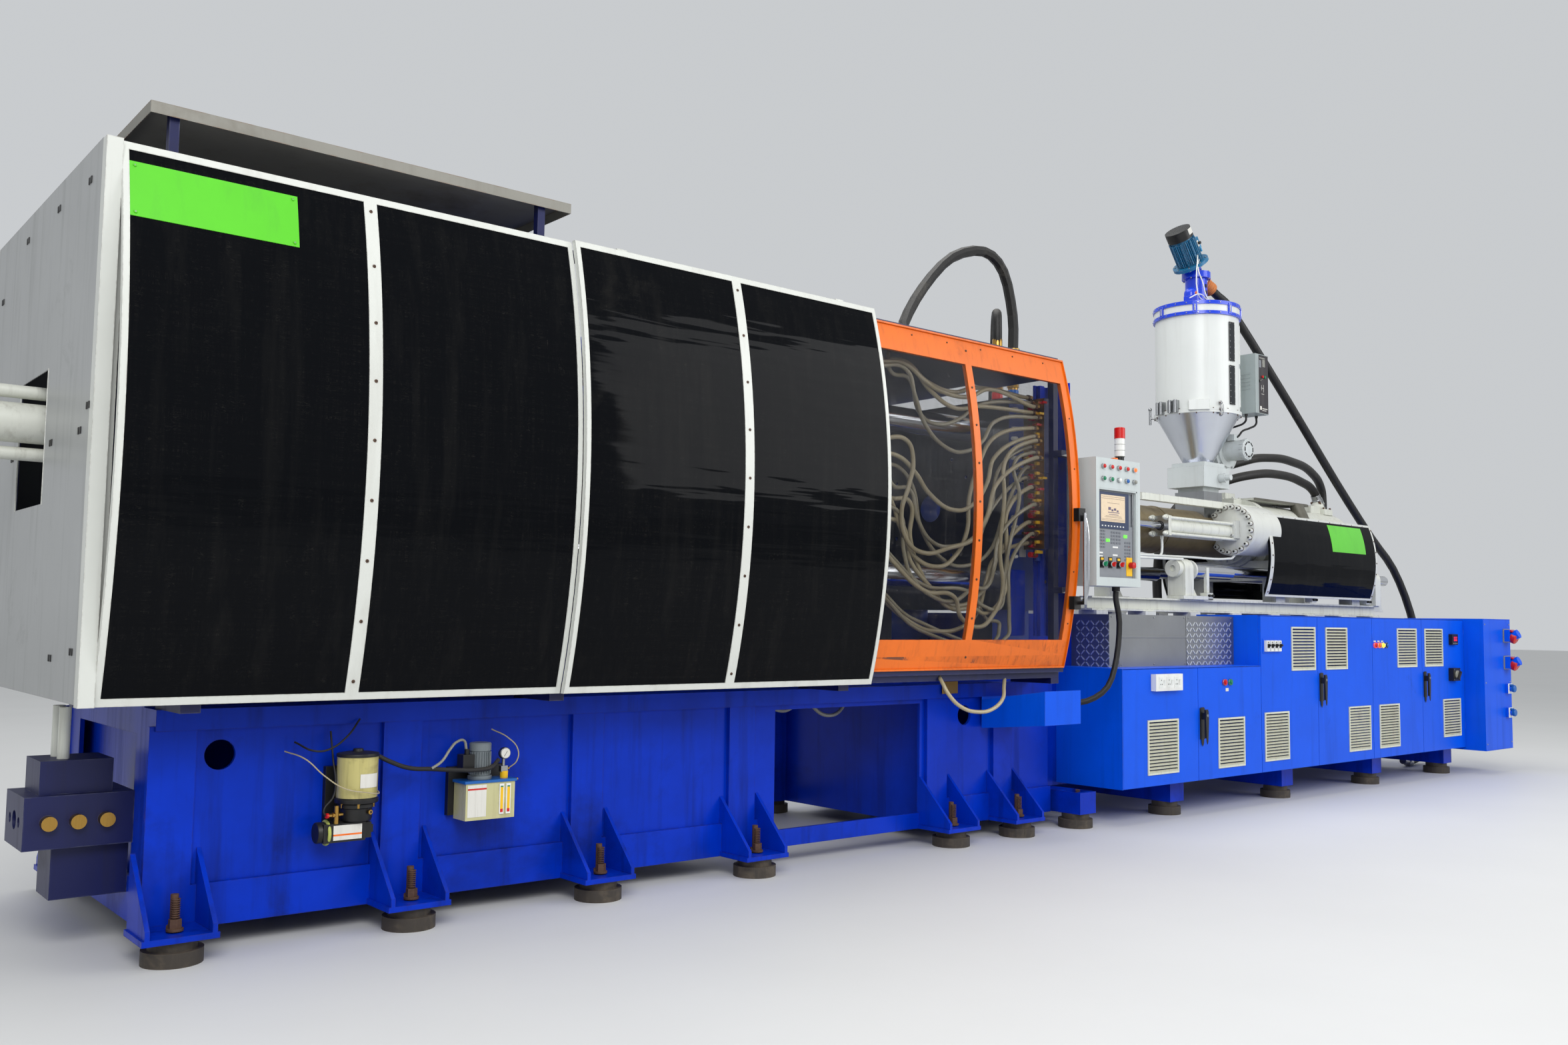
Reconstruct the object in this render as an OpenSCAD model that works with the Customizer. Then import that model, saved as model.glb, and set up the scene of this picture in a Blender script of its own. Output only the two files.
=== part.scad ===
/* [Machine] */
// Height of the machine's axis above the floor
axis_h = 2270; // [2240:10:2300]
// Length of the clamp base
base_l = 5950; // [5950:10:6100]
// Width of the clamp base over its side plates
base_w = 1500; // [1480:10:1520]
// Height of the clamp base's deck above the floor
base_top = 1020; // [1000:10:1030]
// Gap between the floor and the welded bases
floor_gap = 100; // [90:5:110]
// Length of the injection base
inj_base_l = 6075; // [6050:5:6200]
// Width of the injection base's tank
tank_w = 1120; // [1100:10:1120]
// Height of the injection base's deck
tank_top = 1500; // [1490:5:1510]
// How far the clamp cylinder stands out past the clamp base
cylinder_overhang = 875; // [860:5:950]

/* [Feet] */
// Distance of the levelling mounts from the machine's centre line
foot_y = 900; // [890:5:910]
// Radius of a levelling pad
pad_r = 120; // [100:5:130]
// Thickness of a foot plate
foot_t = 25; // [20:1:30]
// Radius of a levelling screw
screw_r = 16; // [12:1:20]

/* [Guards] */
// Distance of the guards' edges from the centre line
guard_y = 1140; // [1135:5:1160]
// Height of the guards' lower edge
guard_z0 = 1060; // [1050:5:1070]
// Height of the guards' upper edge
guard_z1 = 3300; // [3290:5:3350]
// How far the guards bulge outward at mid height
guard_bulge = 157; // [120:1:170]
// Length of one fixed or sliding guard
guard_l = 2065; // [2050:5:2080]
// Thickness of a guard's rails
guard_t = 28; // [24:1:30]
// Thickness of the acrylic panels
pane_t = 6; // [4:1:8]
// Width of the strip at a guard's middle
strip_w = 60; // [40:5:80]
// How far the roof reaches behind the centre line
roof_back = 1472; // [1450:2:1490]
// Length of the gate over the mould space
gate_l = 2022; // [2000:2:2030]
// Height of the gate's window rails
gate_rail = 190; // [150:5:210]

/* [Clamp] */
// Side of the square platens
platen_w = 1500; // [1480:10:1520]
// Thickness of the stationary platen
platen_t = 400; // [380:10:420]
// Centre distance of the tie bars
tie_pitch = 1040; // [1020:10:1060]
// Radius of a tie bar
tie_r = 85; // [75:1:95]
// Mould height that the die-height nuts are set to
mould_h = 850; // [800:10:900]
// Length of the rear and front toggle links between their pins
link_l = 680; // [670:5:690]
// Length of the cross links between their pins
cross_l = 420; // [410:5:430]
// Angle of the links to the axis with the mould open
open_angle = 68; // [60:1:70]
// Angle from a rear link to its cross link pin
lug_angle = 20; // [18:1:22]
// Distance of the toggle pins on the platens from the axis
toggle_h = 370; // [360:5:390]
// Radius of the main toggle pins
pin_r = 60; // [50:1:65]
// Radius of the cross link pins
cross_pin_r = 40; // [30:1:45]
// Outer radius of the clamp cylinder
cylinder_r = 90; // [85:1:100]
// Radius of the locating hole in the stationary platen
locating_r = 100; // [80:1:110]

/* [Injection unit] */
// Outer radius of the barrel cover
cover_r = 205; // [190:1:215]
// Outer radius of the barrel
barrel_r = 120; // [110:1:130]
// Radius of the screw
screw_core_r = 45; // [40:1:50]
// Radius of the chrome guide bars
guide_r = 50; // [45:1:55]
// Distance of the guide bars from the centre line
guide_y = 380; // [375:1:385]
// Height of the guide bars
guide_z = 1910; // [1900:5:1920]

/* [Hopper] */
// Outer radius of the hopper
hopper_r = 375; // [350:5:380]
// Height of the hopper's cylindrical part
hopper_h = 880; // [850:10:900]

/* [Cabinets] */
// Distance of the cabinet fronts from the centre line
cabinet_y = 1140; // [1130:5:1150]
// Height of the low cabinets' top
low_top = 1110; // [1100:5:1120]
// Height of the tall cabinets' top
tall_top = 1515; // [1510:5:1520]
// Height of the cabinets' lower edge
cabinet_z0 = 260; // [255:5:280]
// Length of the end cabinet
end_cabinet_l = 650; // [600:10:700]
// Thickness of the cabinet doors
door_t = 22; // [20:1:26]
// Depth of the louvre slats
slat_d = 12; // [8:1:14]

/* [Hidden] */
$fn = 48;
run_gap = 0.05;
seat_gap = 0.3;
machine_l = cylinder_overhang + base_l + inj_base_l + end_cabinet_l;
x_left = -machine_l / 2;
base_x0 = x_left + cylinder_overhang;
base_x1 = base_x0 + base_l;
inj_x1 = base_x1 + inj_base_l;
x_right = machine_l / 2;
half_w = base_w / 2;
half_tank = tank_w / 2;
plate_t = 20;
deck_t = 30;
rib_w = 190;
rib_t = 25;
ledge_h = 180;
foot_reach = foot_y + 120;
clamp_feet = [75, 1097, 2117, 3147, 4775, 5429];
inj_feet = [120, 1220, 2850, 4450, inj_base_l - 125];
chute_x = [base_x0 + 3410, base_x0 + 4635];
chute_z = [floor_gap + 100, base_top - 120];

guard_mid = (guard_z0 + guard_z1) / 2;
guard_half = (guard_z1 - guard_z0) / 2;
arc_r = (guard_half * guard_half + guard_bulge * guard_bulge) / (2 * guard_bulge);
arc_y = -guard_y - guard_bulge + arc_r;
fixed_x0 = base_x0 - 315;
fixed_x1 = fixed_x0 + guard_l - 10;
slide_x0 = fixed_x1 + 2;
slide_x1 = slide_x0 + guard_l + 8;
gate_x1 = base_x1 - 275;
gate_x0 = gate_x1 - gate_l;
end_x = fixed_x0 - 60;
trim_w = 25;
rail_h = 32;
fixed_in = guard_t + 4;
gate_in = 2 * guard_t + 4;
gate_z0 = guard_z0 + 70;
gate_z1 = guard_z1 - 50;
track_y0 = guard_y - gate_in - guard_t - 6;

face_x = base_x1 - 425;
platen_x1 = face_x + platen_t;
half_platen = platen_w / 2;
half_tie = tie_pitch / 2;
moving_t = 500;
closed_angle = 2;
clevis_l = 250;
clevis_r = 110;
tail_t = 500;
tail_gap = 300;
move_c_x = face_x - mould_h - moving_t - clevis_l;
pin_a_x = move_c_x - 2 * link_l * cos(closed_angle);
knee_x = pin_a_x + link_l * cos(open_angle);
knee_dz = link_l * sin(open_angle);
pin_c_x = pin_a_x + 2 * link_l * cos(open_angle);
cross_angle = open_angle + lug_angle;
pin_d_x = pin_a_x + cross_l * cos(cross_angle);
pin_d_dz = cross_l * sin(cross_angle);
pin_h_x = pin_a_x + 2 * cross_l * cos(cross_angle);
moving_x0 = pin_c_x + clevis_l;
moving_x1 = moving_x0 + moving_t;
tail_x1 = pin_a_x - tail_gap;
tail_x0 = tail_x1 - tail_t;
cross_y = [145, 185];
rear_y = [190, 250];
front_y = [256, 316];
rod_r = 45;
tap_count = 14;

barrel_x0 = platen_x1 + 60;
flange_x = base_x1 + 3645;
house_x1 = flange_x + 1820;
rail_z0 = tank_top + 40;
rail_z1 = rail_z0 + 110;
stand_pitch = (inj_base_l - 1455) / 7;
motor_pitch = (inj_base_l - 1275) / 3;
support_x = base_x1 + 2215;
cyl_y = 330;
cyl_r = 72;
cyl_rod_r = 28;
bore_r = screw_core_r + 8;
throat_x = base_x1 + 3175;
throat_top = axis_h + 380;
cone_z0 = throat_top + 270;
cone_z1 = cone_z0 + 450;
hopper_z1 = cone_z1 + hopper_h;

low_x0 = base_x1 + 349;
low_x1 = low_x0 + 963;
tall_x0 = base_x1 + 2225;
tall_l_drawn = 3850;
stretch = (inj_x1 - tall_x0) / tall_l_drawn;
tall_splits = [for (t = [0, 920, 1910, 2910, tall_l_drawn]) t * stretch];
door_xs = [low_x0, low_x1, for (s = [0:3]) tall_x0 + tall_splits[s]];
door_ws = [963, tall_x0 - low_x1, for (s = [0:3]) tall_splits[s + 1] - tall_splits[s]];
low_louvres = [[300, 83, 392, 395], [273, 76, 378, 382]];
panel_x0 = base_x1 - 195;
panel_x1 = panel_x0 + 510;
panel_z0 = 1690;
panel_z1 = 2570;
panel_front = guard_y + 180;
panel_back = guard_y - 20;

// A box between two corners
module slab(x0, x1, y0, y1, z0, z1) {
    translate([x0, y0, z0]) cube([x1 - x0, y1 - y0, z1 - z0]);
}

// Round bars along each axis
module bar_x(x0, x1, y, z, r) {
    translate([x0, y, z]) rotate([0, 90, 0]) cylinder(h = x1 - x0, r = r);
}
module bar_y(y0, y1, x, z, r) {
    translate([x, y0, z]) rotate([-90, 0, 0]) cylinder(h = y1 - y0, r = r);
}
module bar_z(z0, z1, x, y, r) {
    translate([x, y, z0]) cylinder(h = z1 - z0, r = r);
}

// A piece and its mirror image on the other side of the centre line
module both_sides() {
    children();
    mirror([0, 1, 0]) children();
}

// A plate with its outline in the Y-Z plane
module plate_x(x0, x1, outline) {
    translate([x0, 0, 0]) rotate([90, 0, 90]) linear_extrude(x1 - x0) polygon(outline);
}

// A plate with its outline in the X-Z plane
module plate_y(y0, y1, outline) {
    translate([0, y1, 0]) rotate([90, 0, 0]) linear_extrude(y1 - y0) polygon(outline);
}

// A flat link with round ends in the X-Z plane
module link(y0, y1, a, b, r) {
    run = [b[0] - a[0], b[1] - a[1]];
    turn = atan2(run[1], run[0]);
    translate([a[0], y1, a[1]]) rotate([90, 0, 0]) linear_extrude(y1 - y0) union() {
        circle(r = r);
        translate(run) circle(r = r);
        rotate(turn) translate([0, -r * 0.8]) square([norm(run), r * 1.6]);
    }
}

// A stretch of guard shell that bulges outward, set back from the outer guard face
module bulge(x0, x1, back, t, z0, z1) {
    intersection() {
        difference() {
            bar_x(x0, x1, arc_y, guard_mid, arc_r - back, $fn = 360);
            bar_x(x0 - 1, x1 + 1, arc_y, guard_mid, arc_r - back - t, $fn = 360);
        }
        slab(x0, x1, -guard_y - guard_bulge - 1, -guard_y / 2, z0, z1);
    }
}

// A hose swept along its points, with eight sides
function leg(p, i) = p[min(i + 1, len(p) - 1)] - p[max(i - 1, 0)];
function unit(v) = v / norm(v);
function side_of(t) = abs(t[2]) > 0.95 ? [0, 1, 0] : unit(cross(t, [0, 0, 1]));
module hose(p, r) {
    sides = 8;
    rings = [for (i = [0:len(p) - 1]) let (t = unit(leg(p, i)), s = unit(cross(cross(t, side_of(t)), t)),
        u = cross(s, t)) for (k = [0:sides - 1]) p[i] + r * (cos(45 * k) * s + sin(45 * k) * u)];
    last = (len(p) - 1) * sides;
    walls = [for (i = [0:len(p) - 2]) for (k = [0:sides - 1]) let (n = (k + 1) % sides, b = i * sides)
        each [[b + k, b + n, b + sides + n], [b + k, b + sides + n, b + sides + k]]];
    first_cap = [for (k = [sides - 1:-1:0]) k];
    last_cap = [for (k = [0:sides - 1]) last + k];
    polyhedron(rings, concat(walls, [first_cap, last_cap]));
}

// Points between the chosen ones, on a smooth curve
function mix(a, b, c, d, t) = 0.5 * (2 * b + (c - a) * t + (2 * a - 5 * b + 4 * c - d) * t * t
    + (3 * b - a - 3 * c + d) * t * t * t);
function smooth_path(p, n) = [for (i = [0:len(p) - 2]) for (k = [0:n - 1])
    mix(p[max(i - 1, 0)], p[i], p[i + 1], p[min(i + 2, len(p) - 1)], k / n), p[len(p) - 1]];

module foot(x) {
    plate_x(x - 150, x + 150, [[-foot_reach, floor_gap], [-half_w, floor_gap],
        [-half_w, floor_gap + foot_t], [-foot_reach, floor_gap + foot_t]]);
    for (side = [-1, 1]) plate_x(x + side * 130 - 10, x + side * 130 + 10, [[-foot_reach, floor_gap],
        [-half_w, floor_gap], [-half_w, floor_gap + 330], [-foot_reach, floor_gap + 60]]);
}

module clamp_base() color("mediumblue") difference() {
    union() {
        both_sides() slab(base_x0, base_x1, half_w - plate_t, half_w, floor_gap, base_top);
        slab(base_x0, base_x1, -half_w, half_w, base_top - deck_t, base_top);
        slab(base_x0, base_x0 + plate_t, -half_w, half_w, floor_gap, base_top);
        slab(base_x1 - plate_t, base_x1, -half_w, half_w, floor_gap, base_top);
        both_sides() slab(base_x0, chute_x[0] - 90, half_w - 1, half_w + rib_t, floor_gap, floor_gap + ledge_h);
        both_sides() slab(chute_x[1] + 40, base_x1, half_w - 1, half_w + rib_t, floor_gap, floor_gap + ledge_h);
        both_sides() slab(base_x0, base_x1, 400, 600, base_top, base_top + 40);
        for (f = clamp_feet) {
            slab(base_x0 + f - 10, base_x0 + f + 10, -half_w, half_w, floor_gap, base_top);
            both_sides() slab(base_x0 + f - rib_w / 2, base_x0 + f + rib_w / 2, half_w - 1, half_w + rib_t,
                floor_gap, base_top - 70);
            both_sides() foot(base_x0 + f);
        }
        both_sides() slab(base_x0, base_x1, half_w - 1, half_w + rib_t + 15, base_top - 90, base_top);
    }
    for (f = clamp_feet) for (side = [-1, 1])
        bar_z(floor_gap - 1, floor_gap + foot_t + 1, base_x0 + f, side * foot_y, screw_r + 2);
    slab(chute_x[0], chute_x[1], -half_w - 60, half_w + 60, chute_z[0], chute_z[1]);
    slab(chute_x[0] + 60, chute_x[1] - 60, -380, 380, chute_z[1] - 10, base_top + 1);
    slab(knee_x - clevis_r - 150, knee_x + clevis_r + 350, -front_y[1] - 30, front_y[1] + 30,
        min(base_top - deck_t - 1, axis_h - toggle_h - knee_dz - clevis_r - 30), base_top + 1);
    bar_y(-half_w - 60, -half_w + 60, base_x0 + 275, floor_gap + 717, 65);
    bar_y(-half_w - 60, -half_w + 60, base_x0 + 5065, floor_gap + 709, 65);
    slab(base_x0 - 1, base_x0 + plate_t + 1, -500, 530, floor_gap + 190, base_top - 120);
}

module levelling_mount(x, y, screw_h) {
    bar_z(0, 60, x, y, pad_r);
    bar_z(60, floor_gap, x, y, pad_r * 0.8);
    bar_z(floor_gap - 1, floor_gap + foot_t + screw_h, x, y, screw_r);
    translate([x, y, floor_gap + foot_t]) cylinder(h = 26, r = screw_r * 1.8, $fn = 6);
}

module levelling_mounts() color("dimgray") {
    for (f = clamp_feet) for (side = [-1, 1]) levelling_mount(base_x0 + f, side * foot_y, 150);
    for (f = inj_feet) for (side = [-1, 1]) levelling_mount(base_x1 + f, side * foot_y, 100);
}

module injection_base() color("mediumblue") difference() {
    union() {
        slab(base_x1, inj_x1, -half_tank, half_tank, floor_gap + 140, tank_top);
        for (f = inj_feet) slab(base_x1 + f - 90, base_x1 + f + 90, -foot_y - 110, foot_y + 110, floor_gap,
            floor_gap + 150);
    }
    for (f = inj_feet) for (side = [-1, 1]) {
        bar_z(floor_gap - 1, floor_gap + 151, base_x1 + f, side * foot_y, screw_r + 2);
        slab(base_x1 + f - 75, base_x1 + f + 75, side * foot_y - 70, side * foot_y + 70, floor_gap + foot_t,
            floor_gap + 151);
    }
}

module pump_motors() color("slategray") for (s = [0:2]) {
    x = base_x1 + 1500 + s * motor_pitch;
    z = floor_gap + 460;
    difference() {
        union() {
            bar_x(x, x + 620, 810, z, 190);
            for (k = [0:11]) translate([x + 60, 810, z]) rotate([30 * k, 0, 0])
                slab(0, 500, -6, 6, 180, 215);
            bar_x(x + 620, x + 660, 810, z, 150);
            bar_x(x + 660, x + 930, 810, z, 95);
            slab(x + 80, x + 560, 640, 980, floor_gap + 210, z - 150);
            slab(x + 40, x + 600, 620, 1000, floor_gap + 180, floor_gap + 215);
            slab(x - 100, x + 960, 600, 640, floor_gap + 150, floor_gap + 215);
            slab(x + 180, x + 340, 600, 700, z - 40, z + 40);
            slab(x + 200, x + 330, half_tank, 650, z - 40, z + 40);
            slab(x + 40, x + 600, half_tank, 640, floor_gap + 180, floor_gap + 215);
        }
        bar_x(x + 640, x + 940, 810, z, 20);
    }
}

module guard_frame() color("darkslateblue") {
    beam_x = [end_x + 4, gate_x1 + 20];
    low_z = [base_top + 40, base_top + 80];
    top_z = [guard_z1 - 60, guard_z1 - 24];
    post_xs = [fixed_x0 + 20, fixed_x1 - 30, gate_x1 - 30];
    post_w = 50;
    post_y = track_y0 - post_w / 2;
    top_w = 96;
    sill_z1 = gate_z0 - seat_gap;
    both_sides() slab(beam_x[0], beam_x[1], -track_y0, -track_y0 + top_w, top_z[0], top_z[1]);
    both_sides() slab(beam_x[0], beam_x[1], -track_y0, -track_y0 + post_w, low_z[0], low_z[1]);
    slab(gate_x0 - 960, beam_x[1], -guard_y + gate_in - 6, -track_y0 + post_w, low_z[1] + seat_gap, sill_z1);
    for (side = [-1, 1]) for (k = [0:2])
        slab(post_xs[k], post_xs[k] + post_w, side * post_y - post_w / 2, side * post_y + post_w / 2,
            (side < 0 && k == 2 ? sill_z1 : low_z[1]) + seat_gap, top_z[0] - seat_gap);
    for (x = [beam_x[0], post_xs[1]]) slab(x, x + post_w, -track_y0 + top_w + seat_gap,
        track_y0 - top_w - seat_gap, top_z[0], top_z[1]);
    both_sides() for (x = [base_x0 + 20, base_x0 + 1720, base_x0 + 3640, gate_x1 - 60])
        slab(x, x + 80, -track_y0, -half_w + 60, base_top, low_z[0] - seat_gap);
    both_sides() for (x = [fixed_x0 + 200, fixed_x1 - 130])
        slab(x, x + 40, -track_y0 + post_w, -track_y0 + 90, top_z[1] + seat_gap, guard_z1 + 216);
    for (z = [panel_z0 - 52, panel_z1 + 12]) {
        slab(post_xs[2], panel_x0 + 30, -panel_back + 4, -track_y0 - seat_gap, z, z + 40);
        bar_z(z, z + 40, panel_x0 + 30, -panel_back + 32, 28);
    }
    bar_z(panel_z0 - 30, panel_z1 + 30, panel_x0 + 30, -panel_back + 32, 18);
}

// The rails and strips that hold a pair of curved panels
module curved_frame(x0, x1, mid, back, z0, z1, low, high, side_w, mid_w) {
    bulge(x0, x1, back, guard_t, z0, z0 + low);
    bulge(x0, x1, back, guard_t, z1 - high, z1);
    bulge(x0, x0 + side_w, back, guard_t, z0, z1);
    bulge(x1 - side_w, x1, back, guard_t, z0, z1);
    bulge(mid - mid_w / 2, mid + mid_w / 2, back, guard_t, z0, z1);
}

// The two curved panels that sit inside such a frame
module curved_panes(x0, x1, mid, back, z0, z1, low, high, side_w, mid_w) {
    bulge(x0 + side_w, mid - mid_w / 2, back + 4, pane_t, z0 + low, z1 - high);
    bulge(mid + mid_w / 2, x1 - side_w, back + 4, pane_t, z0 + low, z1 - high);
}

module fixed_guard_frame() color("gainsboro") {
    curved_frame(fixed_x0, fixed_x1, fixed_x0 + 1015, fixed_in, guard_z0, guard_z1 - 6, rail_h, rail_h,
        trim_w, strip_w);
    both_sides() slab(end_x, fixed_x0, -guard_y, -guard_y + 60, guard_z0, guard_z1 - 6);
    slab(fixed_x0 - 1, fixed_x0 + trim_w, -guard_y + 34, -guard_y + 60, guard_z0, guard_z1 - 6);
    for (x = [fixed_x0 + 100, fixed_x1 - 160]) for (z = [base_top + 45, guard_z1 - 55])
        slab(x, x + 60, -guard_y + fixed_in + 10, -track_y0, z, z + 30);
}

module fixed_guard_panels() color("black")
    curved_panes(fixed_x0, fixed_x1, fixed_x0 + 1015, fixed_in, guard_z0, guard_z1 - 6, rail_h, rail_h,
        trim_w, strip_w);

module sliding_guard_frame() color("gainsboro") {
    curved_frame(slide_x0, slide_x1, slide_x0 + 1012, 0, guard_z0, guard_z1, rail_h, rail_h, trim_w,
        strip_w);
    for (x = [slide_x0 + 250, slide_x1 - 310]) {
        slab(x, x + 60, -guard_y + 4, -track_y0 + 34, guard_z1 - 1, guard_z1 + 8);
        bar_y(-track_y0 + 6, -track_y0 + 30, x + 30, guard_z1 - 24 + seat_gap + 22, 22);
    }
}

module sliding_guard_panels() color("black")
    curved_panes(slide_x0, slide_x1, slide_x0 + 1012, 0, guard_z0, guard_z1, rail_h, rail_h, trim_w,
        strip_w);

module gate_frame() color("darkorange")
    curved_frame(gate_x0, gate_x1, gate_x0 + 1010, gate_in, gate_z0, gate_z1, gate_rail, gate_rail - 15,
        70, strip_w);

module gate_window() color("lightsteelblue", 0.4)
    curved_panes(gate_x0, gate_x1, gate_x0 + 1010, gate_in, gate_z0, gate_z1, gate_rail, gate_rail - 15,
        70, strip_w);

// Where a guard's outer face lies at a height
function guard_face(back, z) = arc_y - sqrt(pow(arc_r - back, 2) - pow(z - guard_mid, 2));

module gate_handle() color("silver") {
    block_h = 90;
    low_z = guard_mid - 655;
    high_z = guard_mid - 60;
    rod_y = guard_face(gate_in, guard_mid) - 62;
    for (b = [[low_z, low_z + block_h], [high_z, guard_mid]]) {
        back_y = guard_face(gate_in, b[1]) - seat_gap;
        slab(gate_x1 - 60, gate_x1 + 10, back_y - 45, back_y, b[0], b[0] + block_h);
        bar_y(rod_y, back_y - 44, gate_x1 - 20, b[0] + block_h / 2, 12);
    }
    bar_z(low_z + block_h / 2 - 12, high_z + block_h / 2 + 12, gate_x1 - 20, rod_y, 12);
}

module end_panel() color("lightgray") difference() {
    union() {
        slab(end_x, end_x + 4, -guard_y + 60, guard_y - 60, guard_z0 + 10, guard_z1);
        both_sides() slab(end_x + 3, fixed_x0 - 10, -guard_y + 60, -guard_y + 64, guard_z0 + 10,
            guard_z1 - 62);
    }
    slab(end_x - 1, end_x + 5, -290, 290, axis_h - 380, axis_h + 210);
}

module roof_panel() color("lightgray") difference() {
    slab(base_x0 - 195, fixed_x1 + 45, -guard_y + 120, roof_back, guard_z1 + 170, guard_z1 + 220);
    slab(base_x0 - 191, fixed_x1 + 41, -guard_y + 124, roof_back - 4, guard_z1 + 169, guard_z1 + 216);
}

module rear_guards() color("dimgray") {
    xs = [fixed_x0 + 2, fixed_x1 - 5, slide_x1 - 5, gate_x1 + 18];
    for (i = [0:2]) {
        slab(xs[i] + 3, xs[i + 1] - 3, track_y0, track_y0 + 4, base_top + 42, guard_z1 - 30);
        for (z = [base_top + 42, guard_z1 - 60])
            slab(xs[i] + 3, xs[i + 1] - 3, track_y0 + 3, track_y0 + 30, z, z + 30);
        for (x = [xs[i] + 3, xs[i + 1] - 33])
            slab(x, x + 30, track_y0 + 3, track_y0 + 30, base_top + 42, guard_z1 - 30);
    }
}

// Four places at the corners of a square about the axis
module at_corners(d) for (sy = [-1, 1]) for (sz = [-1, 1]) translate([0, sy * d, axis_h + sz * d]) children();

// Threaded holes of the mould plates, on two rectangles about the axis
module mould_holes(x0, x1) for (sy = [-1, 1]) for (sz = [-1, 1]) {
    bar_x(x0, x1, sy * 350, axis_h + sz * 210, 13);
    bar_x(x0, x1, sy * 210, axis_h + sz * 350, 13);
}

module stationary_platen() color("royalblue") difference() {
    union() {
        slab(face_x, face_x + 170, -half_platen, half_platen, axis_h - half_platen, axis_h + half_platen);
        bar_x(face_x + 100, platen_x1, 0, axis_h, 430);
        at_corners(half_tie) bar_x(face_x + 100, platen_x1, 0, 0, 165);
        for (t = [45, 135]) translate([0, 0, axis_h]) rotate([t, 0, 0])
            slab(face_x + 100, platen_x1 - 30, -half_tie * 1.35, half_tie * 1.35, -45, 45);
        both_sides() slab(face_x, platen_x1, 400, 600, base_top + 40, axis_h - half_platen + 40);
        for (t = [0:90:270]) translate([0, 0, axis_h]) rotate([t, 0, 0])
            slab(face_x, platen_x1, -half_platen, half_platen, half_platen - 60, half_platen);
    }
    bar_x(face_x - 1, platen_x1 + 1, 0, axis_h, locating_r);
    bar_x(face_x + 175, platen_x1 + 1, 0, axis_h, cover_r + 55);
    at_corners(half_tie) bar_x(face_x - 1, platen_x1 + 1, 0, 0, tie_r + run_gap);
    mould_holes(face_x - 1, face_x + 60);
}

module tie_bars() color("silver") at_corners(half_tie) {
    bar_x(tail_x0 - 430, platen_x1 + 150, 0, 0, tie_r);
    bar_x(platen_x1, platen_x1 + 150, 0, 0, tie_r + 50);
}

module tail_platen() color("royalblue") difference() {
    union() {
        slab(tail_x0, tail_x0 + 180, -half_platen + 50, half_platen - 50, axis_h - half_platen + 50,
            axis_h + half_platen - 50);
        slab(tail_x0 + 100, tail_x1, -340, 340, axis_h - toggle_h - 150, axis_h + toggle_h + 150);
        at_corners(half_tie) bar_x(tail_x0, tail_x0 + 320, 0, 0, 160);
        at_corners(half_tie) bar_x(tail_x0 - 120, tail_x0 + 1, 0, 0, 150);
        both_sides() slab(tail_x0, tail_x0 + 320, 400, 600, base_top + 40 + seat_gap,
            axis_h - half_platen + 120);
        both_sides() for (s = [-1, 1])
            link(front_y[0], front_y[1] - 10, [tail_x1 - 80, axis_h + s * toggle_h],
                [pin_a_x, axis_h + s * toggle_h], clevis_r);
        both_sides() for (s = [-1, 1])
            bar_y(rear_y[0] - 2, front_y[1] - 10, pin_a_x, axis_h + s * toggle_h, pin_r);
    }
    bar_x(tail_x0 - 130, tail_x1 + 1, 0, axis_h, rod_r + run_gap);
    at_corners(half_tie) bar_x(tail_x0 - 130, tail_x0 + 330, 0, 0, tie_r + run_gap);
    slab(tail_x0 + 180, tail_x1 + 1, -120, 120, axis_h + 120, axis_h + toggle_h + 151);
    slab(tail_x0 + 180, tail_x1 + 1, -120, 120, axis_h - toggle_h - 151, axis_h - 120);
}

module clamp_cylinder() color("whitesmoke") difference() {
    union() {
        slab(tail_x0 - 60, tail_x0, -170, 170, axis_h - 190, axis_h + 190);
        bar_x(x_left, tail_x0 - 59, 0, axis_h, cylinder_r);
        for (s = [-1, 1]) bar_x(x_left + 60, tail_x0 - 59, 0, axis_h + s * (cylinder_r + 50), 30);
        slab(x_left + 100, x_left + 140, -60, 60, axis_h - cylinder_r - 90, axis_h + cylinder_r + 90);
    }
    bar_x(x_left + 200, tail_x0 + 1, 0, axis_h, cylinder_r - 30);
}

// The lower half of the toggle mirrors the upper half about the axis
module lower_half() translate([0, 0, 2 * axis_h]) mirror([0, 0, 1]) children();

pin_a = [pin_a_x, axis_h + toggle_h];
knee = [knee_x, axis_h + toggle_h + knee_dz];
pin_c = [pin_c_x, axis_h + toggle_h];
pin_d = [pin_d_x, axis_h + toggle_h + pin_d_dz];
pin_h = [pin_h_x, axis_h + toggle_h];

module rear_link() {
    both_sides() difference() {
        union() {
            link(rear_y[0], rear_y[1], pin_a, knee, clevis_r);
            link(rear_y[0], rear_y[1], pin_a, pin_d, cross_pin_r + 35);
            link(rear_y[0], rear_y[1], pin_d, knee, cross_pin_r + 20);
        }
        bar_y(rear_y[0] - 1, rear_y[1] + 1, pin_a[0], pin_a[1], pin_r + run_gap);
    }
    both_sides() bar_y(rear_y[0], front_y[1], knee[0], knee[1], pin_r);
    bar_y(-rear_y[1], rear_y[1], pin_d[0], pin_d[1], cross_pin_r);
}

module front_link() {
    both_sides() difference() {
        link(front_y[0], front_y[1], knee, pin_c, clevis_r);
        bar_y(front_y[0] - 1, front_y[1] + 1, knee[0], knee[1], pin_r + run_gap);
    }
    bar_y(-front_y[1], front_y[1], pin_c[0], pin_c[1], pin_r);
}

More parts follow.
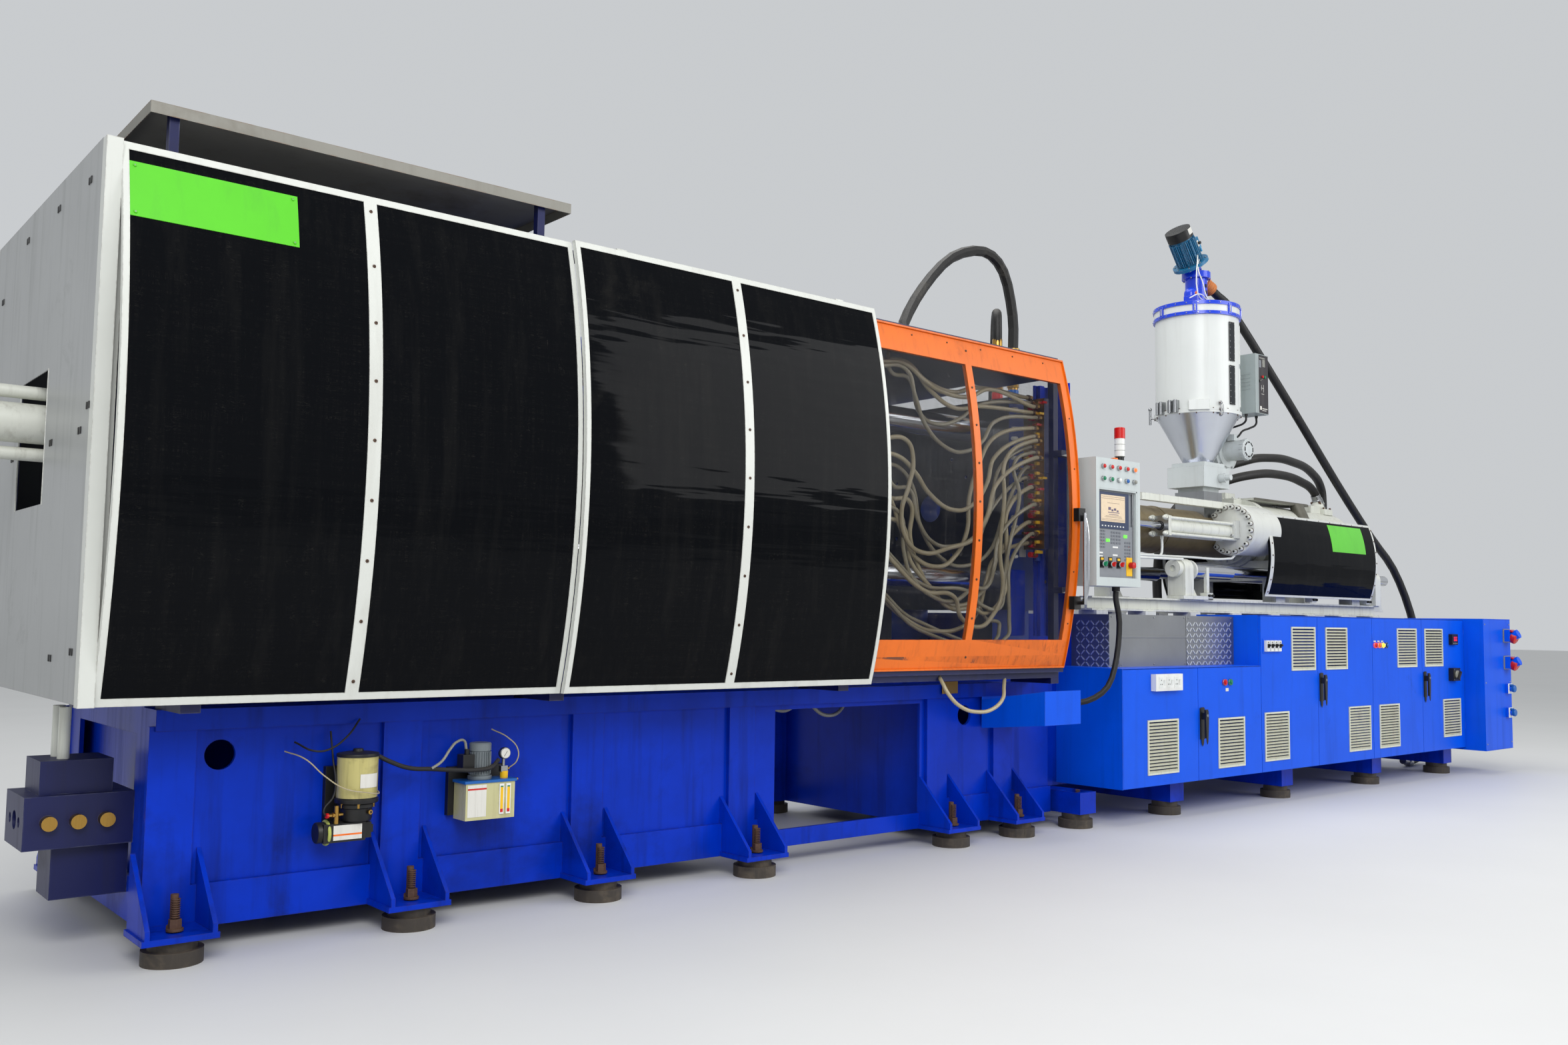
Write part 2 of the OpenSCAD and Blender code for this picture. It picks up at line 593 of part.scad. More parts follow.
module cross_link(open_gap) both_sides() difference() {
    link(cross_y[0], cross_y[1], pin_d, pin_h, cross_pin_r + 30);
    bar_y(cross_y[0] - 1, cross_y[1] + 1, pin_d[0], pin_d[1], cross_pin_r + run_gap);
    bar_y(cross_y[0] - 1, cross_y[1] + 1, pin_h[0], pin_h[1], cross_pin_r + open_gap);
}

module rear_link_upper() color("steelblue") rear_link();
module rear_link_lower() color("steelblue") lower_half() rear_link();
module front_link_upper() color("steelblue") front_link();
module front_link_lower() color("steelblue") lower_half() front_link();
module cross_link_upper() color("lightslategray") cross_link(run_gap);
module cross_link_lower() color("lightslategray") lower_half() cross_link(seat_gap);

module crosshead() color("slategray") {
    arm = toggle_h + cross_pin_r + 25;
    slab(pin_h_x - 55, pin_h_x + 55, -138, 138, axis_h - arm, axis_h + arm);
    for (s = [-1, 1]) bar_y(-cross_y[1], cross_y[1], pin_h_x, axis_h + s * toggle_h, cross_pin_r);
    bar_x(pin_h_x - 1900, pin_h_x, 0, axis_h, rod_r);
    bar_x(pin_h_x - 1900, pin_h_x - 1780, 0, axis_h, cylinder_r - 30 - run_gap);
}

module moving_platen() color("royalblue") difference() {
    plate_x0 = moving_x1 - 180;
    union() {
        slab(plate_x0, moving_x1, -half_platen, half_platen, axis_h - half_platen, axis_h + half_platen);
        slab(moving_x0, plate_x0 + 1, -400, 400, axis_h - 480, axis_h + 480);
        at_corners(half_tie) bar_x(moving_x0 + 120, moving_x1, 0, 0, 160);
        both_sides() slab(moving_x0, moving_x1, 400, 600, base_top + 40 + seat_gap, axis_h - half_platen + 120);
        both_sides() for (s = [-1, 1]) link(rear_y[0], rear_y[1], [moving_x0 + 120, axis_h + s * toggle_h],
            pin_c + [0, (s - 1) * toggle_h], clevis_r);
    }
    at_corners(half_tie) bar_x(moving_x0, moving_x1 + 1, 0, 0, tie_r + run_gap);
    both_sides() bar_y(rear_y[0] - 1, rear_y[1] + 1, pin_c_x, axis_h + toggle_h, pin_r + run_gap);
    both_sides() bar_y(rear_y[0] - 1, rear_y[1] + 1, pin_c_x, axis_h - toggle_h, pin_r + seat_gap);
    slab(moving_x0 + 40, plate_x0, -150, 150, axis_h - 481, axis_h + 481);
    both_sides() slab(moving_x0 + 60, plate_x0, 260, 401, axis_h - 380, axis_h - 40);
    both_sides() slab(moving_x0 + 60, plate_x0, 260, 401, axis_h + 40, axis_h + 380);
    bar_x(moving_x0 - 1, moving_x0 + 41, 0, axis_h, 30 + run_gap);
    for (s = [-1, 1]) for (t = [-1, 1])
        bar_x(plate_x0 - 1, moving_x1 + 1, s * 100, axis_h + t * 100, 20 + run_gap);
    mould_holes(moving_x1 - 60, moving_x1 + 1);
}

module ejector() color("silver") {
    slab(moving_x0 + 60, moving_x0 + 100, -140, 140, axis_h - 150, axis_h + 150);
    for (s = [-1, 1]) for (t = [-1, 1]) bar_x(moving_x0 + 90, moving_x1, s * 100, axis_h + t * 100, 20);
    bar_x(moving_x0 - 190, moving_x0 + 61, 0, axis_h, 30);
}

module hydraulic_manifold() color("navy") {
    x0 = base_x0 - 420;
    difference() {
        union() {
            slab(x0, base_x0, -520, -160, floor_gap + 340, floor_gap + 560);
            slab(x0 + 60, base_x0 - 80, -480, -200, floor_gap + 559, floor_gap + 700);
            slab(x0 + 120, base_x0, -460, -220, floor_gap + 120, floor_gap + 341);
        }
        bar_x(x0 - 1, x0 + 80, -340, floor_gap + 450, 40);
        for (y = [-430, -250]) bar_x(x0 - 1, x0 + 60, y, floor_gap + 450, 22);
    }
    for (y = [-400, -280]) bar_z(floor_gap + 699, guard_z0 - 40, x0 + 160, y, 24);
    for (k = [0:2]) bar_y(-560, -519, x0 + 90 + 110 * k, floor_gap + 450, 30);
}

module material_tray() color("mediumblue") {
    x0 = base_x0 + 5200;
    x1 = x0 + 375;
    y0 = -guard_y - 180;
    wall = [[-half_w - 40, base_top - 300], [-half_w - 40, base_top - 110], [y0, base_top - 30],
        [y0, base_top - 250]];
    for (x = [x0, x1 - 4]) plate_x(x, x + 4, wall);
    plate_x(x0 + 1, x1 - 1, [[-half_w - 40, base_top - 300], [-half_w - 40, base_top - 296],
        [y0, base_top - 246], [y0, base_top - 250]]);
    slab(x0, x1, y0, y0 + 4, base_top - 250, base_top - 30);
    slab(x0, x1, -half_w - 40, -half_w - 36, base_top - 300, base_top - 90);
    slab(x0 + 250, x0 + 290, -half_w - 37, -half_w - rib_t, base_top - 290, base_top - 240);
}

function tap_z(k) = axis_h + 680 - 75 * k;
function tap_y(k) = -1010 + 25 * (k % (tap_count / 2));
manifold_x = face_x + 45;

module water_manifold() color("lightgray") {
    for (s = [0, 1]) difference() {
        slab(manifold_x, manifold_x + 50, -1025, -845, tap_z(s * 7 + 6) - 35, tap_z(s * 7) + 35);
        bar_z(tap_z(s * 7 + 6) - 36, tap_z(s * 7) + 36, manifold_x + 25, -935, 15);
    }
    for (z = [tap_z(0) - 60, tap_z(6), tap_z(7), tap_z(13) + 60])
        slab(manifold_x + 10, manifold_x + 40, -846, -half_platen, z - 12, z + 12);
    for (k = [0:tap_count - 1]) {
        bar_x(manifold_x - 60, manifold_x + 1, tap_y(k), tap_z(k), 10);
        bar_y(tap_y(k) - 34, tap_y(k), manifold_x - 22, tap_z(k), 7);
        slab(manifold_x - 45, manifold_x, tap_y(k) - 40, tap_y(k) - 30, tap_z(k) - 7, tap_z(k) + 7);
    }
}

// Loops from each upper tap down to the tap seven places below
module cooling_hoses() color("tan") for (k = [0:tap_count / 2 - 1]) {
    run = 330 + 95 * ((k * 3) % 7);
    fall = (tap_z(k) - tap_z(k + 7)) / 2;
    x = manifold_x - 60;
    for (s = [0, 7]) bar_x(x - run, x, tap_y(k), tap_z(k + s), 11);
    translate([x - run, tap_y(k), tap_z(k) - fall]) rotate([90, 0, 0]) rotate([0, 0, 90])
        rotate_extrude(angle = 180) translate([fall, 0]) circle(r = 11, $fn = 24);
}

lube_y = -half_w - rib_t;
module lubricators() color("ivory") {
    gx = base_x0 + 840;
    slab(gx - 110, gx + 110, lube_y - 8, -half_w, floor_gap + 380, floor_gap + 640);
    slab(gx - 90, gx + 60, lube_y - 130, lube_y - 7, floor_gap + 345, floor_gap + 420);
    bar_z(floor_gap + 419, floor_gap + 490, gx, lube_y - 98, 75);
    bar_z(floor_gap + 489, floor_gap + 700, gx, lube_y - 98, 92);
    bar_z(floor_gap + 699, floor_gap + 725, gx, lube_y - 98, 80);
    ox = base_x0 + 1490;
    slab(ox - 150, ox + 150, lube_y - 8, -half_w, floor_gap + 370, floor_gap + 600);
    slab(ox - 140, ox + 140, lube_y - 130, lube_y - 7, floor_gap + 350, floor_gap + 535);
    slab(ox - 148, ox + 148, lube_y - 136, lube_y - 7, floor_gap + 534, floor_gap + 556);
    bar_z(floor_gap + 555, floor_gap + 700, ox - 30, lube_y - 72, 52);
    bar_y(lube_y - 96, lube_y - 60, ox + 95, floor_gap + 640, 28);
    bar_z(floor_gap + 555, floor_gap + 640, ox + 95, lube_y - 72, 9);
    hose_x = [gx + 74, ox - 81];
    hose_sag = 70;
    hose_half = (hose_x[1] - hose_x[0]) / 2;
    hose_arc = (hose_half * hose_half + hose_sag * hose_sag) / (2 * hose_sag);
    hose_turn = asin(hose_half / hose_arc);
    translate([gx + 74 + hose_half, lube_y - 84, floor_gap + 690 - hose_sag + hose_arc]) rotate([90, 0, 0])
        rotate([0, 0, -90 - hose_turn]) rotate_extrude(angle = 2 * hose_turn) translate([hose_arc, 0])
            circle(r = 13, $fn = 24);
}

module carriage_base() color("whitesmoke") {
    both_sides() {
        for (k = [0:7]) slab(base_x1 + 980 + stand_pitch * k, base_x1 + 1130 + stand_pitch * k,
            guide_y - 90, guide_y + 80, tank_top, rail_z0);
        slab(base_x1 + 950, inj_x1 - 300, guide_y - 60, guide_y + 60, rail_z0 - 1, rail_z0 + 14);
        slab(base_x1 + 950, inj_x1 - 300, guide_y - 60, guide_y + 60, rail_z1 - 14, rail_z1);
        slab(base_x1 + 950, inj_x1 - 300, guide_y - 12, guide_y + 12, rail_z0, rail_z1);
        difference() {
            union() {
                slab(support_x, support_x + 130, guide_y - 85, guide_y + 85, rail_z1 - 1, guide_z);
                slab(support_x - 50, support_x + 330, guide_y - 60, guide_y + 100, rail_z1 - 1, rail_z1 + 30);
                plate_y(guide_y - 12, guide_y + 12, [[support_x + 129, rail_z1], [support_x + 320, rail_z1],
                    [support_x + 129, guide_z - 20]]);
                bar_x(support_x, support_x + 130, guide_y, guide_z, guide_r + 35);
                bar_x(inj_x1 - 420, inj_x1 - 300, guide_y, guide_z, guide_r + 35);
                slab(inj_x1 - 420, inj_x1 - 300, guide_y - 85, guide_y + 85, rail_z1 - 1, guide_z);
                plate_y(guide_y - 12, guide_y + 12, [[inj_x1 - 301, rail_z1 - 60], [inj_x1 - 100, rail_z1 - 60],
                    [inj_x1 - 301, guide_z - 20]]);
            }
            bar_x(support_x - 1, inj_x1, guide_y, guide_z, guide_r + run_gap);
        }
    }
}

module guide_bars() color("silver") both_sides() {
    bar_x(support_x - 40, inj_x1 - 60, guide_y, guide_z, guide_r);
    difference() {
        bar_x(support_x - 60, support_x, guide_y, guide_z, guide_r + 24);
        bar_x(support_x - 61, support_x - 20, guide_y, guide_z, guide_r - 24);
    }
    bar_x(platen_x1, support_x + 35, cyl_y, axis_h, cyl_rod_r);
    bar_x(support_x + 35, support_x + 75, cyl_y, axis_h, cyl_r - 14 - run_gap);
}

flange_r = 262;
body_r = 330;
module injection_housing() color("ivory") {
    difference() {
        union() {
            bar_x(flange_x, flange_x + 70, 0, axis_h, flange_r);
            bar_x(flange_x + 69, flange_x + 150, 0, axis_h, flange_r + 30);
            bar_x(flange_x + 149, flange_x + 230, 0, axis_h, body_r + 40);
            bar_x(flange_x + 229, house_x1, 0, axis_h, body_r);
            for (k = [0:19]) translate([flange_x, 0, axis_h]) rotate([18 * k, 0, 0])
                bar_x(-18, 1, flange_r - 30, 0, 12, $fn = 24);
            for (x = [flange_x + 100, house_x1 - 260]) {
                slab(x, x + 160, -guide_y - 20, guide_y + 20, guide_z + 20, guide_z + 130);
                slab(x, x + 160, -guide_y + 60, guide_y - 60, guide_z - 60, max(guide_z + 90, axis_h - 270));
            }
            both_sides() for (x = [flange_x + 100, house_x1 - 260]) {
                bar_x(x, x + 160, guide_y, guide_z, guide_r + 30);
                slab(x, x + 160, guide_y - 75, guide_y + 60, rail_z1 + seat_gap, guide_z);
            }
            slab(flange_x, flange_x + 170, -80, 80, axis_h + flange_r - 30, axis_h + flange_r + 90);
            slab(flange_x - 1790, flange_x + 1, -290, -230, axis_h + 215, axis_h + 275);
            slab(flange_x, flange_x + 60, -290, 80, axis_h + 215, axis_h + 275);
            slab(flange_x + 169, house_x1 - 620, -190, 150, axis_h + 350, axis_h + 372);
            both_sides() bar_x(flange_x, flange_x + 60, cyl_y, axis_h, cyl_r + 20);
            slab(house_x1 - 420, house_x1 - 120, -110, 110, axis_h + body_r - 30, axis_h + body_r + 55);
            slab(flange_x + 90, flange_x + 260, 60, 230, axis_h + 250, axis_h + 430);
        }
        bar_x(flange_x + 200, house_x1 - 200, 0, axis_h, 150 + run_gap);
        bar_x(flange_x - 1, flange_x + 201, 0, axis_h, screw_core_r + 30);
        both_sides() bar_x(flange_x, house_x1, guide_y, guide_z, guide_r + run_gap);
    }
    difference() {
        translate([house_x1 - 830, -170, axis_h + 360]) rotate([150, 0, -20]) cylinder(h = 330, r = 62);
        translate([house_x1 - 830, -170, axis_h + 360]) rotate([150, 0, -20]) translate([0, 0, 20])
            cylinder(h = 330, r = 56);
        slab(house_x1 - 1000, house_x1 - 600, -300, 100, axis_h + 365, axis_h + 500);
        bar_x(flange_x, house_x1, 0, axis_h, body_r);
    }
}

module barrel() color("darkgray") difference() {
    union() {
        bar_x(barrel_x0 + 240, flange_x, 0, axis_h, barrel_r);
        bar_x(flange_x - 60, flange_x, 0, axis_h, cover_r - 20);
        bar_x(barrel_x0 + 130, barrel_x0 + 241, 0, axis_h, 80);
        translate([barrel_x0, 0, axis_h]) rotate([0, 90, 0]) cylinder(h = 131, r1 = 22, r2 = 55);
        for (k = [0:8]) bar_x(barrel_x0 + 330 + 300 * k, barrel_x0 + 590 + 300 * k, 0, axis_h,
            barrel_r + 22);
        slab(throat_x - 150, throat_x + 150, -150, 150, axis_h, throat_top);
    }
    bar_x(barrel_x0 + 241, flange_x + 1, 0, axis_h, bore_r);
    bar_x(barrel_x0 - 1, barrel_x0 + 260, 0, axis_h, 10);
    bar_z(axis_h, throat_top + 1, throat_x, 0, 60);
}

module barrel_cover() color("darkkhaki") difference() {
    union() {
        bar_x(barrel_x0 + 175, flange_x - 61, 0, axis_h, cover_r);
        for (x = [barrel_x0 + 1250, barrel_x0 + 2350]) bar_x(x, x + 30, 0, axis_h, cover_r + 6);
    }
    bar_x(barrel_x0 + 179, flange_x - 60, 0, axis_h, cover_r - 3);
    bar_x(barrel_x0 + 174, barrel_x0 + 180, 0, axis_h, barrel_r + 1);
    slab(throat_x - 150, throat_x + 150, -150, 150, axis_h, axis_h + cover_r + 20);
}

module carriage_cylinders() color("ivory") both_sides() difference() {
    union() {
        bar_x(support_x - 150, flange_x - 1, cyl_y, axis_h, cyl_r);
        for (x = [support_x - 165, flange_x - 460]) slab(x, x + 45, cyl_y - 85, cyl_y + 85, axis_h - 85,
            axis_h + 85);
        for (s = [-1, 1]) for (t = [-1, 1]) bar_x(support_x - 190, flange_x - 395, cyl_y + s * 68,
            axis_h + t * 68, 13, $fn = 24);
        bar_x(flange_x - 415, flange_x, cyl_y, axis_h, cyl_r - 20);
    }
    bar_x(support_x - 100, flange_x - 500, cyl_y, axis_h, cyl_r - 14);
    bar_x(support_x - 191, support_x - 99, cyl_y, axis_h, cyl_rod_r + run_gap);
}

cover_y = 500;
cover_arc = (380 * 380 + 75 * 75) / 150;
module injection_cover() color("black") {
    x0 = flange_x - 220;
    x1 = house_x1;
    z_mid = 2070;
    for (side = [-1, 1]) difference() {
        intersection() {
            bar_x(x0, x1, side * (cover_y + 75 - cover_arc), z_mid, cover_arc, $fn = 180);
            slab(x0, x1, min(side * cover_y, side * 700), max(side * cover_y, side * 700),
                z_mid - 370, z_mid + 380);
        }
        bar_x(x0 + 45, x1 - 25, side * (cover_y + 75 - cover_arc), z_mid, cover_arc - 8, $fn = 180);
        bar_x(x0 - 1, x1 + 1, side * (cover_y + 75 - cover_arc), z_mid, cover_arc - 26, $fn = 180);
    }
    for (side = [-1, 1]) for (x = [flange_x + 300, house_x1 - 330])
        slab(x, x + 40, min(side * (body_r + seat_gap), side * (cover_y + 50)),
            max(side * (body_r + seat_gap), side * (cover_y + 50)), axis_h - 25, axis_h + 25);
}

module hopper_cone() color("lightgray") {
    difference() {
        union() {
            slab(throat_x - 130, throat_x + 130, -130, 130, throat_top, throat_top + 40);
            slab(throat_x - 210, throat_x + 210, -190, 190, throat_top + 39, throat_top + 230);
            slab(throat_x - 170, throat_x + 170, -170, 170, throat_top + 229, cone_z0);
            translate([throat_x + 60, -250, throat_top + 130]) rotate([-90, 0, 0]) cylinder(h = 70, r = 42);
            bar_y(-300, -240, throat_x + 60, throat_top + 130, 26);
        }
        bar_z(throat_top - 1, cone_z0 + 5, throat_x, 0, 60);
    }
    difference() {
        union() {
            translate([throat_x, 0, cone_z0 + seat_gap]) cylinder(h = cone_z1 - cone_z0 - 19, r1 = 130,
                r2 = hopper_r - 10);
            bar_z(cone_z1 - 20, cone_z1, throat_x, 0, hopper_r + 15);
        }
        translate([throat_x, 0, cone_z0 + seat_gap - 1]) cylinder(h = cone_z1 - cone_z0 - 17, r1 = 122,
            r2 = hopper_r - 14);
        bar_z(cone_z1 - 21, cone_z1 + 1, throat_x, 0, hopper_r - 20);
    }
}

module hopper_barrel() color("white") difference() {
    union() {
        bar_z(cone_z1, hopper_z1, throat_x, 0, hopper_r);
        bar_z(cone_z1, cone_z1 + 14, throat_x, 0, hopper_r + 15);
        for (k = [0:1]) translate([throat_x, 0, 0]) rotate([0, 0, -62])
            slab(hopper_r - 12, hopper_r + 5, -38, 38, cone_z1 + 60 + 400 * k, cone_z1 + 420 + 400 * k);
        translate([throat_x, 0, 0]) rotate([0, 0, -146])
            slab(hopper_r - 20, hopper_r + 38, -90, 90, cone_z1 - 0, cone_z1 + 90);
    }
    bar_z(cone_z1 - 1, hopper_z1 + 1, throat_x, 0, hopper_r - 5);
    for (k = [0:1]) translate([throat_x, 0, 0]) rotate([0, 0, -62])
        slab(hopper_r - 3, hopper_r + 6, -24, 24, cone_z1 + 80 + 400 * k, cone_z1 + 400 + 400 * k);
}

module loader_motor() {
    cylinder(h = 30, r = 165);
    translate([0, 0, 29]) cylinder(h = 250, r = 100);
    for (k = [0:15]) rotate([0, 0, 22.5 * k]) translate([95, -4, 40]) cube([27, 8, 220]);
    translate([0, 0, 278]) cylinder(h = 90, r = 118);
    translate([40, -70, 100]) cube([120, 140, 110]);
}

module hopper_loader() color("dodgerblue") {
    difference() {
        union() {
            bar_z(hopper_z1, hopper_z1 + 120, throat_x, 0, hopper_r + 8);
            bar_z(hopper_z1, hopper_z1 + 30, throat_x, 0, hopper_r + 16);
            bar_z(hopper_z1 + 90, hopper_z1 + 125, throat_x, 0, hopper_r + 16);
        }
        bar_z(hopper_z1 - 1, hopper_z1 + 100, throat_x, 0, hopper_r - 12);
    }
    bar_z(hopper_z1 + 124, hopper_z1 + 420, throat_x, 0, 100);
    bar_z(hopper_z1 + 410, hopper_z1 + 470, throat_x, 0, 130);
    bar_z(hopper_z1 + 124, hopper_z1 + 230, throat_x - 190, -60, 60);
    translate([throat_x - 190, -60, hopper_z1 + 230]) sphere(r = 60);
    translate([throat_x, 0, hopper_z1 + 430]) rotate([0, -38, 0]) {
        cylinder(h = 130, r = 75);
        translate([0, 0, 129]) loader_motor();
    }
    translate([throat_x, 0, hopper_z1 + 440]) rotate([0, 115, -8]) cylinder(h = 230, r = 62);
}

module dryer_units() color("silver") {
    box_x = throat_x + 400;
    difference() {
        slab(box_x, box_x + 230, -360, -130, cone_z1 + 40, cone_z1 + 600);
        slab(box_x + 60, box_x + 231, -364, -357, cone_z1 + 46, cone_z1 + 594);
    }
    slab(box_x + 3, box_x + 40, -150, 0, cone_z1 + 100, cone_z1 + 160);
    difference() {
        slab(throat_x + 330, box_x + 4, -60, 0, cone_z1 + 100, cone_z1 + 160);
        bar_z(cone_z1 + 99, cone_z1 + 161, throat_x, 0, hopper_r + seat_gap);
    }
    difference() {
        union() {
            slab(throat_x + 300, throat_x + 500, -40, 160, cone_z1 - 60, cone_z1 - 20);
            slab(throat_x + 330, throat_x + 450, -20, 100, cone_z0 + 130, cone_z1 - 40);
            bar_y(-60, 120, throat_x + 390, cone_z0 + 150, 190);
            bar_y(-75, -59, throat_x + 390, cone_z0 + 150, 150);
            bar_y(-280, -70, throat_x + 390, cone_z0 + 150, 95);
            for (k = [0:11]) translate([throat_x + 390, -281, cone_z0 + 150]) rotate([0, 30 * k, 0])
                slab(-8, 8, 0, 40, 88, 101);
        }
        for (k = [0:7]) translate([throat_x + 390, -281, cone_z0 + 150]) rotate([0, 45 * k, 0])
            slab(-22, 22, -1, 12, 62, 72);
        translate([throat_x, 0, cone_z0 - 1]) cylinder(h = cone_z1 - cone_z0 - 19, r1 = 131,
            r2 = hopper_r - 9);
        bar_z(cone_z1 - 21, cone_z1 + 1, throat_x, 0, hopper_r + 15);
    }
}

module injection_piston() color("silver") {
    bar_x(flange_x + 900, flange_x + 1100, 0, axis_h, 150);
    bar_x(flange_x + 460, flange_x + 901, 0, axis_h, screw_core_r + 20);
}

module screw() color("silver") {
    pitch = 170;
    turns = floor((flange_x - barrel_x0 - 900) / pitch);
    flight_r = screw_core_r - 9;
    bar_x(barrel_x0 + 760, flange_x + 460, 0, axis_h, screw_core_r - 12);
    hose([for (i = [0:9 * turns]) [barrel_x0 + 800 + i * pitch / 9, flight_r * cos(40 * i),
        axis_h + flight_r * sin(40 * i)]], 9);
    translate([barrel_x0 + 690, 0, axis_h]) rotate([0, 90, 0]) cylinder(h = 71, r1 = 8, r2 = screw_core_r - 12);
}

module cabinet_shell() color("blue") {
    y0 = -cabinet_y + door_t + seat_gap;
    y1 = -half_tank;
    difference() {
        union() {
            slab(low_x0, tall_x0, y0, y1, cabinet_z0, low_top);
            slab(tall_x0, inj_x1, y0, y1, cabinet_z0, tall_top);
            slab(low_x0 - 4, low_x0, -cabinet_y, y1, cabinet_z0, low_top);
            slab(low_x0 - 4, tall_x0, -cabinet_y, y1, low_top, low_top + 4);
            slab(tall_x0, inj_x1, -cabinet_y, y1, tall_top, tall_top + 4);
        }
        for (i = [0:5]) slab(door_xs[i] + 30, door_xs[i] + door_ws[i] - 30, y0 - 30, y1 - 4,
            cabinet_z0 + 30, (i < 2 ? low_top : tall_top) - 30);
    }
}

// Slats that slope outward in a raised frame, over a cut-out in the door
module louvre_cut(x, z, w, h) slab(x + 14, x + w - 14, -cabinet_y - 5, -cabinet_y + door_t + 5, z + 14, z + h - 14);

module louvre(x, z, w, h) {
    count = floor((h - 30) / 24);
    pitch = (h - 30) / count;
    difference() {
        slab(x, x + w, -cabinet_y - 8, -cabinet_y + 1, z, z + h);
        slab(x + 14, x + w - 14, -cabinet_y - 9, -cabinet_y + 2, z + 14, z + h - 14);
    }
    for (k = [0:count - 1]) translate([x + 10, -cabinet_y + 2, z + 26 + pitch * k]) rotate([40, 0, 0])
        translate([0, -slat_d - 3, -3]) cube([w - 20, slat_d + 6, 5]);
}

module swing_handle(x, z) {
    slab(x, x + 62, -cabinet_y - 6, -cabinet_y, z, z + 235);
    slab(x + 16, x + 46, -cabinet_y - 34, -cabinet_y - 5, z + 150, z + 200);
    slab(x + 12, x + 50, -cabinet_y - 44, -cabinet_y - 33, z + 10, z + 225);
}

module cabinet_door(i, louvres) {
    x0 = door_xs[i];
    s = i < 2 ? 1 : stretch;
    z1 = i < 2 ? low_top : tall_top;
    difference() {
        slab(x0 + 3, x0 + door_ws[i] - 3, -cabinet_y, -cabinet_y + door_t, cabinet_z0 + 3, z1 - 4);
        slab(x0 + 40, x0 + door_ws[i] - 40, -cabinet_y + 3, -cabinet_y + door_t + 1, cabinet_z0 + 40,
            z1 - 40);
        for (l = louvres) louvre_cut(x0 + s * l[0], cabinet_z0 + l[1], s * l[2], l[3]);
    }
    for (l = louvres) louvre(x0 + s * l[0], cabinet_z0 + l[1], s * l[2], l[3]);
    odd = i % 2;
    hinge_x = odd == 1 ? x0 + door_ws[i] - 3 : x0 + 3;
    for (z = [cabinet_z0 + 90 + 90 * odd, z1 - 240 + 90 * odd]) bar_z(z, z + 60, hinge_x, -cabinet_y, 2.9);
}

tall_upper = tall_top - cabinet_z0 - 450;
module door_1() color("blue") {
    cabinet_door(0, [low_louvres[0]]);
    slab(door_xs[0] + 351, door_xs[0] + 696, -cabinet_y - 42, -cabinet_y, low_top - 162, low_top - 40);
}
module door_2() color("blue") {
    cabinet_door(1, [low_louvres[1]]);
    swing_handle(door_xs[1] + 19, cabinet_z0 + 309);
    for (k = [0:1]) bar_y(-cabinet_y - 16, -cabinet_y, door_xs[1] + 365 + 80 * k, low_top - 119, 24);
}
module door_3() color("blue") {
    cabinet_door(2, [[481, tall_upper, 395, 362], [45, 86, 380, 390]]);
    for (k = [0:3]) slab(door_xs[2] + 50 + 62 * k, door_xs[2] + 95 + 62 * k, -cabinet_y - 20, -cabinet_y,
        tall_top - 290, tall_top - 200);
}
module door_4() color("blue") {
    cabinet_door(3, [[135, tall_upper, 382, 360], [530, 86, 400, 390]]);
    swing_handle(door_xs[3] + 22, cabinet_z0 + 540);
}
module door_5() color("blue") {
    cabinet_door(4, [[487, tall_upper, 398, 360], [112, 86, 392, 390]]);
    for (k = [0:3]) bar_y(-cabinet_y - 14, -cabinet_y, door_xs[4] + 50 + 72 * k, tall_top - 245, 24);
}
module door_6() color("blue") {
    cabinet_door(5, [[59, tall_upper, 390, 360], [436, 122, 392, 364]]);
    swing_handle(door_xs[5] + 22, cabinet_z0 + 520);
    x1 = inj_x1 - 200 * stretch;
    slab(x1 - 140, x1 - 5, -cabinet_y - 30, -cabinet_y, tall_top - 245, tall_top - 140);
    slab(x1 - 160, x1, -cabinet_y - 45, -cabinet_y, tall_top - 595, tall_top - 470);
}

module tread_plates() color("lightsteelblue") {
    y0 = -cabinet_y + 240;
    slab(low_x0 + 180, tall_x0, y0, y0 + 4, low_top + 4, tall_top - 15);
    slab(low_x0 + 180, low_x0 + 184, y0, -half_tank, low_top + 4, tall_top - 15);
    slab(low_x0 + 180, tall_x0, y0, -half_tank, tall_top - 16, tall_top - 12);
}

module end_cabinet() color("blue") {
    y0 = -cabinet_y - 190;
    slab(inj_x1, x_right, y0, -half_tank, 235, tall_top + 15);
    for (z = [tall_top - 150, tall_top - 420]) {
        slab(x_right - 175, x_right - 45, y0 - 60, y0, z - 60, z + 60);
        translate([x_right - 110, y0 - 55, z - 10]) rotate([65, 0, 0]) cylinder(h = 75, r = 45);
    }
    for (z = [tall_top - 680, tall_top - 920]) {
        slab(x_right - 155, x_right - 65, y0 - 30, y0, z - 45, z + 45);
        bar_y(y0 - 55, y0 - 29, x_right - 110, z, 30);
    }
}

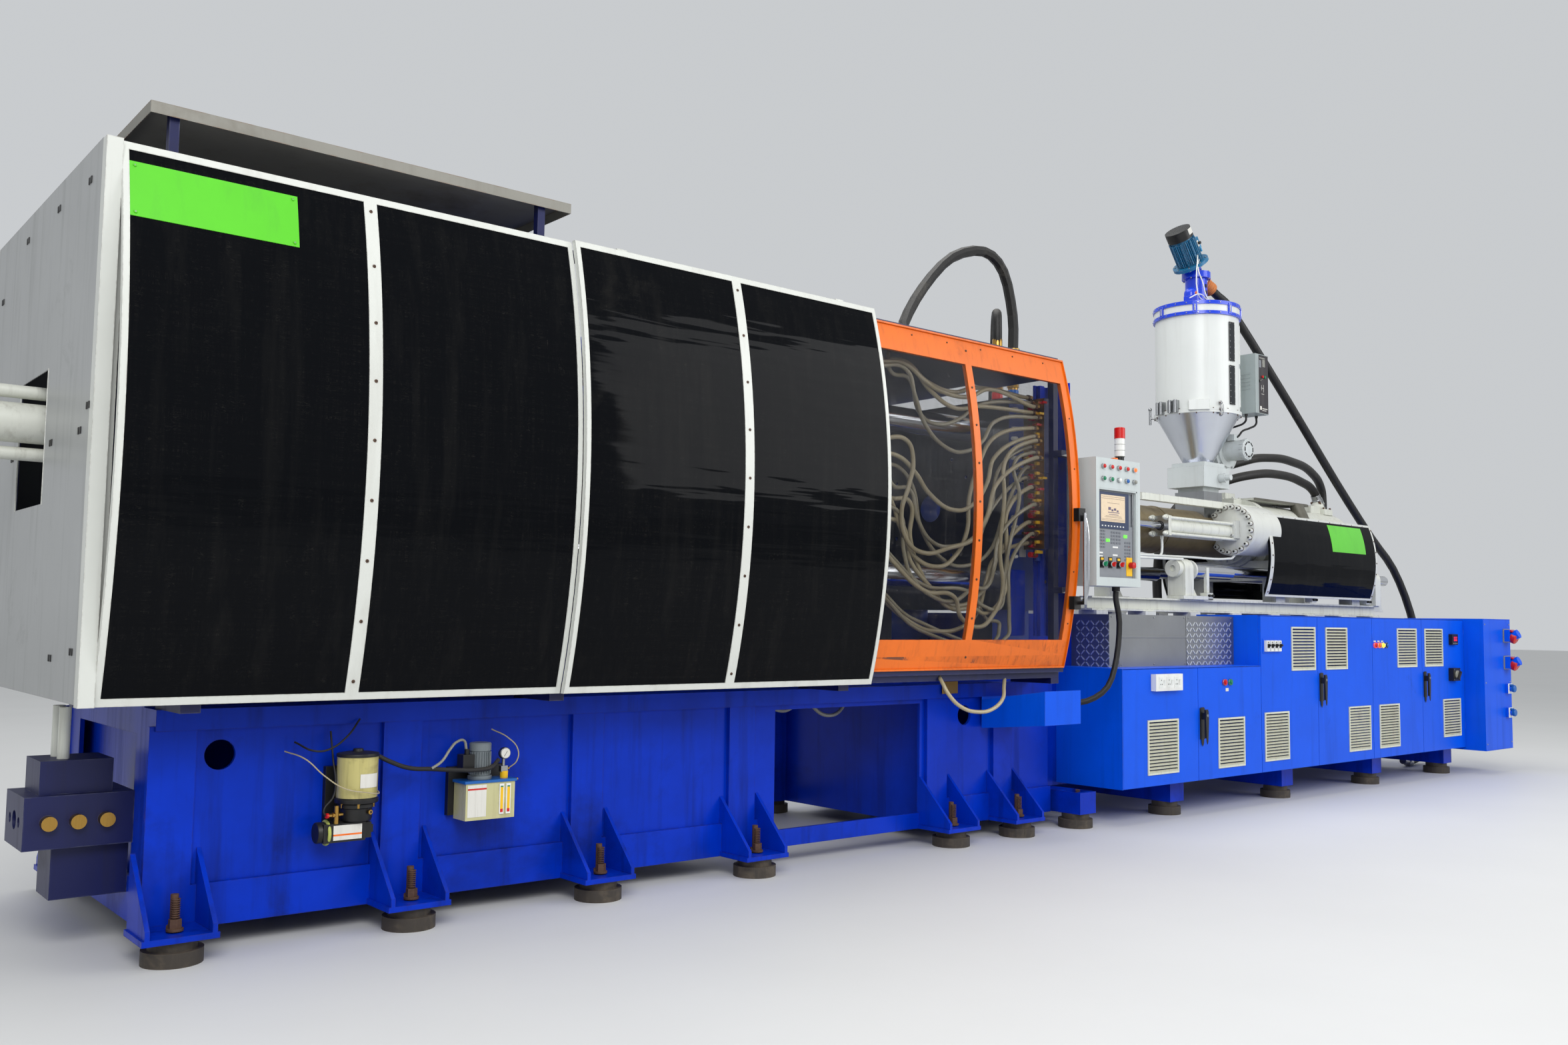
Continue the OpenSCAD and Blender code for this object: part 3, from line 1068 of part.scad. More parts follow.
module control_panel() color("gainsboro") {
    difference() {
        union() {
            slab(panel_x0, panel_x1, -panel_front, -panel_back, panel_z0, panel_z1);
            bar_z(panel_z0, panel_z1, panel_x0 + 30, -panel_back + 32, 30);
            slab(panel_x0, panel_x0 + 60, -panel_back - 1, -panel_back + 32, panel_z0, panel_z1);
        }
        bar_z(panel_z0 - 1, panel_z1 + 1, panel_x0 + 30, -panel_back + 32, 18 + run_gap);
        slab(panel_x0 + 35, panel_x1 - 35, -panel_front - 1, -panel_front + 22, panel_z0 + 60,
            panel_z1 - 210);
        slab(panel_x0 + 55, panel_x1 - 55, -panel_front + 21, -panel_front + 30, panel_z1 - 460,
            panel_z1 - 230);
        bar_y(-panel_front + 20, -panel_front + 60, panel_x1 - 105, panel_z0 + 150, 11 + seat_gap);
    }
    for (k = [0:4]) for (r = [0:1]) bar_y(-panel_front - 16, -panel_front + 1, panel_x0 + 75 + 90 * k,
        panel_z1 - 60 - 85 * r, 15);
    for (k = [0:2]) bar_y(-panel_front - 4, -panel_front + 24, panel_x0 + 90 + 95 * k, panel_z0 + 150, 17);
    bar_z(panel_z0 - 30, panel_z0 + 1, panel_x0 + 345, -guard_y - 90, 28);
    bar_z(panel_z1, panel_z1 + 40, panel_x1 - 110, -panel_front + 90, 30);
    bar_z(panel_z1 + 39, panel_z1 + 170, panel_x1 - 110, -panel_front + 90, 36);
    bar_z(panel_z1 + 169, panel_z1 + 240, panel_x1 - 110, -panel_front + 90, 38);
    bar_z(panel_z1, panel_z1 + 22, panel_x1 - 190, -panel_front + 80, 26);
}

module emergency_stop() color("red") {
    bar_y(-panel_front - 22, -panel_front + 8, panel_x1 - 105, panel_z0 + 150, 22);
    bar_y(-panel_front + 7, -panel_front + 45, panel_x1 - 105, panel_z0 + 150, 11);
}

module water_hoses() color("dimgray") {
    for (k = [0:1]) {
        y = -380 - 150 * k;
        x = platen_x1 - 90;
        bar_z(axis_h + half_platen, axis_h + half_platen + 330, x, y, 36);
        bar_z(axis_h + half_platen + 329, axis_h + half_platen + 420, x, y, 48);
        slab(x - 60, x + 60, y - 60, y + 60, axis_h + half_platen, axis_h + half_platen + 20);
    }
    z0 = axis_h + half_platen + 419;
    hose(smooth_path([[platen_x1 - 90, -530, z0], [platen_x1 - 95, -530, z0 + 250],
        [platen_x1 - 200, -530, z0 + 560], [platen_x1 - 420, -530, z0 + 670],
        [platen_x1 - 760, -530, z0 + 560], [platen_x1 - 1080, -560, z0 + 280],
        [platen_x1 - 1330, -620, z0 - 20], [platen_x1 - 1400, -700, guard_z1 - 22]], 3), 38);
    slab(platen_x1 - 1480, platen_x1 - 1320, -track_y0 + 96, -650, guard_z1 - 54, guard_z1 - 20);
}

module panel_cable() color("black") hose(smooth_path([
    [200, -1230, 1658.1], [200, -1230, 1600], [225, -1240, 1440], [190, -1240, 1200], [100, -1230, 1000],
    [-30, -1150, 900], [-150, -1000, 880], [-170, -860, 880], [-170, -790, 880]], 4), 20);

module loader_hose() color("black") hose(smooth_path([
    [3433.65, -29.22, 4591.73], [3530, -43, 4546], [3720, -90, 4400], [4434, -240, 3620], [5373, -240, 2900],
    [6100, -240, 2380], [6600, -240, 2060], [6850, -300, 1600], [6930, -380, 1000],
    [6940, -400, 400], [6800, -420, 105], [6400, -470, 48], [6300, -480, 48]], 5), 40);

clamp_base();
levelling_mounts();
injection_base();
pump_motors();
guard_frame();
fixed_guard_frame();
fixed_guard_panels();
end_panel();
roof_panel();
rear_guards();
stationary_platen();
tie_bars();
hydraulic_manifold();
material_tray();
water_manifold();
cooling_hoses();
lubricators();
cabinet_shell();
tread_plates();
end_cabinet();
water_hoses();
carriage_base();
guide_bars();
gate_frame();
gate_window();
gate_handle();
sliding_guard_frame();
sliding_guard_panels();
tail_platen();
clamp_cylinder();
rear_link_upper();
rear_link_lower();
front_link_upper();
front_link_lower();
cross_link_upper();
cross_link_lower();
crosshead();
moving_platen();
ejector();
injection_housing();
barrel();
barrel_cover();
carriage_cylinders();
injection_cover();
hopper_barrel();
hopper_cone();
hopper_loader();
dryer_units();
injection_piston();
screw();
control_panel();
emergency_stop();
door_1();
door_2();
door_3();
door_4();
door_5();
door_6();
panel_cable();
loader_hose();
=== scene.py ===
"Dresses the injection moulding machine: finishes, fittings, hoses, stage, light and camera."

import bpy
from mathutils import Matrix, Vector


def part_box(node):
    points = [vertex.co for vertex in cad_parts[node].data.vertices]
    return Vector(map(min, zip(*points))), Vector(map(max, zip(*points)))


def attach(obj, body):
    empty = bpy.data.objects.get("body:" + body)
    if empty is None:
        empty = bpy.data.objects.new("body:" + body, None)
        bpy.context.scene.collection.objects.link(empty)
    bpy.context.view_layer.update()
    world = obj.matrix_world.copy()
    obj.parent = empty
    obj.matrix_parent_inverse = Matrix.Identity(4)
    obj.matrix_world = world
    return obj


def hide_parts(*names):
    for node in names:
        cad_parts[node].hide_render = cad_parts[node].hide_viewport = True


bl_info = {"name": "Injection moulding machine", "version": (1, 0, 0), "blender": (4, 5, 0),
    "location": "View3D > Sidebar > Machine",
    "description": "Builds the finishes and fittings of a toggle clamp injection moulding machine",
    "category": "Object"}

from math import cos, pi, radians, sin, sqrt
import bmesh
import bpy
from bpy.props import FloatProperty, FloatVectorProperty, IntProperty, PointerProperty
from mathutils import Matrix, Vector

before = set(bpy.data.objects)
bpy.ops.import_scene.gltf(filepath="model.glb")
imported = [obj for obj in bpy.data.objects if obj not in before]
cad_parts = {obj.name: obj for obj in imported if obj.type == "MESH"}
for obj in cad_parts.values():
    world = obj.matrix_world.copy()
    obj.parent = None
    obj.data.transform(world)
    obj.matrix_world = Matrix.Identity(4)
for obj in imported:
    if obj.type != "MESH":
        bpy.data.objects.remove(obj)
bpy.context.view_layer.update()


# Places shared with the part's source
AXIS_H = 2.27
BASE_X0, BASE_X1 = -5.9, .05
BASE_SIDE = -.775
GUARD_MID, ARC_R, ARC_Y = 2.18, 4.07344, 2.77644
GUARD_Z0, GUARD_Z1 = 1.06, 3.3
FIXED_X0 = -6.215
SLIDE_X0 = -4.158
GATE_X0, GATE_X1 = -2.247, -.225
GATE_Z0, GATE_Z1 = 1.13, 3.25
FIXED_IN, GATE_IN = .032, .06
END_X = -6.275
FACE_X, PLATEN_X1 = -.375, .025
TAP_X = FACE_X + .045
FLANGE_X, HOUSE_X1 = 3.695, 5.515
CYL_Y = .33
COVER_Y, COVER_ARC, COVER_MID = .5, 1.0002, 2.07
HOPPER_R = .375
THROAT_X, CONE_Z0, CONE_Z1, HOPPER_Z1 = 3.225, 2.92, 3.37, 4.25
CAB_Y = -1.14
LOW_TOP, TALL_TOP = 1.11, 1.515
COUPLING_Z = AXIS_H + .75
COVER_CENTRE = COVER_ARC - COVER_Y - .075
LOADER_LEAN = radians(-38)
LOADER_OUT = Vector((sin(LOADER_LEAN), 0, cos(LOADER_LEAN)))
LOADER_FOOT = Vector((THROAT_X, 0, HOPPER_Z1 + .43))
ELBOW_FOOT, ELBOW = Vector((THROAT_X, 0, HOPPER_Z1 + .44)), Vector((.8975, -.126, -.4226))
FAR = 99.
ANY = -FAR, FAR
CORNERS = (-1, -1), (-1, 1), (1, -1), (1, 1)
SHARP, ROUNDED = radians(38), radians(40)
LENS, SENSOR, REACH = 29.83, 36., 200.
CAMERA = -7.452, -6.6533, 1.4339
YAW, PITCH, ROLL = radians(40.321), radians(4.259), radians(.763)
DOOR_X = .399, 1.362, 2.275, 3.195, 4.185, 5.185
PANEL_X0, PANEL_X1, PANEL_Z0, PANEL_Z1, PANEL_FRONT = -.145, .365, 1.69, 2.57, -1.32
PANEL_FACE = PANEL_FRONT + .022


def guard_face(back, z):
    """Y of a curved guard's outer face at a height."""
    return ARC_Y - sqrt((ARC_R - back) ** 2 - (z - GUARD_MID) ** 2)


def shade(r, g, b):
    """Linear colour from the 0 to 255 values of a paint chart."""
    return tuple((v / 255 / 12.92 if v <= 10 else ((v / 255 + .055) / 1.055) ** 2.4 for v in (r, g, b)))


# Settings
def width(label, text, value, low, high):
    """A size setting in metres."""
    return FloatProperty(name=label, description=text, default=value, min=low, max=high, unit="LENGTH")


class MachineSizes(bpy.types.PropertyGroup):
    """Sizes of the fittings that are made here."""
    screw_head: width("Guard screw head", "Diameter of the screws in the guard strips", .017, .008, .03)
    strip_screws: IntProperty(name="Screws in a strip", description="Number of screws up each guard strip", default=9,
        min=5, max=14)
    water_hose: width("Cooling hose", "Diameter of the hoses behind the gate window", .029, .01, .04)
    panel_cable: width("Panel cable", "Diameter of the control panel's cable", .04, .02, .05)
    suction_hose: width("Suction hose", "Diameter of the hopper loader's hose", .08, .05, .09)
    pressure_hose: width("Pressure hose", "Diameter of the injection unit's rear hoses", .086, .05, .1)


def colour(label, text, *value):
    """A colour setting with its default as 0 to 255 values."""
    return FloatVectorProperty(name=label, description=text, subtype="COLOR", size=3, min=0, max=1,
        default=shade(*value))


class MachineColours(bpy.types.PropertyGroup):
    """Paints of the machine."""
    base_blue: colour("Base blue", "Paint of the machine base", 0, 50, 186)
    cabinet_blue: colour("Cabinet blue", "Paint of the cabinets", 2, 84, 222)
    platen_blue: colour("Platen blue", "Paint of the platens and links", 18, 58, 150)
    loader_blue: colour("Loader blue", "Paint of the hopper loader", 12, 62, 214)
    motor_teal: colour("Motor teal", "Paint of the loader motor", 28, 108, 150)
    gate_orange: colour("Gate orange", "Paint of the operator gate", 226, 106, 4)
    rail_white: colour("Rail white", "Paint of the guard rails and strips", 206, 208, 202)
    casting_cream: colour("Casting cream", "Paint of the injection unit", 214, 216, 206)
    hopper_white: colour("Hopper white", "Paint of the hopper", 216, 219, 216)
    sheet_grey: colour("Sheet grey", "Paint of the end and roof sheets", 158, 160, 160)
    panel_grey: colour("Panel grey", "Paint of the control panel", 188, 196, 196)
    louvre_cream: colour("Louvre cream", "Plastic of the louvres", 206, 208, 190)
    cover_khaki: colour("Barrel cover khaki", "Stained steel of the barrel cover", 132, 118, 88)
    sign_green: colour("Sign green", "Plastic of the bare signs", 88, 196, 36)


# Shader groups
def feed(tree, node, values):
    """Sets or links a node's inputs."""
    for key, value in values.items():
        if isinstance(value, bpy.types.NodeSocket):
            tree.links.new(value, node.inputs[key])
        else:
            node.inputs[key].default_value = value


def put(tree, kind, values=None, **settings):
    """Adds a node; values holds numbers or sockets for its inputs."""
    node = tree.nodes.new("ShaderNode" + kind)
    for key, value in settings.items():
        setattr(node, key, value)
    feed(tree, node, values or {})
    return node


def calc(tree, operation, a, b=0., c=0., clamp=False):
    """A Math node's value."""
    return put(tree, "Math", {0: a, 1: b, 2: c}, operation=operation, use_clamp=clamp).outputs[0]


def times(tree, a, b, clamp=False):
    return calc(tree, "MULTIPLY", a, b, clamp=clamp)


def plus(tree, a, b, clamp=False):
    return calc(tree, "ADD", a, b, clamp=clamp)


def span(tree, value, low, high, out_low=0., out_high=1.):
    """Maps a range of values to another."""
    return put(tree, "MapRange", {"Value": value, "From Min": low, "From Max": high, "To Min": out_low,
        "To Max": out_high}, clamp=True).outputs[0]


def blend_colour(tree, factor, a, b, mode="MIX"):
    """A Mix node for colours; a and b are sockets or colours."""
    node = tree.nodes.new("ShaderNodeMix")
    node.data_type, node.blend_type = "RGBA", mode
    for index, value in ((0, factor), (6, a), (7, b)):
        if isinstance(value, bpy.types.NodeSocket):
            tree.links.new(value, node.inputs[index])
        elif index == 0:
            node.inputs[0].default_value = value
        else:
            node.inputs[index].default_value = (*value[:3], 1)
    return node.outputs[2]


def start_group(name, inputs, outputs):
    """A shader group with named float inputs and outputs, and its two end nodes."""
    tree = bpy.data.node_groups.new(name, "ShaderNodeTree")
    for label, value in inputs:
        socket = tree.interface.new_socket(label, in_out="INPUT", socket_type="NodeSocketFloat")
        socket.default_value = value
    for label in outputs:
        tree.interface.new_socket(label, in_out="OUTPUT", socket_type="NodeSocketFloat")
    return tree, tree.nodes.new("NodeGroupInput").outputs, tree.nodes.new("NodeGroupOutput").inputs


def place(tree, stretch=(1, 1, 1)):
    """Object coordinates, stretched."""
    coords = tree.nodes.new("ShaderNodeTexCoord").outputs["Object"]
    return put(tree, "Mapping", {"Vector": coords, "Scale": stretch}).outputs[0]


def noise(tree, vector, scale, detail=4., rough=.6, warp=0.):
    """A Noise node's value."""
    return put(tree, "TexNoise", {"Vector": vector, "Scale": scale, "Detail": detail, "Roughness": rough,
        "Distortion": warp}).outputs[0]


def build_groups():
    """Makes the effects that more than one finish uses."""
    tree, given, out = start_group("Grime", (("Scale", 1.), ("Amount", .3), ("Streaks", .3), ("Dust", .2)),
        ("Mask", "Tone"))
    patches = noise(tree, place(tree), given["Scale"], 7., .68, .4)
    low = span(tree, given["Amount"], 0., 1., .72, .3)
    patch = put(tree, "MapRange", {"Value": patches, "From Min": low, "From Max": plus(tree, low, .22)})
    runs = noise(tree, place(tree, (9, 9, .55)), given["Scale"], 5., .62)
    run = times(tree, span(tree, runs, .52, .74), given["Streaks"])
    up = put(tree, "SeparateXYZ", {0: tree.nodes.new("ShaderNodeNewGeometry").outputs["Normal"]}).outputs[2]
    specks = noise(tree, place(tree), 26., 5., .7)
    dust = times(tree, span(tree, up, .35, .95), times(tree, given["Dust"], span(tree, specks, .25, .7, .45, 1.)))
    total = plus(tree, times(tree, patch.outputs[0], .8), plus(tree, run, dust))
    tree.links.new(times(tree, total, 1., clamp=True), out["Mask"])
    tree.links.new(span(tree, noise(tree, place(tree), 3.1, 5., .6), .3, .7), out["Tone"])
    tree, given, out = start_group("Edge wear", (("Radius", .008), ("Amount", .5), ("Scale", 14.)), ("Mask",))
    worn = put(tree, "Bevel", {"Radius": given["Radius"]}, samples=4).outputs[0]
    flat = tree.nodes.new("ShaderNodeNewGeometry").outputs["Normal"]
    dot = put(tree, "VectorMath", {0: worn, 1: flat}, operation="DOT_PRODUCT").outputs["Value"]
    edge = span(tree, dot, .995, .86)
    breaks = span(tree, noise(tree, place(tree), given["Scale"], 6., .7), .42, .62)
    tree.links.new(times(tree, times(tree, edge, breaks), given["Amount"], clamp=True), out["Mask"])
    tree, given, out = start_group("Paint chips", (("Scale", 6.), ("Amount", .2)), ("Mask",))
    field = noise(tree, place(tree), given["Scale"], 8., .72, .6)
    broad = noise(tree, place(tree), times(tree, given["Scale"], .22), 3.)
    both = plus(tree, times(tree, field, .65), times(tree, broad, .35))
    low = span(tree, given["Amount"], 0., 1., .78, .42)
    chip = put(tree, "MapRange", {"Value": both, "From Min": low, "From Max": plus(tree, low, .012)})
    tree.links.new(chip.outputs[0], out["Mask"])
    tree, given, out = start_group("Scratches", (("Scale", 3.), ("Amount", .3)), ("Mask",))
    marks = 0.
    for stretch in ((1, 6, 60), (70, 8, 1.4), (9, 20, 30)):
        line = noise(tree, place(tree, stretch), given["Scale"], 2., .5, 1.4)
        thin = span(tree, calc(tree, "ABSOLUTE", calc(tree, "SUBTRACT", line, .5)), 0., .012, 1., 0.)
        area = span(tree, noise(tree, place(tree, stretch[::-1]), .9, 2.), .5, .68)
        marks = plus(tree, marks, times(tree, thin, area))
    tree.links.new(times(tree, marks, given["Amount"], clamp=True), out["Mask"])
    tree, given, out = start_group("Cast grain", (("Coarse", 40.), ("Fine", 300.), ("Mix", .4)), ("Height",))
    coarse = noise(tree, place(tree), given["Coarse"], 3.)
    fine = noise(tree, place(tree), given["Fine"], 2.)
    tree.links.new(plus(tree, times(tree, coarse, calc(tree, "SUBTRACT", 1., given["Mix"])),
        times(tree, fine, given["Mix"])), out["Height"])


def effect(tree, name, **values):
    """Places a shared group with its own values and returns its outputs."""
    node = put(tree, "Group", node_tree=bpy.data.node_groups[name])
    for key, value in values.items():
        node.inputs[key.replace("_", " ")].default_value = value
    return node.outputs


# Finishes
FINISHES = {}
GREASE, RUST, BARE = (28, 24, 20), (92, 48, 26), (120, 122, 124)
PALE_DUST = shade(176, 170, 156)


def blank(name):
    """An empty material with its Principled shader."""
    material = bpy.data.materials.new(name)
    material.use_nodes = True
    tree = material.node_tree
    shader = tree.nodes["Principled BSDF"]
    FINISHES[name] = material
    return tree, shader


def paint(name, tint, rough=.38, dirt=.3, soil=GREASE, streaks=.25, dust=.25, soil_scale=1.4, wear=0, under=RUST,
        chips=0., chip_scale=6., grain=.12, coarse=60., coat=0., metal=0., fade=.88, strength=.75, shine=.4):
    """Paint or bare metal with soil, worn edges, chips and grain; tint is 0 to 255 values or a setting."""
    tree, shader = blank(name)
    tint = getattr(bpy.context.scene.machine_colours, tint) if isinstance(tint, str) else shade(*tint)
    soil, under = shade(*soil), shade(*under)
    soil_out = effect(tree, "Grime", Scale=soil_scale, Amount=dirt, Streaks=streaks, Dust=dust)
    faded = tuple((min(1., v * fade) for v in tint))
    base = blend_colour(tree, soil_out["Tone"], tint, faded)
    mask = times(tree, soil_out["Mask"], strength, clamp=True)
    base = blend_colour(tree, mask, base, soil)
    lost = None
    if wear:
        lost = effect(tree, "Edge wear", Amount=wear, Scale=chip_scale * 2.2)["Mask"]
    if chips:
        chip = effect(tree, "Paint chips", Scale=chip_scale, Amount=chips)["Mask"]
        lost = chip if lost is None else calc(tree, "MAXIMUM", chip, lost)
    level = plus(tree, times(tree, mask, .3), rough)
    height = effect(tree, "Cast grain", Coarse=coarse, Fine=coarse * 6)["Height"]
    if lost is not None:
        base = blend_colour(tree, lost, base, under)
        level = plus(tree, level, times(tree, lost, .25), clamp=True)
        height = calc(tree, "SUBTRACT", height, times(tree, lost, 1.5))
    bump = put(tree, "Bump", {"Strength": grain, "Distance": .002, "Height": height}).outputs[0]
    feed(tree, shader, {"Base Color": base, "Roughness": level, "Normal": bump, "Metallic": metal,
        "Specular IOR Level": .5 if metal else shine, "Coat Weight": coat, "Coat Roughness": .12})


def acrylic(name, tint, rough=.045, specular=.05):
    """Gloss black sheet with fine dust, scratches and a slight wave."""
    tree, shader = blank(name)
    soil = effect(tree, "Grime", Scale=1.1, Amount=.22, Streaks=.22, Dust=.5)["Mask"]
    marks = effect(tree, "Scratches", Scale=1.6, Amount=.5)["Mask"]
    mask = plus(tree, times(tree, soil, .035), times(tree, marks, .05))
    base = blend_colour(tree, mask, tint, PALE_DUST)
    level = plus(tree, times(tree, soil, .12), rough)
    wave = plus(tree, noise(tree, place(tree, (.6, .6, 2.6)), 1.7, 2.),
        times(tree, noise(tree, place(tree, (.35, .35, 6.)), 2.6, 2.), .22))
    bump = put(tree, "Bump", {"Strength": .6, "Distance": .012, "Height": wave}).outputs[0]
    feed(tree, shader, {"Base Color": base, "Roughness": level, "Normal": bump, "Specular IOR Level": specular})


def clear_sheet(name, tint, cover):
    """Clear sheet with haze, dust and scratches."""
    tree, shader = blank(name)
    soil = effect(tree, "Grime", Scale=2.2, Amount=.42, Streaks=.35, Dust=.4)["Mask"]
    marks = effect(tree, "Scratches", Scale=2.4, Amount=.9)["Mask"]
    mask = plus(tree, times(tree, soil, .1), times(tree, marks, .4))
    base = blend_colour(tree, mask, tint, PALE_DUST)
    alpha = plus(tree, mask, cover, clamp=True)
    level = plus(tree, times(tree, soil, .3), .06)
    feed(tree, shader, {"Base Color": base, "Alpha": alpha, "Roughness": level, "Specular IOR Level": .12})


def glow(name, tint, strength):
    """A lit lamp or key."""
    tree, shader = blank(name)
    tone = blend_colour(tree, noise(tree, place(tree), 60., 2.), tint, tuple((v * .8 for v in tint)))
    feed(tree, shader, {"Base Color": tone, "Emission Color": tone, "Emission Strength": strength, "Roughness": .3})


def build_finishes():
    """Makes every finish of the machine."""
    paint("base paint", "base_blue", .3, .42, (6, 10, 30), .6, dust=.12, soil_scale=1.1, wear=.6, under=(44, 34, 34),
        chips=.08, chip_scale=9, grain=.16, coarse=30, fade=.74, shine=.14)
    paint("cabinet paint", "cabinet_blue", .34, .2, (10, 22, 76), dust=.12, wear=.4, under=(70, 74, 90), chips=.025,
        chip_scale=11, grain=.08, coarse=90, fade=.9, shine=.16)
    paint("platen paint", "platen_blue", .4, streaks=.4, wear=.5, under=BARE, chips=.05, grain=.3, coarse=45)
    paint("frame paint", (12, 20, 74), .42, .35, streaks=.4, wear=.4, under=BARE)
    paint("loader paint", "loader_blue", .26, .16, (20, 24, 60), .2, wear=.5, under=(190, 196, 204), chips=.03,
        chip_scale=16, coat=.3)
    paint("motor paint", "motor_teal", .34, .3, (14, 22, 30), wear=.5, under=(170, 176, 180), chips=.04,
        chip_scale=18, grain=.3)
    paint("gate paint", "gate_orange", .34, .2, (92, 44, 20), .3, dust=.2, soil_scale=3, wear=.6, under=(96, 44, 22),
        chips=.1, chip_scale=11, grain=.15, fade=.86)
    paint("gate paint worn", "gate_orange", .44, .55, (112, 50, 26), .8, dust=.3, soil_scale=4, wear=.9,
        under=(112, 66, 46), chips=.6, chip_scale=4, grain=.3, fade=.72)
    paint("rail paint", "rail_white", .3, .14, (112, 100, 84), .2, dust=.2, wear=.5, under=(92, 72, 56), chips=.03,
        chip_scale=14, fade=.95)
    paint("casting paint", "casting_cream", .36, .24, (96, 84, 62), .35, dust=.3, soil_scale=3, wear=.75,
        under=(52, 44, 38), chips=.14, chip_scale=8, grain=.35, coarse=70, fade=.92)
    paint("hopper paint", "hopper_white", .3, .1, (140, 134, 122), .2, dust=.2, wear=.4, under=(120, 116, 108),
        chips=.015, chip_scale=14, fade=.96)
    paint("sheet paint", "sheet_grey", .33, .2, (92, 90, 86), .3, dust=.2, wear=.3, under=(110, 96, 80), fade=.92)
    paint("roof paint", (138, 136, 128), .55, .4, (86, 74, 60), .2, dust=.5, wear=.8, under=(120, 80, 50), chips=.16,
        chip_scale=7, grain=.3)
    paint("panel paint", "panel_grey", .34, .12, (120, 116, 108), .15, wear=.3, under=(130, 124, 116), fade=.96)
    paint("panel face", (128, 132, 138), .4, .15, (90, 88, 86), fade=.94)
    paint("dryer paint", (158, 168, 168), .4, .2, (104, 100, 92), wear=.5, under=(110, 100, 90), grain=.2)
    paint("blower paint", (200, 206, 206), .38, .24, (120, 112, 98), .3, wear=.6, under=(90, 80, 70), chips=.05,
        chip_scale=12, grain=.25)
    paint("louvre plastic", "louvre_cream", .45, .28, (122, 112, 84), .3, dust=.6, soil_scale=5, fade=.93)
    paint("barrel cover sheet", "cover_khaki", .42, .42, (72, 60, 40), .3, dust=.3, soil_scale=2.4, wear=.5,
        under=(150, 142, 126), metal=.35, fade=.8)
    paint("black plastic", (18, 18, 19), .42, .25, (70, 66, 60), wear=.3, under=(60, 60, 60), grain=.2)
    paint("black rubber", (20, 20, 21), .5, .3, (74, 68, 60), .1, dust=.45, soil_scale=5, grain=.4, coarse=120)
    paint("hydraulic hose", (26, 25, 24), .46, .4, (88, 84, 76), .1, dust=.5, soil_scale=6, grain=.7, coarse=90)
    paint("white plastic", (224, 225, 222), .32, .14, (150, 144, 130), fade=.96)
    paint("cream hose", (172, 160, 128), .28, .3, (104, 88, 60), .1, dust=.2, soil_scale=5, coat=.3, fade=.82)
    paint("grey hose", (136, 136, 128), .3, .3, (80, 74, 62), soil_scale=5, coat=.3)
    paint("bare steel", (166, 168, 170), .3, .3, (80, 66, 50), .2, dust=.3, metal=1., coarse=150, fade=.84)
    paint("lozenge steel", (222, 226, 228), .24, .1, streaks=.1, dust=.1, metal=.6)
    paint("plate steel", (148, 150, 152), .36, .2, (110, 104, 94), .1, dust=.3, metal=.85, grain=.1, fade=.86)
    paint("old steel", (104, 102, 92), .46, .3, (60, 54, 44), .2, wear=.5, under=BARE, metal=.35)
    paint("cone steel", (208, 212, 220), .24, .08, (132, 130, 126), .1, dust=.2, metal=.95, grain=.06, fade=.92)
    paint("chrome", (206, 208, 212), .14, .2, (90, 80, 62), .15, metal=1., grain=.04, coarse=200, fade=.93,
        strength=.5)
    paint("aluminium trim", (176, 178, 180), .3, .2, (100, 96, 90), metal=.9)
    paint("brass", (176, 138, 70), .3, .3, (70, 52, 26), metal=1., soil_scale=20)
    paint("rusty steel", (92, 66, 50), .62, .5, (52, 34, 24), metal=.3, soil_scale=12, grain=.5)
    paint("foot pad", (58, 52, 46), .6, .5, (112, 100, 84), dust=.5, wear=.4, under=(110, 96, 80), soil_scale=6,
        grain=.4)
    paint("motor grey", (110, 118, 122), .4, .35, wear=.5, under=BARE, grain=.3)
    paint("red plastic", (196, 24, 18), .3, .1)
    paint("green plastic", (18, 124, 84), .3, .1)
    paint("blue plastic", (22, 92, 168), .3, .1)
    paint("yellow plastic", (236, 186, 22), .34, .2, (120, 84, 20), soil_scale=10)
    paint("orange plastic", (240, 112, 24), .3, .1)
    paint("bezel", (38, 52, 84), .35, .1, (90, 90, 94))
    paint("sign sheet", "sign_green", .3, .1, (60, 130, 40), fade=.92, coat=.3)
    paint("tape", (196, 118, 58), .5, .5, (120, 70, 40), soil_scale=9, grain=.8)
    paint("reservoir", (188, 178, 112), .3, .5, (96, 84, 44), .4, soil_scale=7, coat=.3, fade=.86)
    paint("bare label", (216, 214, 206), .45, .25, (130, 120, 104), soil_scale=9)
    paint("grease soil", (16, 14, 14), .3, .4, grain=.6, coarse=50)
    paint("screen line", (120, 104, 96), .4, 0, streaks=0, dust=0)
    paint("screen mark", (104, 92, 116), .4, 0, streaks=0, dust=0)
    paint("key grey", (104, 108, 116), .4, .1)
    paint("clear hose", (150, 142, 118), .22, .45, (92, 76, 44), .1, dust=.1, soil_scale=4, coat=.5, fade=.8)
    paint("tie green", (176, 184, 92), .5)
    paint("oil tank", (190, 186, 138), .24, .4, (110, 96, 50), .4, soil_scale=7, coat=.4, fade=.86)
    paint("motor box", (64, 148, 196), .34, .2, (20, 40, 60), wear=.3, under=(190, 196, 204), chips=.02)
    paint("panel black", (46, 42, 46), .35, .15, (90, 86, 84))
    acrylic("guard acrylic", (.0028, .0032, .0042))
    acrylic("dark glass", shade(26, 30, 34), .08, .5)
    # Painted shade: the near-black finish of the sheets that darken the mould space.
    paint("dark sheet", (16, 20, 30), .5, .5, (22, 34, 30), .3, dust=.1)
    clear_sheet("window sheet", shade(16, 20, 34), .2)
    glow("screen", shade(206, 186, 158), .35)
    glow("green lamp", shade(96, 255, 60), 1.2)
    glow("orange lamp", shade(255, 96, 30), 1.3)
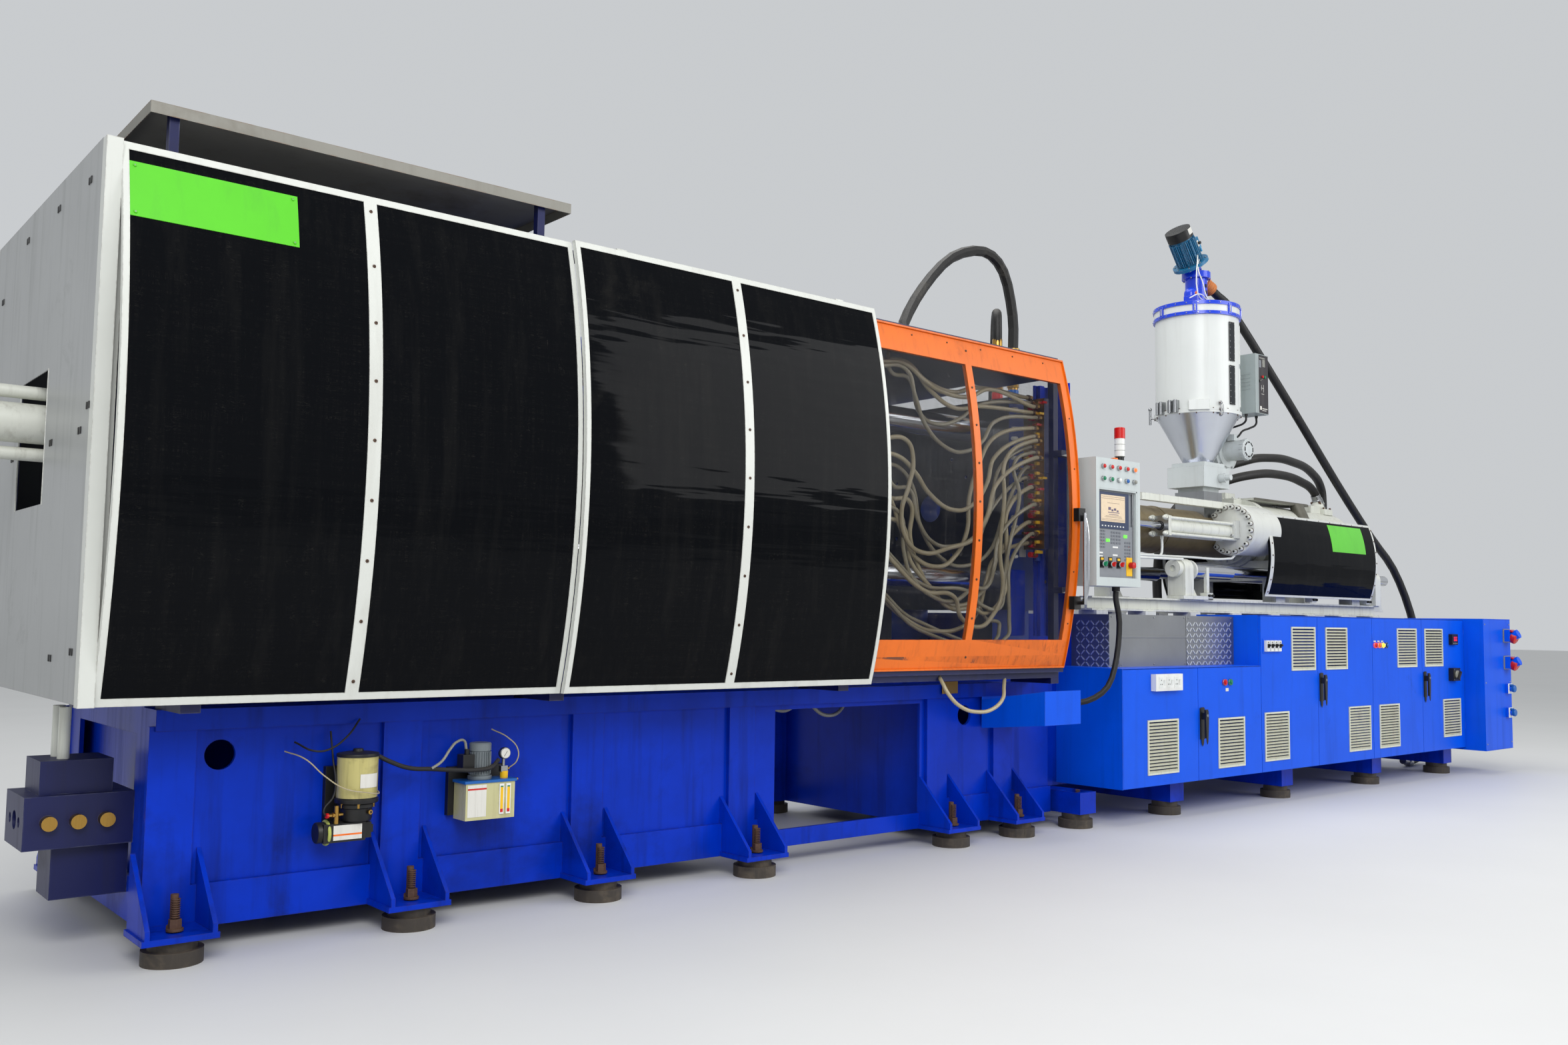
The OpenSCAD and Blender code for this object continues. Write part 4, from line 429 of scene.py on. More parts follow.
    glow("red lamp", shade(255, 40, 24), .9)
    glow("yellow lamp", shade(255, 200, 60), 1.2)


# Makers
class Solid:
    """Gathers simple forms into one mesh piece."""

    def __init__(self, x=0, y=0, z=0):
        self.bm, self.home = bmesh.new(), (x, y, z)

    def at(self, spot):
        """A spot counted from the home point."""
        return Vector([a + b for a, b in zip(self.home, spot)])

    def mark(self, verts, finish):
        for face in {f for v in verts for f in v.link_faces}:
            face.material_index = finish

    def box(self, low, high, finish=0, turn=None):
        low, high = self.at(low), self.at(high)
        size = high - low
        spot = Matrix.Translation((low + high) / 2) @ (turn.to_4x4() if turn else Matrix())
        made = bmesh.ops.create_cube(self.bm, size=1, matrix=spot @ Matrix.Diagonal((*size, 1)))
        self.mark(made["verts"], finish)

    def block(self, spot, half, finish=0, turn=None):
        """A box round a spot, with half sizes."""
        self.box(spot - Vector(half), spot + Vector(half), finish, turn)

    def rod(self, a, b, r, finish=0, sides=20, r2=None):
        a, b = self.at(a), self.at(b)
        run = b - a
        spot = Matrix.Translation((a + b) / 2) @ run.to_track_quat("Z", "Y").to_matrix().to_4x4()
        made = bmesh.ops.create_cone(self.bm, cap_ends=True, segments=sides, radius1=r,
            radius2=r if r2 is None else r2, depth=run.length, matrix=spot)
        self.mark(made["verts"], finish)

    def pin(self, spot, axis, length, r, finish=0, sides=20, r2=None):
        """A rod from a spot along the x, y or z axis."""
        self.rod(spot, [v + length * (axis == name) for v, name in zip(spot, "xyz")], r, finish, sides, r2)

    def ball(self, centre, r, finish=0, squeeze=(1, 1, 1)):
        spot = Matrix.Translation(self.at(centre)) @ Matrix.Diagonal((*squeeze, 1))
        made = bmesh.ops.create_uvsphere(self.bm, u_segments=20, v_segments=12, radius=r, matrix=spot)
        self.mark(made["verts"], finish)

    def stand(self, centre, axis):
        return Matrix.Translation(self.at(centre)) @ Vector(axis).to_track_quat("Z", "Y").to_matrix().to_4x4()

    def lathe(self, profile, centre, axis=(0, 0, 1), finish=0, sides=32, turn=2 * pi):
        """Turns (radius, height) pairs round an axis from a centre."""
        spot = self.stand(centre, axis)
        rings = []
        for radius, height in profile:
            rings.append([self.bm.verts.new(spot @ Vector((radius * cos(turn * k / sides),
                radius * sin(turn * k / sides), height))) for k in range(sides)])
        for one, two in zip(rings, rings[1:]):
            for k in range(sides):
                n = (k + 1) % sides
                self.bm.faces.new((one[k], one[n], two[n], two[k])).material_index = finish
        for ring, radius in ((rings[0][::-1], profile[0][0]), (rings[-1], profile[-1][0])):
            if radius > 1e-5:
                self.bm.faces.new(ring).material_index = finish

    def donut(self, centre, axis, big, small, finish=0, sides=28):
        """A ring of round section."""
        loop = [(big + small * cos(2 * pi * k / 12), small * sin(2 * pi * k / 12)) for k in range(13)]
        spot = self.stand(centre, axis)
        rings = [[self.bm.verts.new(spot @ Vector((r * cos(2 * pi * k / sides), r * sin(2 * pi * k / sides),
            h))) for r, h in loop[:-1]] for k in range(sides)]
        for k in range(sides):
            one, two = rings[k], rings[(k + 1) % sides]
            for j in range(12):
                n = (j + 1) % 12
                self.bm.faces.new((one[j], two[j], two[n], one[n])).material_index = finish

    def boxes(self, *rows):
        for row in rows:
            self.box(*row)

    def pins(self, *rows):
        for row in rows:
            self.pin(*row)

    def lathes(self, *rows):
        for row in rows:
            self.lathe(*row)

    def sheet(self, grid, thick, finish=0):
        """A skin over a grid of points, given a thickness towards the back."""
        rows = [[self.bm.verts.new(self.at(p)) for p in row] for row in grid]
        faces = []
        for one, two in zip(rows, rows[1:]):
            for k in range(len(one) - 1):
                faces.append(self.bm.faces.new((one[k], one[k + 1], two[k + 1], two[k])))
        bmesh.ops.recalc_face_normals(self.bm, faces=faces)
        made = bmesh.ops.solidify(self.bm, geom=faces, thickness=thick)
        for item in list(made["geom"]) + faces:
            if isinstance(item, bmesh.types.BMFace):
                item.material_index = finish

    def plate(self, outline, low, high, finish=0):
        """An outline in x and z, raised along y."""
        order = lambda p, h: (p[0], h, p[1])
        one = [self.bm.verts.new(self.at(order(p, low))) for p in outline]
        two = [self.bm.verts.new(self.at(order(p, high))) for p in outline]
        faces = [self.bm.faces.new(one[::-1]), self.bm.faces.new(two)]
        for k in range(len(one)):
            n = (k + 1) % len(one)
            faces.append(self.bm.faces.new((one[k], one[n], two[n], two[k])))
        for face in faces:
            face.material_index = finish

    def piece(self, name, body, finishes, bevel=.002, instead=()):
        """Finishes the mesh, lets it ride on a body and hides the nodes it stands for."""
        bmesh.ops.recalc_face_normals(self.bm, faces=self.bm.faces)
        mesh = bpy.data.meshes.new(name)
        self.bm.to_mesh(mesh)
        self.bm.free()
        mesh.shade_smooth()
        mesh.set_sharp_from_angle(angle=SHARP)
        made = bpy.data.objects.new(name, mesh)
        bpy.context.collection.objects.link(made)
        for finish in finishes.split(", "):
            mesh.materials.append(FINISHES[finish])
        if bevel:
            edge = made.modifiers.new("Edges", "BEVEL")
            edge.width, edge.segments, edge.limit_method, edge.angle_limit = bevel, 2, "ANGLE", ROUNDED
        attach(made, body)
        if instead:
            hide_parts(*instead)
        return made


def hose(name, kind, paths, radius, rounds, finish):
    """A curve with a round section along each path."""
    curve = bpy.data.curves.new(name, "CURVE")
    curve.dimensions, curve.bevel_depth, curve.bevel_resolution, curve.use_fill_caps = "3D", radius, rounds, True
    curve.resolution_u = 10
    for path in paths:
        line = curve.splines.new(kind)
        points = line.bezier_points if kind == "BEZIER" else line.points
        points.add(len(path) - 1)
        for point, spot in zip(points, path):
            if kind == "BEZIER":
                point.co = spot
                point.handle_left_type = point.handle_right_type = "AUTO"
            else:
                point.co = *spot, 1
    curve.materials.append(FINISHES[finish])
    made = bpy.data.objects.new(name, curve)
    bpy.context.collection.objects.link(made)
    return made


def tubes(name, body, paths, radius, finish, instead=(), home=(0, 0, 0)):
    """One piece with a smooth tube along each path."""
    paths = [[Vector(home) + Vector(spot) for spot in path] for path in paths]
    made = hose(name, "BEZIER", paths, radius, 4, finish)
    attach(made, body)
    if instead:
        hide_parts(*instead)


def rise(height):
    return Vector((0, 0, height))


def axes(a, b, c):
    """A turn that lays x, y and z along three directions."""
    return Matrix((a, b, c)).transposed()


def tilt(degrees, axis):
    return Matrix.Rotation(radians(degrees), 3, axis)


def corners(node):
    """Two corners of a node's box."""
    return [Vector(corner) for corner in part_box(node)]


def curve_through(points, steps):
    """Points of the smooth curve that the part's source draws through its chosen points."""
    points = [Vector(p) for p in points]
    out = []
    for i in range(len(points) - 1):
        a, b, c, d = points[max(i - 1, 0)], points[i], points[i + 1], points[min(i + 2, len(points) - 1)]
        for k in range(steps):
            t = k / steps
            out.append(.5 * (2 * b + (c - a) * t + (2 * a - 5 * b + 4 * c - d) * t * t + (3 * b - a - 3 * c + d)
                * t ** 3))
    return out + [points[-1]]


def dress(node, finish, zones=()):
    """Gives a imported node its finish, and other finishes to the faces inside some boxes."""
    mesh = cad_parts[node].data
    names = [finish] + [zone[0] for zone in zones]
    mesh.materials.clear()
    for name in names:
        mesh.materials.append(FINISHES[name])
    for face in mesh.polygons:
        x, y, z = face.center
        face.material_index = 0
        for index, (_, x0, x1, y0, y1, z0, z1) in enumerate(zones, 1):
            if x0 <= x <= x1 and y0 <= y <= y1 and z0 <= z <= z1:
                face.material_index = index


class MadePiece:
    """What every maker of pieces shares."""
    bl_options = {"REGISTER", "UNDO"}


# Camera, cords and stage
def make_camera(context):
    lens = bpy.data.cameras.new("view")
    lens.sensor_width, lens.lens, lens.clip_end = SENSOR, LENS, REACH
    view = bpy.data.objects.new("view", lens)
    ahead = Vector((sin(YAW) * cos(PITCH), cos(YAW) * cos(PITCH), sin(PITCH)))
    right = Vector((cos(YAW), -sin(YAW), 0))
    up = right.cross(ahead)
    right, up = cos(ROLL) * right + sin(ROLL) * up, -sin(ROLL) * right + cos(ROLL) * up
    turn = axes(right, up, -ahead)
    view.matrix_world = Matrix.Translation(CAMERA) @ turn.to_4x4()
    context.collection.objects.link(view)
    context.scene.camera = view


class MACHINE_OT_camera(MadePiece, bpy.types.Operator):
    """Sets the camera where the machine is seen from the operator's left"""
    bl_idname = "machine.camera"
    bl_label = "Camera"

    def execute(self, context):
        make_camera(context)
        return {"FINISHED"}


def make_cords(context):
    sizes = context.scene.machine_sizes
    route = curve_through([(.2, -1.23, 1.6581), (.2, -1.23, 1.6), (.225, -1.24, 1.44), (.19, -1.24, 1.2),
        (.1, -1.23, 1.), (-.03, -1.15, .9), (-.15, -1., .88), (-.17, -.86, .88), (-.17, -.79, .88)], 3)
    cable = hose("panel_cord", "POLY", [route], sizes.panel_cable / 2, 5, "black rubber")
    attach(cable, "base")
    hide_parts("panel_cable")
    route = curve_through([(3.43365, -.02922, 4.59173), (3.53, -.043, 4.546), (3.72, -.09, 4.4), (4.434, -.24, 3.62),
        (5.373, -.24, 2.9), (6.1, -.24, 2.38), (6.6, -.24, 2.06), (6.85, -.3, 1.6), (6.93, -.38, 1.), (6.94, -.4, .4),
        (6.8, -.42, .105), (6.4, -.47, .048), (6.3, -.48, .048)], 3)
    suction = hose("suction_hose", "POLY", [route], sizes.suction_hose / 2, 5, "black rubber")
    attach(suction, "carriage")
    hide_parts("loader_hose")
    end, ahead = route[-1], (route[-1] - route[-2]).normalized()
    lance = Solid()
    lance.lathe([(.043, -.07), (.046, -.07), (.046, 0), (.036, .004), (.034, .12), (.031, .12)], end, ahead)
    wand = lance.piece("suction_wand", "carriage", "bare steel", .001)


class MACHINE_OT_cords(MadePiece, bpy.types.Operator):
    """Makes the control panel's cable and the loader's suction hose"""
    bl_idname = "machine.cords"
    bl_label = "Cable and suction hose"

    def execute(self, context):
        make_cords(context)
        return {"FINISHED"}


def make_stage(context):
    mesh = bpy.data.meshes.new("floor")
    mesh.from_pydata([(-90, -90, 0), (90, -90, 0), (90, 90, 0), (-90, 90, 0)], [], [(0, 1, 2, 3)])
    floor = bpy.data.objects.new("floor", mesh)
    context.collection.objects.link(floor)
    tree, shader = blank("floor screed")
    tone = noise(tree, place(tree), .6, 6.)
    base = blend_colour(tree, tone, (.6, .6, .59), (.66, .66, .65))
    feed(tree, shader, {"Base Color": base, "Roughness": .55})
    mesh.materials.append(FINISHES["floor screed"])
    world = bpy.data.worlds.new("studio")
    world.use_nodes = True
    sky = world.node_tree.nodes["Background"]
    sky.inputs["Color"].default_value = (.94, .97, 1, 1)
    sky.inputs["Strength"].default_value = .62
    context.scene.world = world
    for name, spot, aim, size, power in (("key", (-9, -11, 9), (-1, -1, 1.6), 7, 1180),
            ("fill", (8, -12, 7), (2, -1, 1.5), 8, 760), ("top", (-1, 1, 11), (-1, 0, 2), 9, 700)):
        light = bpy.data.lights.new(name, "AREA")
        light.size, light.energy = size, power
        lamp = bpy.data.objects.new(name, light)
        lamp.matrix_world = Matrix.Translation(spot) @ (Vector(aim) - Vector(spot)).to_track_quat("-Z",
            "Y").to_matrix().to_4x4()
        context.collection.objects.link(lamp)
    context.scene.view_settings.view_transform = "Standard"


class MACHINE_OT_stage(MadePiece, bpy.types.Operator):
    """Makes the pale floor, the world and the lamps"""
    bl_idname = "machine.stage"
    bl_label = "Stage"

    def execute(self, context):
        make_stage(context)
        return {"FINISHED"}


# Finishes of the parts, and the made pieces
def make_finish_nodes():
    for finish, nodes in (("base paint", "clamp_base injection_base"), ("roof paint", "roof_panel"),
            ("rail paint", "fixed_guard_frame sliding_guard_frame"),
            ("guard acrylic", "fixed_guard_panels sliding_guard_panels"), ("window sheet", "gate_window"),
            ("sheet paint", "end_panel rear_guards"), ("chrome", "tie_bars injection_piston"),
            ("casting paint", "clamp_cylinder carriage_base"), ("bare steel", "ejector crosshead barrel screw"),
            ("platen paint", "rear_link_upper rear_link_lower front_link_upper front_link_lower cross_link_upper "
            "cross_link_lower tail_platen"), ("barrel cover sheet", "barrel_cover"), ("cream hose",
            "cooling_hoses"), ("black rubber", "panel_cable loader_hose"), ("red plastic",
            "emergency_stop"), ("cabinet paint", "cabinet_shell end_cabinet material_tray"), ("plate steel",
            "tread_plates"), ("black plastic", "lubricators"), ("hopper paint", "hopper_barrel")):
        for node in nodes.split():
            dress(node, finish)
    dress("levelling_mounts", "rusty steel", [("foot pad", *ANY, *ANY, -1, .098)])
    dress("pump_motors", "motor grey", [("black plastic", .05, FAR, 0, FAR, 0, .32)])
    dress("guard_frame", "frame paint", [("rail paint", GATE_X1 + .03, FAR, -FAR, -1.08, 1.6, 2.7)])
    dress("gate_frame", "gate paint", [("gate paint worn", GATE_X0 + 1.05, FAR, *ANY, 1., 1.33)])
    dress("gate_handle", "chrome", [("black plastic", GATE_X1 - .062, GATE_X1 + .012,
        guard_face(GATE_IN, GUARD_MID) - .047, 0, z, z + .09) for z in (GUARD_MID - .655, GUARD_MID - .06)])
    for node, x in (("stationary_platen", FACE_X), ("moving_platen", FACE_X - 1.7)):
        dress(node, "platen paint", [("bare steel", x - .001, x + .001, -1, 1, 1, 4)])
    dress("hydraulic_manifold", "frame paint", [("casting paint", *ANY, *ANY, .81, FAR), ("brass", *ANY, -.57, -.521,
        .4, .7)])
    zones = []
    for k in range(14):
        z = AXIS_H + .68 - .075 * k
        zones.append(("yellow plastic" if k % 2 else "red plastic", TAP_X - .047, TAP_X - .001, -1.06, -.86, z - .008,
            z + .008))
    dress("water_manifold", "frame paint", [("brass", TAP_X - .07, TAP_X, -1.06, -.8, 1., 3.2)] + zones)
    dress("guide_bars", "chrome", [("casting paint", 2.2, 2.266, -.46, .46, 1.8, 2.)])
    dress("carriage_cylinders", "casting paint", [("bare steel", 2.265 - .191, 2.265 - .164, -.5, .5, 2.1, 2.4)])
    dress("injection_housing", "casting paint", [("old steel", FLANGE_X + .17, HOUSE_X1 - .61, -.2, .16,
        AXIS_H + .351, AXIS_H + .38), ("old steel", HOUSE_X1 - 1.1, HOUSE_X1 - .55, -.45, .1, AXIS_H + .06,
        AXIS_H + .366)])
    cover_in = .026
    dress("injection_cover", "guard acrylic", [("rail paint", FLANGE_X - .22, FLANGE_X - .174, -1, 1, 1, 3),
        ("rail paint", HOUSE_X1 - cover_in, HOUSE_X1 + .01, -1, 1, 1, 3)])
    dress("hopper_cone", "cone steel", [("blower paint", *ANY, *ANY, 0, CONE_Z0 - .001), ("hopper paint", *ANY, *ANY,
        CONE_Z1 - .021, FAR)])
    dress("hopper_loader", "loader paint", [("hopper paint", THROAT_X - .4, THROAT_X + .4, -.4, .4, HOPPER_Z1 + .031,
        HOPPER_Z1 + .089)])
    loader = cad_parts["hopper_loader"].data
    for name in ("motor paint", "tape", "black plastic"):
        loader.materials.append(FINISHES[name])
    for face in loader.polygons:
        height = (face.center - LOADER_FOOT).dot(LOADER_OUT)
        if height > .129:
            face.material_index = 4 if height > .406 else 2
        spot = face.center - ELBOW_FOOT
        if spot.dot(ELBOW) > .09 and (spot - ELBOW * spot.dot(ELBOW)).length < .063:
            face.material_index = 3
    box = THROAT_X + .4
    dress("dryer_units", "dryer paint", [("blower paint", THROAT_X + .1, box + .25, *ANY, CONE_Z0 - .2,
        CONE_Z0 + .38), ("black plastic", box + .061, box + .2295, -.3575, -.3565, CONE_Z1, FAR)])
    for k in range(6):
        x0, z1 = DOOR_X[k], LOW_TOP if k < 2 else TALL_TOP
        vents = (((.3, .083, .392, .395),), ((.273, .076, .378, .382),), ((.481, .805, .395, .362),
            (.045, .086, .38, .39)), ((.135, .805, .382, .36), (.53, .086, .4, .39)), ((.487, .805, .398, .36),
            (.112, .086, .392, .39)), ((.059, .805, .39, .36), (.436, .122, .392, .364)))[k]
        zones = [("louvre plastic", x0 + x - .001, x0 + x + w + .001, CAB_Y - .02, CAB_Y - .0001, .26 + z - .001,
            .26 + z + h + .001) for x, z, w, h in vents]
        zones += [("louvre plastic", x0 + x + .013, x0 + x + w - .013, CAB_Y - .02, CAB_Y + .03, .26 + z + .0145,
            .26 + z + h - .0145) for x, z, w, h in vents]
        dress("door_%d" % (k + 1), "cabinet paint", zones + door_fittings(k, x0, z1))
    dress("control_panel", "panel paint", [("panel face", PANEL_X0 + .036, PANEL_X1 - .036, PANEL_FRONT + .0215,
        PANEL_FRONT + .031, PANEL_Z0, PANEL_Z1), ("black plastic", PANEL_X1 - .15, PANEL_X1 - .07, *ANY,
        PANEL_Z1 + .001, PANEL_Z1 + .041), ("white plastic", PANEL_X1 - .15, PANEL_X1 - .07, *ANY, PANEL_Z1 + .041,
        PANEL_Z1 + .1685), ("red plastic", PANEL_X1 - .15, PANEL_X1 - .07, *ANY, PANEL_Z1 + .1685, FAR),
        ("orange plastic", PANEL_X1 - .22, PANEL_X1 - .16, *ANY, PANEL_Z1 + .001, PANEL_Z1 + .03),
        ("black plastic", *ANY, *ANY, 0, PANEL_Z0 - .001)])
    top = COUPLING_Z
    dress("water_hoses", "hydraulic hose", [("red plastic", -.2, .1, -.45, -.3, top + .001, top + .12),
        ("blue plastic", -.2, .1, -.6, -.46, top + .001, top + .2), ("rusty steel", -.2, .1, -.65, -.3, top - .01,
        top + .021), ("brass", -.2, .1, -.65, -.3, top + .12, top + .425)])


def door_fittings(k, x0, z1):
    """Faces of the handles, switches and lamps on a cabinet door."""
    front = CAB_Y - .06, CAB_Y - .0001
    black = lambda x, z, w, h: ("black plastic", x0 + x - .001, x0 + x + w + .001, *front, z - .001, z + h + .001)
    if k == 0:
        return [("white plastic", x0 + .35, x0 + .697, *front, z1 - .163, z1 - .039)]
    if k == 1:
        return [black(.019, .26 + .309, .062, .235), ("red plastic", x0 + .335, x0 + .395, *front, z1 - .15,
            z1 - .09), ("green plastic", x0 + .415, x0 + .475, *front, z1 - .15, z1 - .09)]
    if k == 2:
        return [("white plastic", x0 + .049, x0 + .29, *front, z1 - .291, z1 - .199)]
    if k == 3:
        return [black(.022, .26 + .54, .062, .235)]
    if k == 4:
        return [(("red lamp", "orange lamp", "yellow lamp", "dark glass")[n], x0 + .02 + .072 * n,
            x0 + .08 + .072 * n, *front, z1 - .28, z1 - .21) for n in range(4)]
    return [black(.022, .26 + .52, .062, .235), black(.6, z1 - .245, .135, .105), black(.58, z1 - .595, .16, .125)]


class MACHINE_OT_finish_nodes(MadePiece, bpy.types.Operator):
    """Gives every solid of the frame its finish"""
    bl_idname = "machine.finish_nodes"
    bl_label = "Finishes of the frame"

    def execute(self, context):
        make_finish_nodes()
        return {"FINISHED"}


def bend_round(face, x0, x1, z0, z1, rows=10):
    """A grid of points on a face that curves with height."""
    steps = [z0 + (z1 - z0) * k / rows for k in range(rows + 1)]
    return [[(x0, face(z), z), (x1, face(z), z)] for z in steps]


def cover_face(z):
    """Y of the injection cover's outer face at a height."""
    return COVER_CENTRE - sqrt(COVER_ARC ** 2 - (z - COVER_MID) ** 2)


def make_guard_trim(context):
    sizes = context.scene.machine_sizes
    for name, body, back, x, z0, z1 in (("fixed_guard_screws", "base", FIXED_IN, FIXED_X0 + 1.015, GUARD_Z0,
            GUARD_Z1), ("sliding_guard_screws", "sliding_guard", 0, SLIDE_X0 + 1.012, GUARD_Z0, GUARD_Z1),
            ("gate_screws", "operator_gate", GATE_IN, GATE_X0 + 1.01, GATE_Z0, GATE_Z1)):
        screws = Solid()
        for k in range(sizes.strip_screws):
            z = z0 + .08 + (z1 - z0 - .16) * k / (sizes.strip_screws - 1)
            screw(screws, x, back, z, sizes.screw_head)
        if name == "gate_screws":
            for k in range(6):
                screw(screws, GATE_X0 + .2 + .32 * k, back, z1 - .05, sizes.screw_head * .7)
            for k in range(5):
                screw(screws, GATE_X1 - .035, back, z0 + .3 + .35 * k, sizes.screw_head * .7)
        screws.piece(name, body, "rusty steel, black plastic", .001)
    gate_lips()
    bare_signs()


def screw(solid, x, back, z, head):
    spot = Vector((x, guard_face(back, z), z))
    out = Vector((0, spot.y - ARC_Y, z - GUARD_MID)).normalized()
    solid.rod(spot - out * .002, spot + out * .004, head / 2, 0, 16, head * .4)
    # The black hex disc on the head is painted shade of the screw's socket recess.
    solid.rod(spot + out * .0038, spot + out * .0046, head * .2, 1, 6)


def gate_lips():
    lips = Solid()
    for z0, z1 in ((GATE_Z0, GATE_Z0 + .012), (GATE_Z1 - .012, GATE_Z1)):
        y = guard_face(GATE_IN, (z0 + z1) / 2)
        lips.box((GATE_X0, y - .012, z0), (GATE_X1, y + .004, z1))
    for x0, x1 in ((GATE_X0, GATE_X0 + .006), (GATE_X1 - .006, GATE_X1 + .0005)):
        lips.sheet(bend_round(lambda z: guard_face(GATE_IN, z) - .012, x0, x1, GATE_Z0, GATE_Z1, 24), .014)
    lips.piece("gate_lips", "operator_gate", "gate paint", .0015)


def bare_signs():
    sign = Solid()
    sign.sheet(bend_round(lambda z: guard_face(FIXED_IN + .001, z), -6.19, -5.527, 2.981, 3.214), .004)
    for x in (-6.17, -5.547):
        for z in (2.998, 3.197):
            screw(sign, x, FIXED_IN, z, .016)
    sign.piece("guard_sign", "base", "sign sheet, bare steel", .001)
    sign = Solid()
    sign.sheet(bend_round(lambda z: cover_face(z) - .002, 4.62, 5.29, 2.15, 2.41), .003)
    sign.piece("cover_sign", "carriage", "sign sheet", 0)


class MACHINE_OT_guard_trim(MadePiece, bpy.types.Operator):
    """Screws of the guard strips, folded lips of the gate and the bare green signs"""
    bl_idname = "machine.guard_trim"
    bl_label = "Guard screws and signs"

    def execute(self, context):
        make_guard_trim(context)
        return {"FINISHED"}


def flange_bolts():
    bolts = Solid(3.2, -.34, 2.295)
    bolts.lathe([(0, 0), (.23, 0), (.236, .006), (.236, .038), (.226, .046), (.226, .48)], (0, 0, 0), (1, 0, 0), 2,
        64)
    bolts.box((-.07, -.09, -.085), (.002, .1, .075), 2)
    for y in (-.055, .065):
        for z in (-.055, .045):
            # The black hex disc on each bolt head is painted shade of its socket recess.
            bolts.pins(((-.09, y, z), "x", .02, .016, 2, 18), ((-.0915, y, z), "x", .0015, .009, 1, 6))
    for k in range(20):
        turn = radians(18 * k + 5)
        y, z = -.205 * sin(turn), .205 * cos(turn)
        bolts.donut((-.0005, y, z), (1, 0, 0), .0195, .002, 3, 18)
        # The black hex disc on each bolt head is painted shade of its socket recess.
        bolts.pins(((-.034, y, z), "x", .036, .0175, 2, 18), ((-.0355, y, z), "x", .002, .0105, 1, 6))
    for y in (-.055, .055):
        for x in (.03, .14):
            # The black hex disc on each bolt head is painted shade of its socket recess.
            bolts.pins(((x + .495, y + .34, .327), "z", .024, .012, 0, 16), ((x + .495, y + .34, .3505), "z", .001,
                .006, 1, 6))
    bolts.piece("flange_bolts", "carriage", "rail paint, black plastic, rail paint, rusty steel", .0015)


def flange_cap():
    block = Solid(FLANGE_X, 0, AXIS_H)
    block.box((.02, -.07, .351), (.15, .07, .366))
    block.piece("flange_block_cap", "carriage", "casting paint", .003)


def cylinder_nuts():
    nuts = Solid()
    for side in (-1, 1):
        for s, t in CORNERS:
            y, z = side * CYL_Y + s * .068, AXIS_H + t * .068
            nuts.pins(((2.1, y, z), "x", -.007, .026), ((2.094, y, z), "x", -.028, .0215, 0, 6))
            nuts.ball((2.068, y, z), .017, 0, (1.2, 1, 1))
            nuts.pins(((3.235, y, z), "x", -.021, .0195, 0, 6), ((3.28, y, z), "x", .016, .014, 0, 16))
        nuts.donut((2.1, side * CYL_Y, AXIS_H), (1, 0, 0), .036, .006, 1)
        nuts.pin((2.13, side * CYL_Y, AXIS_H - .085), "z", -.03, .016, 0, 6)
    nuts.piece("cylinder_nuts", "carriage", "casting paint, black rubber", .001)


def cylinder_pipes():
    tubes("cylinder_pipe", "carriage", [[(2.13, 0, -.11), (2.13, 0, -.2), (2.118, 0, -.24), (2.07, 0, -.26),
        (1.9, 0, -.265), (1.62, 0, -.275)], [(3.26, -.02, -.085), (3.258, -.025, -.16), (3.2, -.03, -.225),
        (3.1, -.03, -.243), (2.5, -.02, -.252), (1.62, 0, -.262)], [(2.3, -.09, -.28), (1.95, -.09, -.285),
        (1.62, -.09, -.29)]], .0105, "hopper paint", home=(0, -CYL_Y, AXIS_H))
    clips = Solid(0, -CYL_Y, AXIS_H)
    for y, z in ((0, -.275), (0, -.262), (-.09, -.29)):
        clips.pin((1.59, y, z), "x", .04, .017)
    clips.boxes(((1.6, -.11, -.31), (1.64, .13, -.24)), ((1.6, -.02, -.29), (1.64, .13, -.11)))
    clips.piece("pipe_clips", "carriage", "casting paint", .002)


def cover_screws():
    screws = Solid()
    for x in (FLANGE_X - .193, HOUSE_X1 - .012):
        for k in range(7):
            z = COVER_MID - .33 + .11 * k
            spot = Vector((x, cover_face(z) - .004, z))
            out = Vector((0, spot.y - COVER_CENTRE, z - COVER_MID)).normalized()
            screws.rod(spot, spot + out * .004, .0075, 0, 14, .006)
    for k in range(9):
        x = FLANGE_X - .1 + .22 * k
        for z in (COVER_MID - .36, COVER_MID + .366):
            spot = Vector((x, cover_face(z), z))
            screws.rod(spot, spot + Vector((0, -.004, 0)), .006, 0, 12)
    screws.piece("cover_screws", "carriage", "rusty steel", .001)
    lips = Solid()
    for z0, z1 in ((COVER_MID - .372, COVER_MID - .352), (COVER_MID + .36, COVER_MID + .381)):
        face = cover_face((z0 + z1) / 2)
        lips.box((FLANGE_X - .218, face - .005, z0), (HOUSE_X1 - .002, face + .006, z1))
    for side in (1, -1):
        for x0, x1 in ((FLANGE_X - .221, FLANGE_X - .166), (HOUSE_X1 - .024, HOUSE_X1 + .001)):
            lips.sheet(bend_round(lambda z: side * (cover_face(z) - .0025), x0, x1, COVER_MID - .368,
                COVER_MID + .378, 20), .004)
    lips.piece("cover_lips", "carriage", "rail paint", .001)


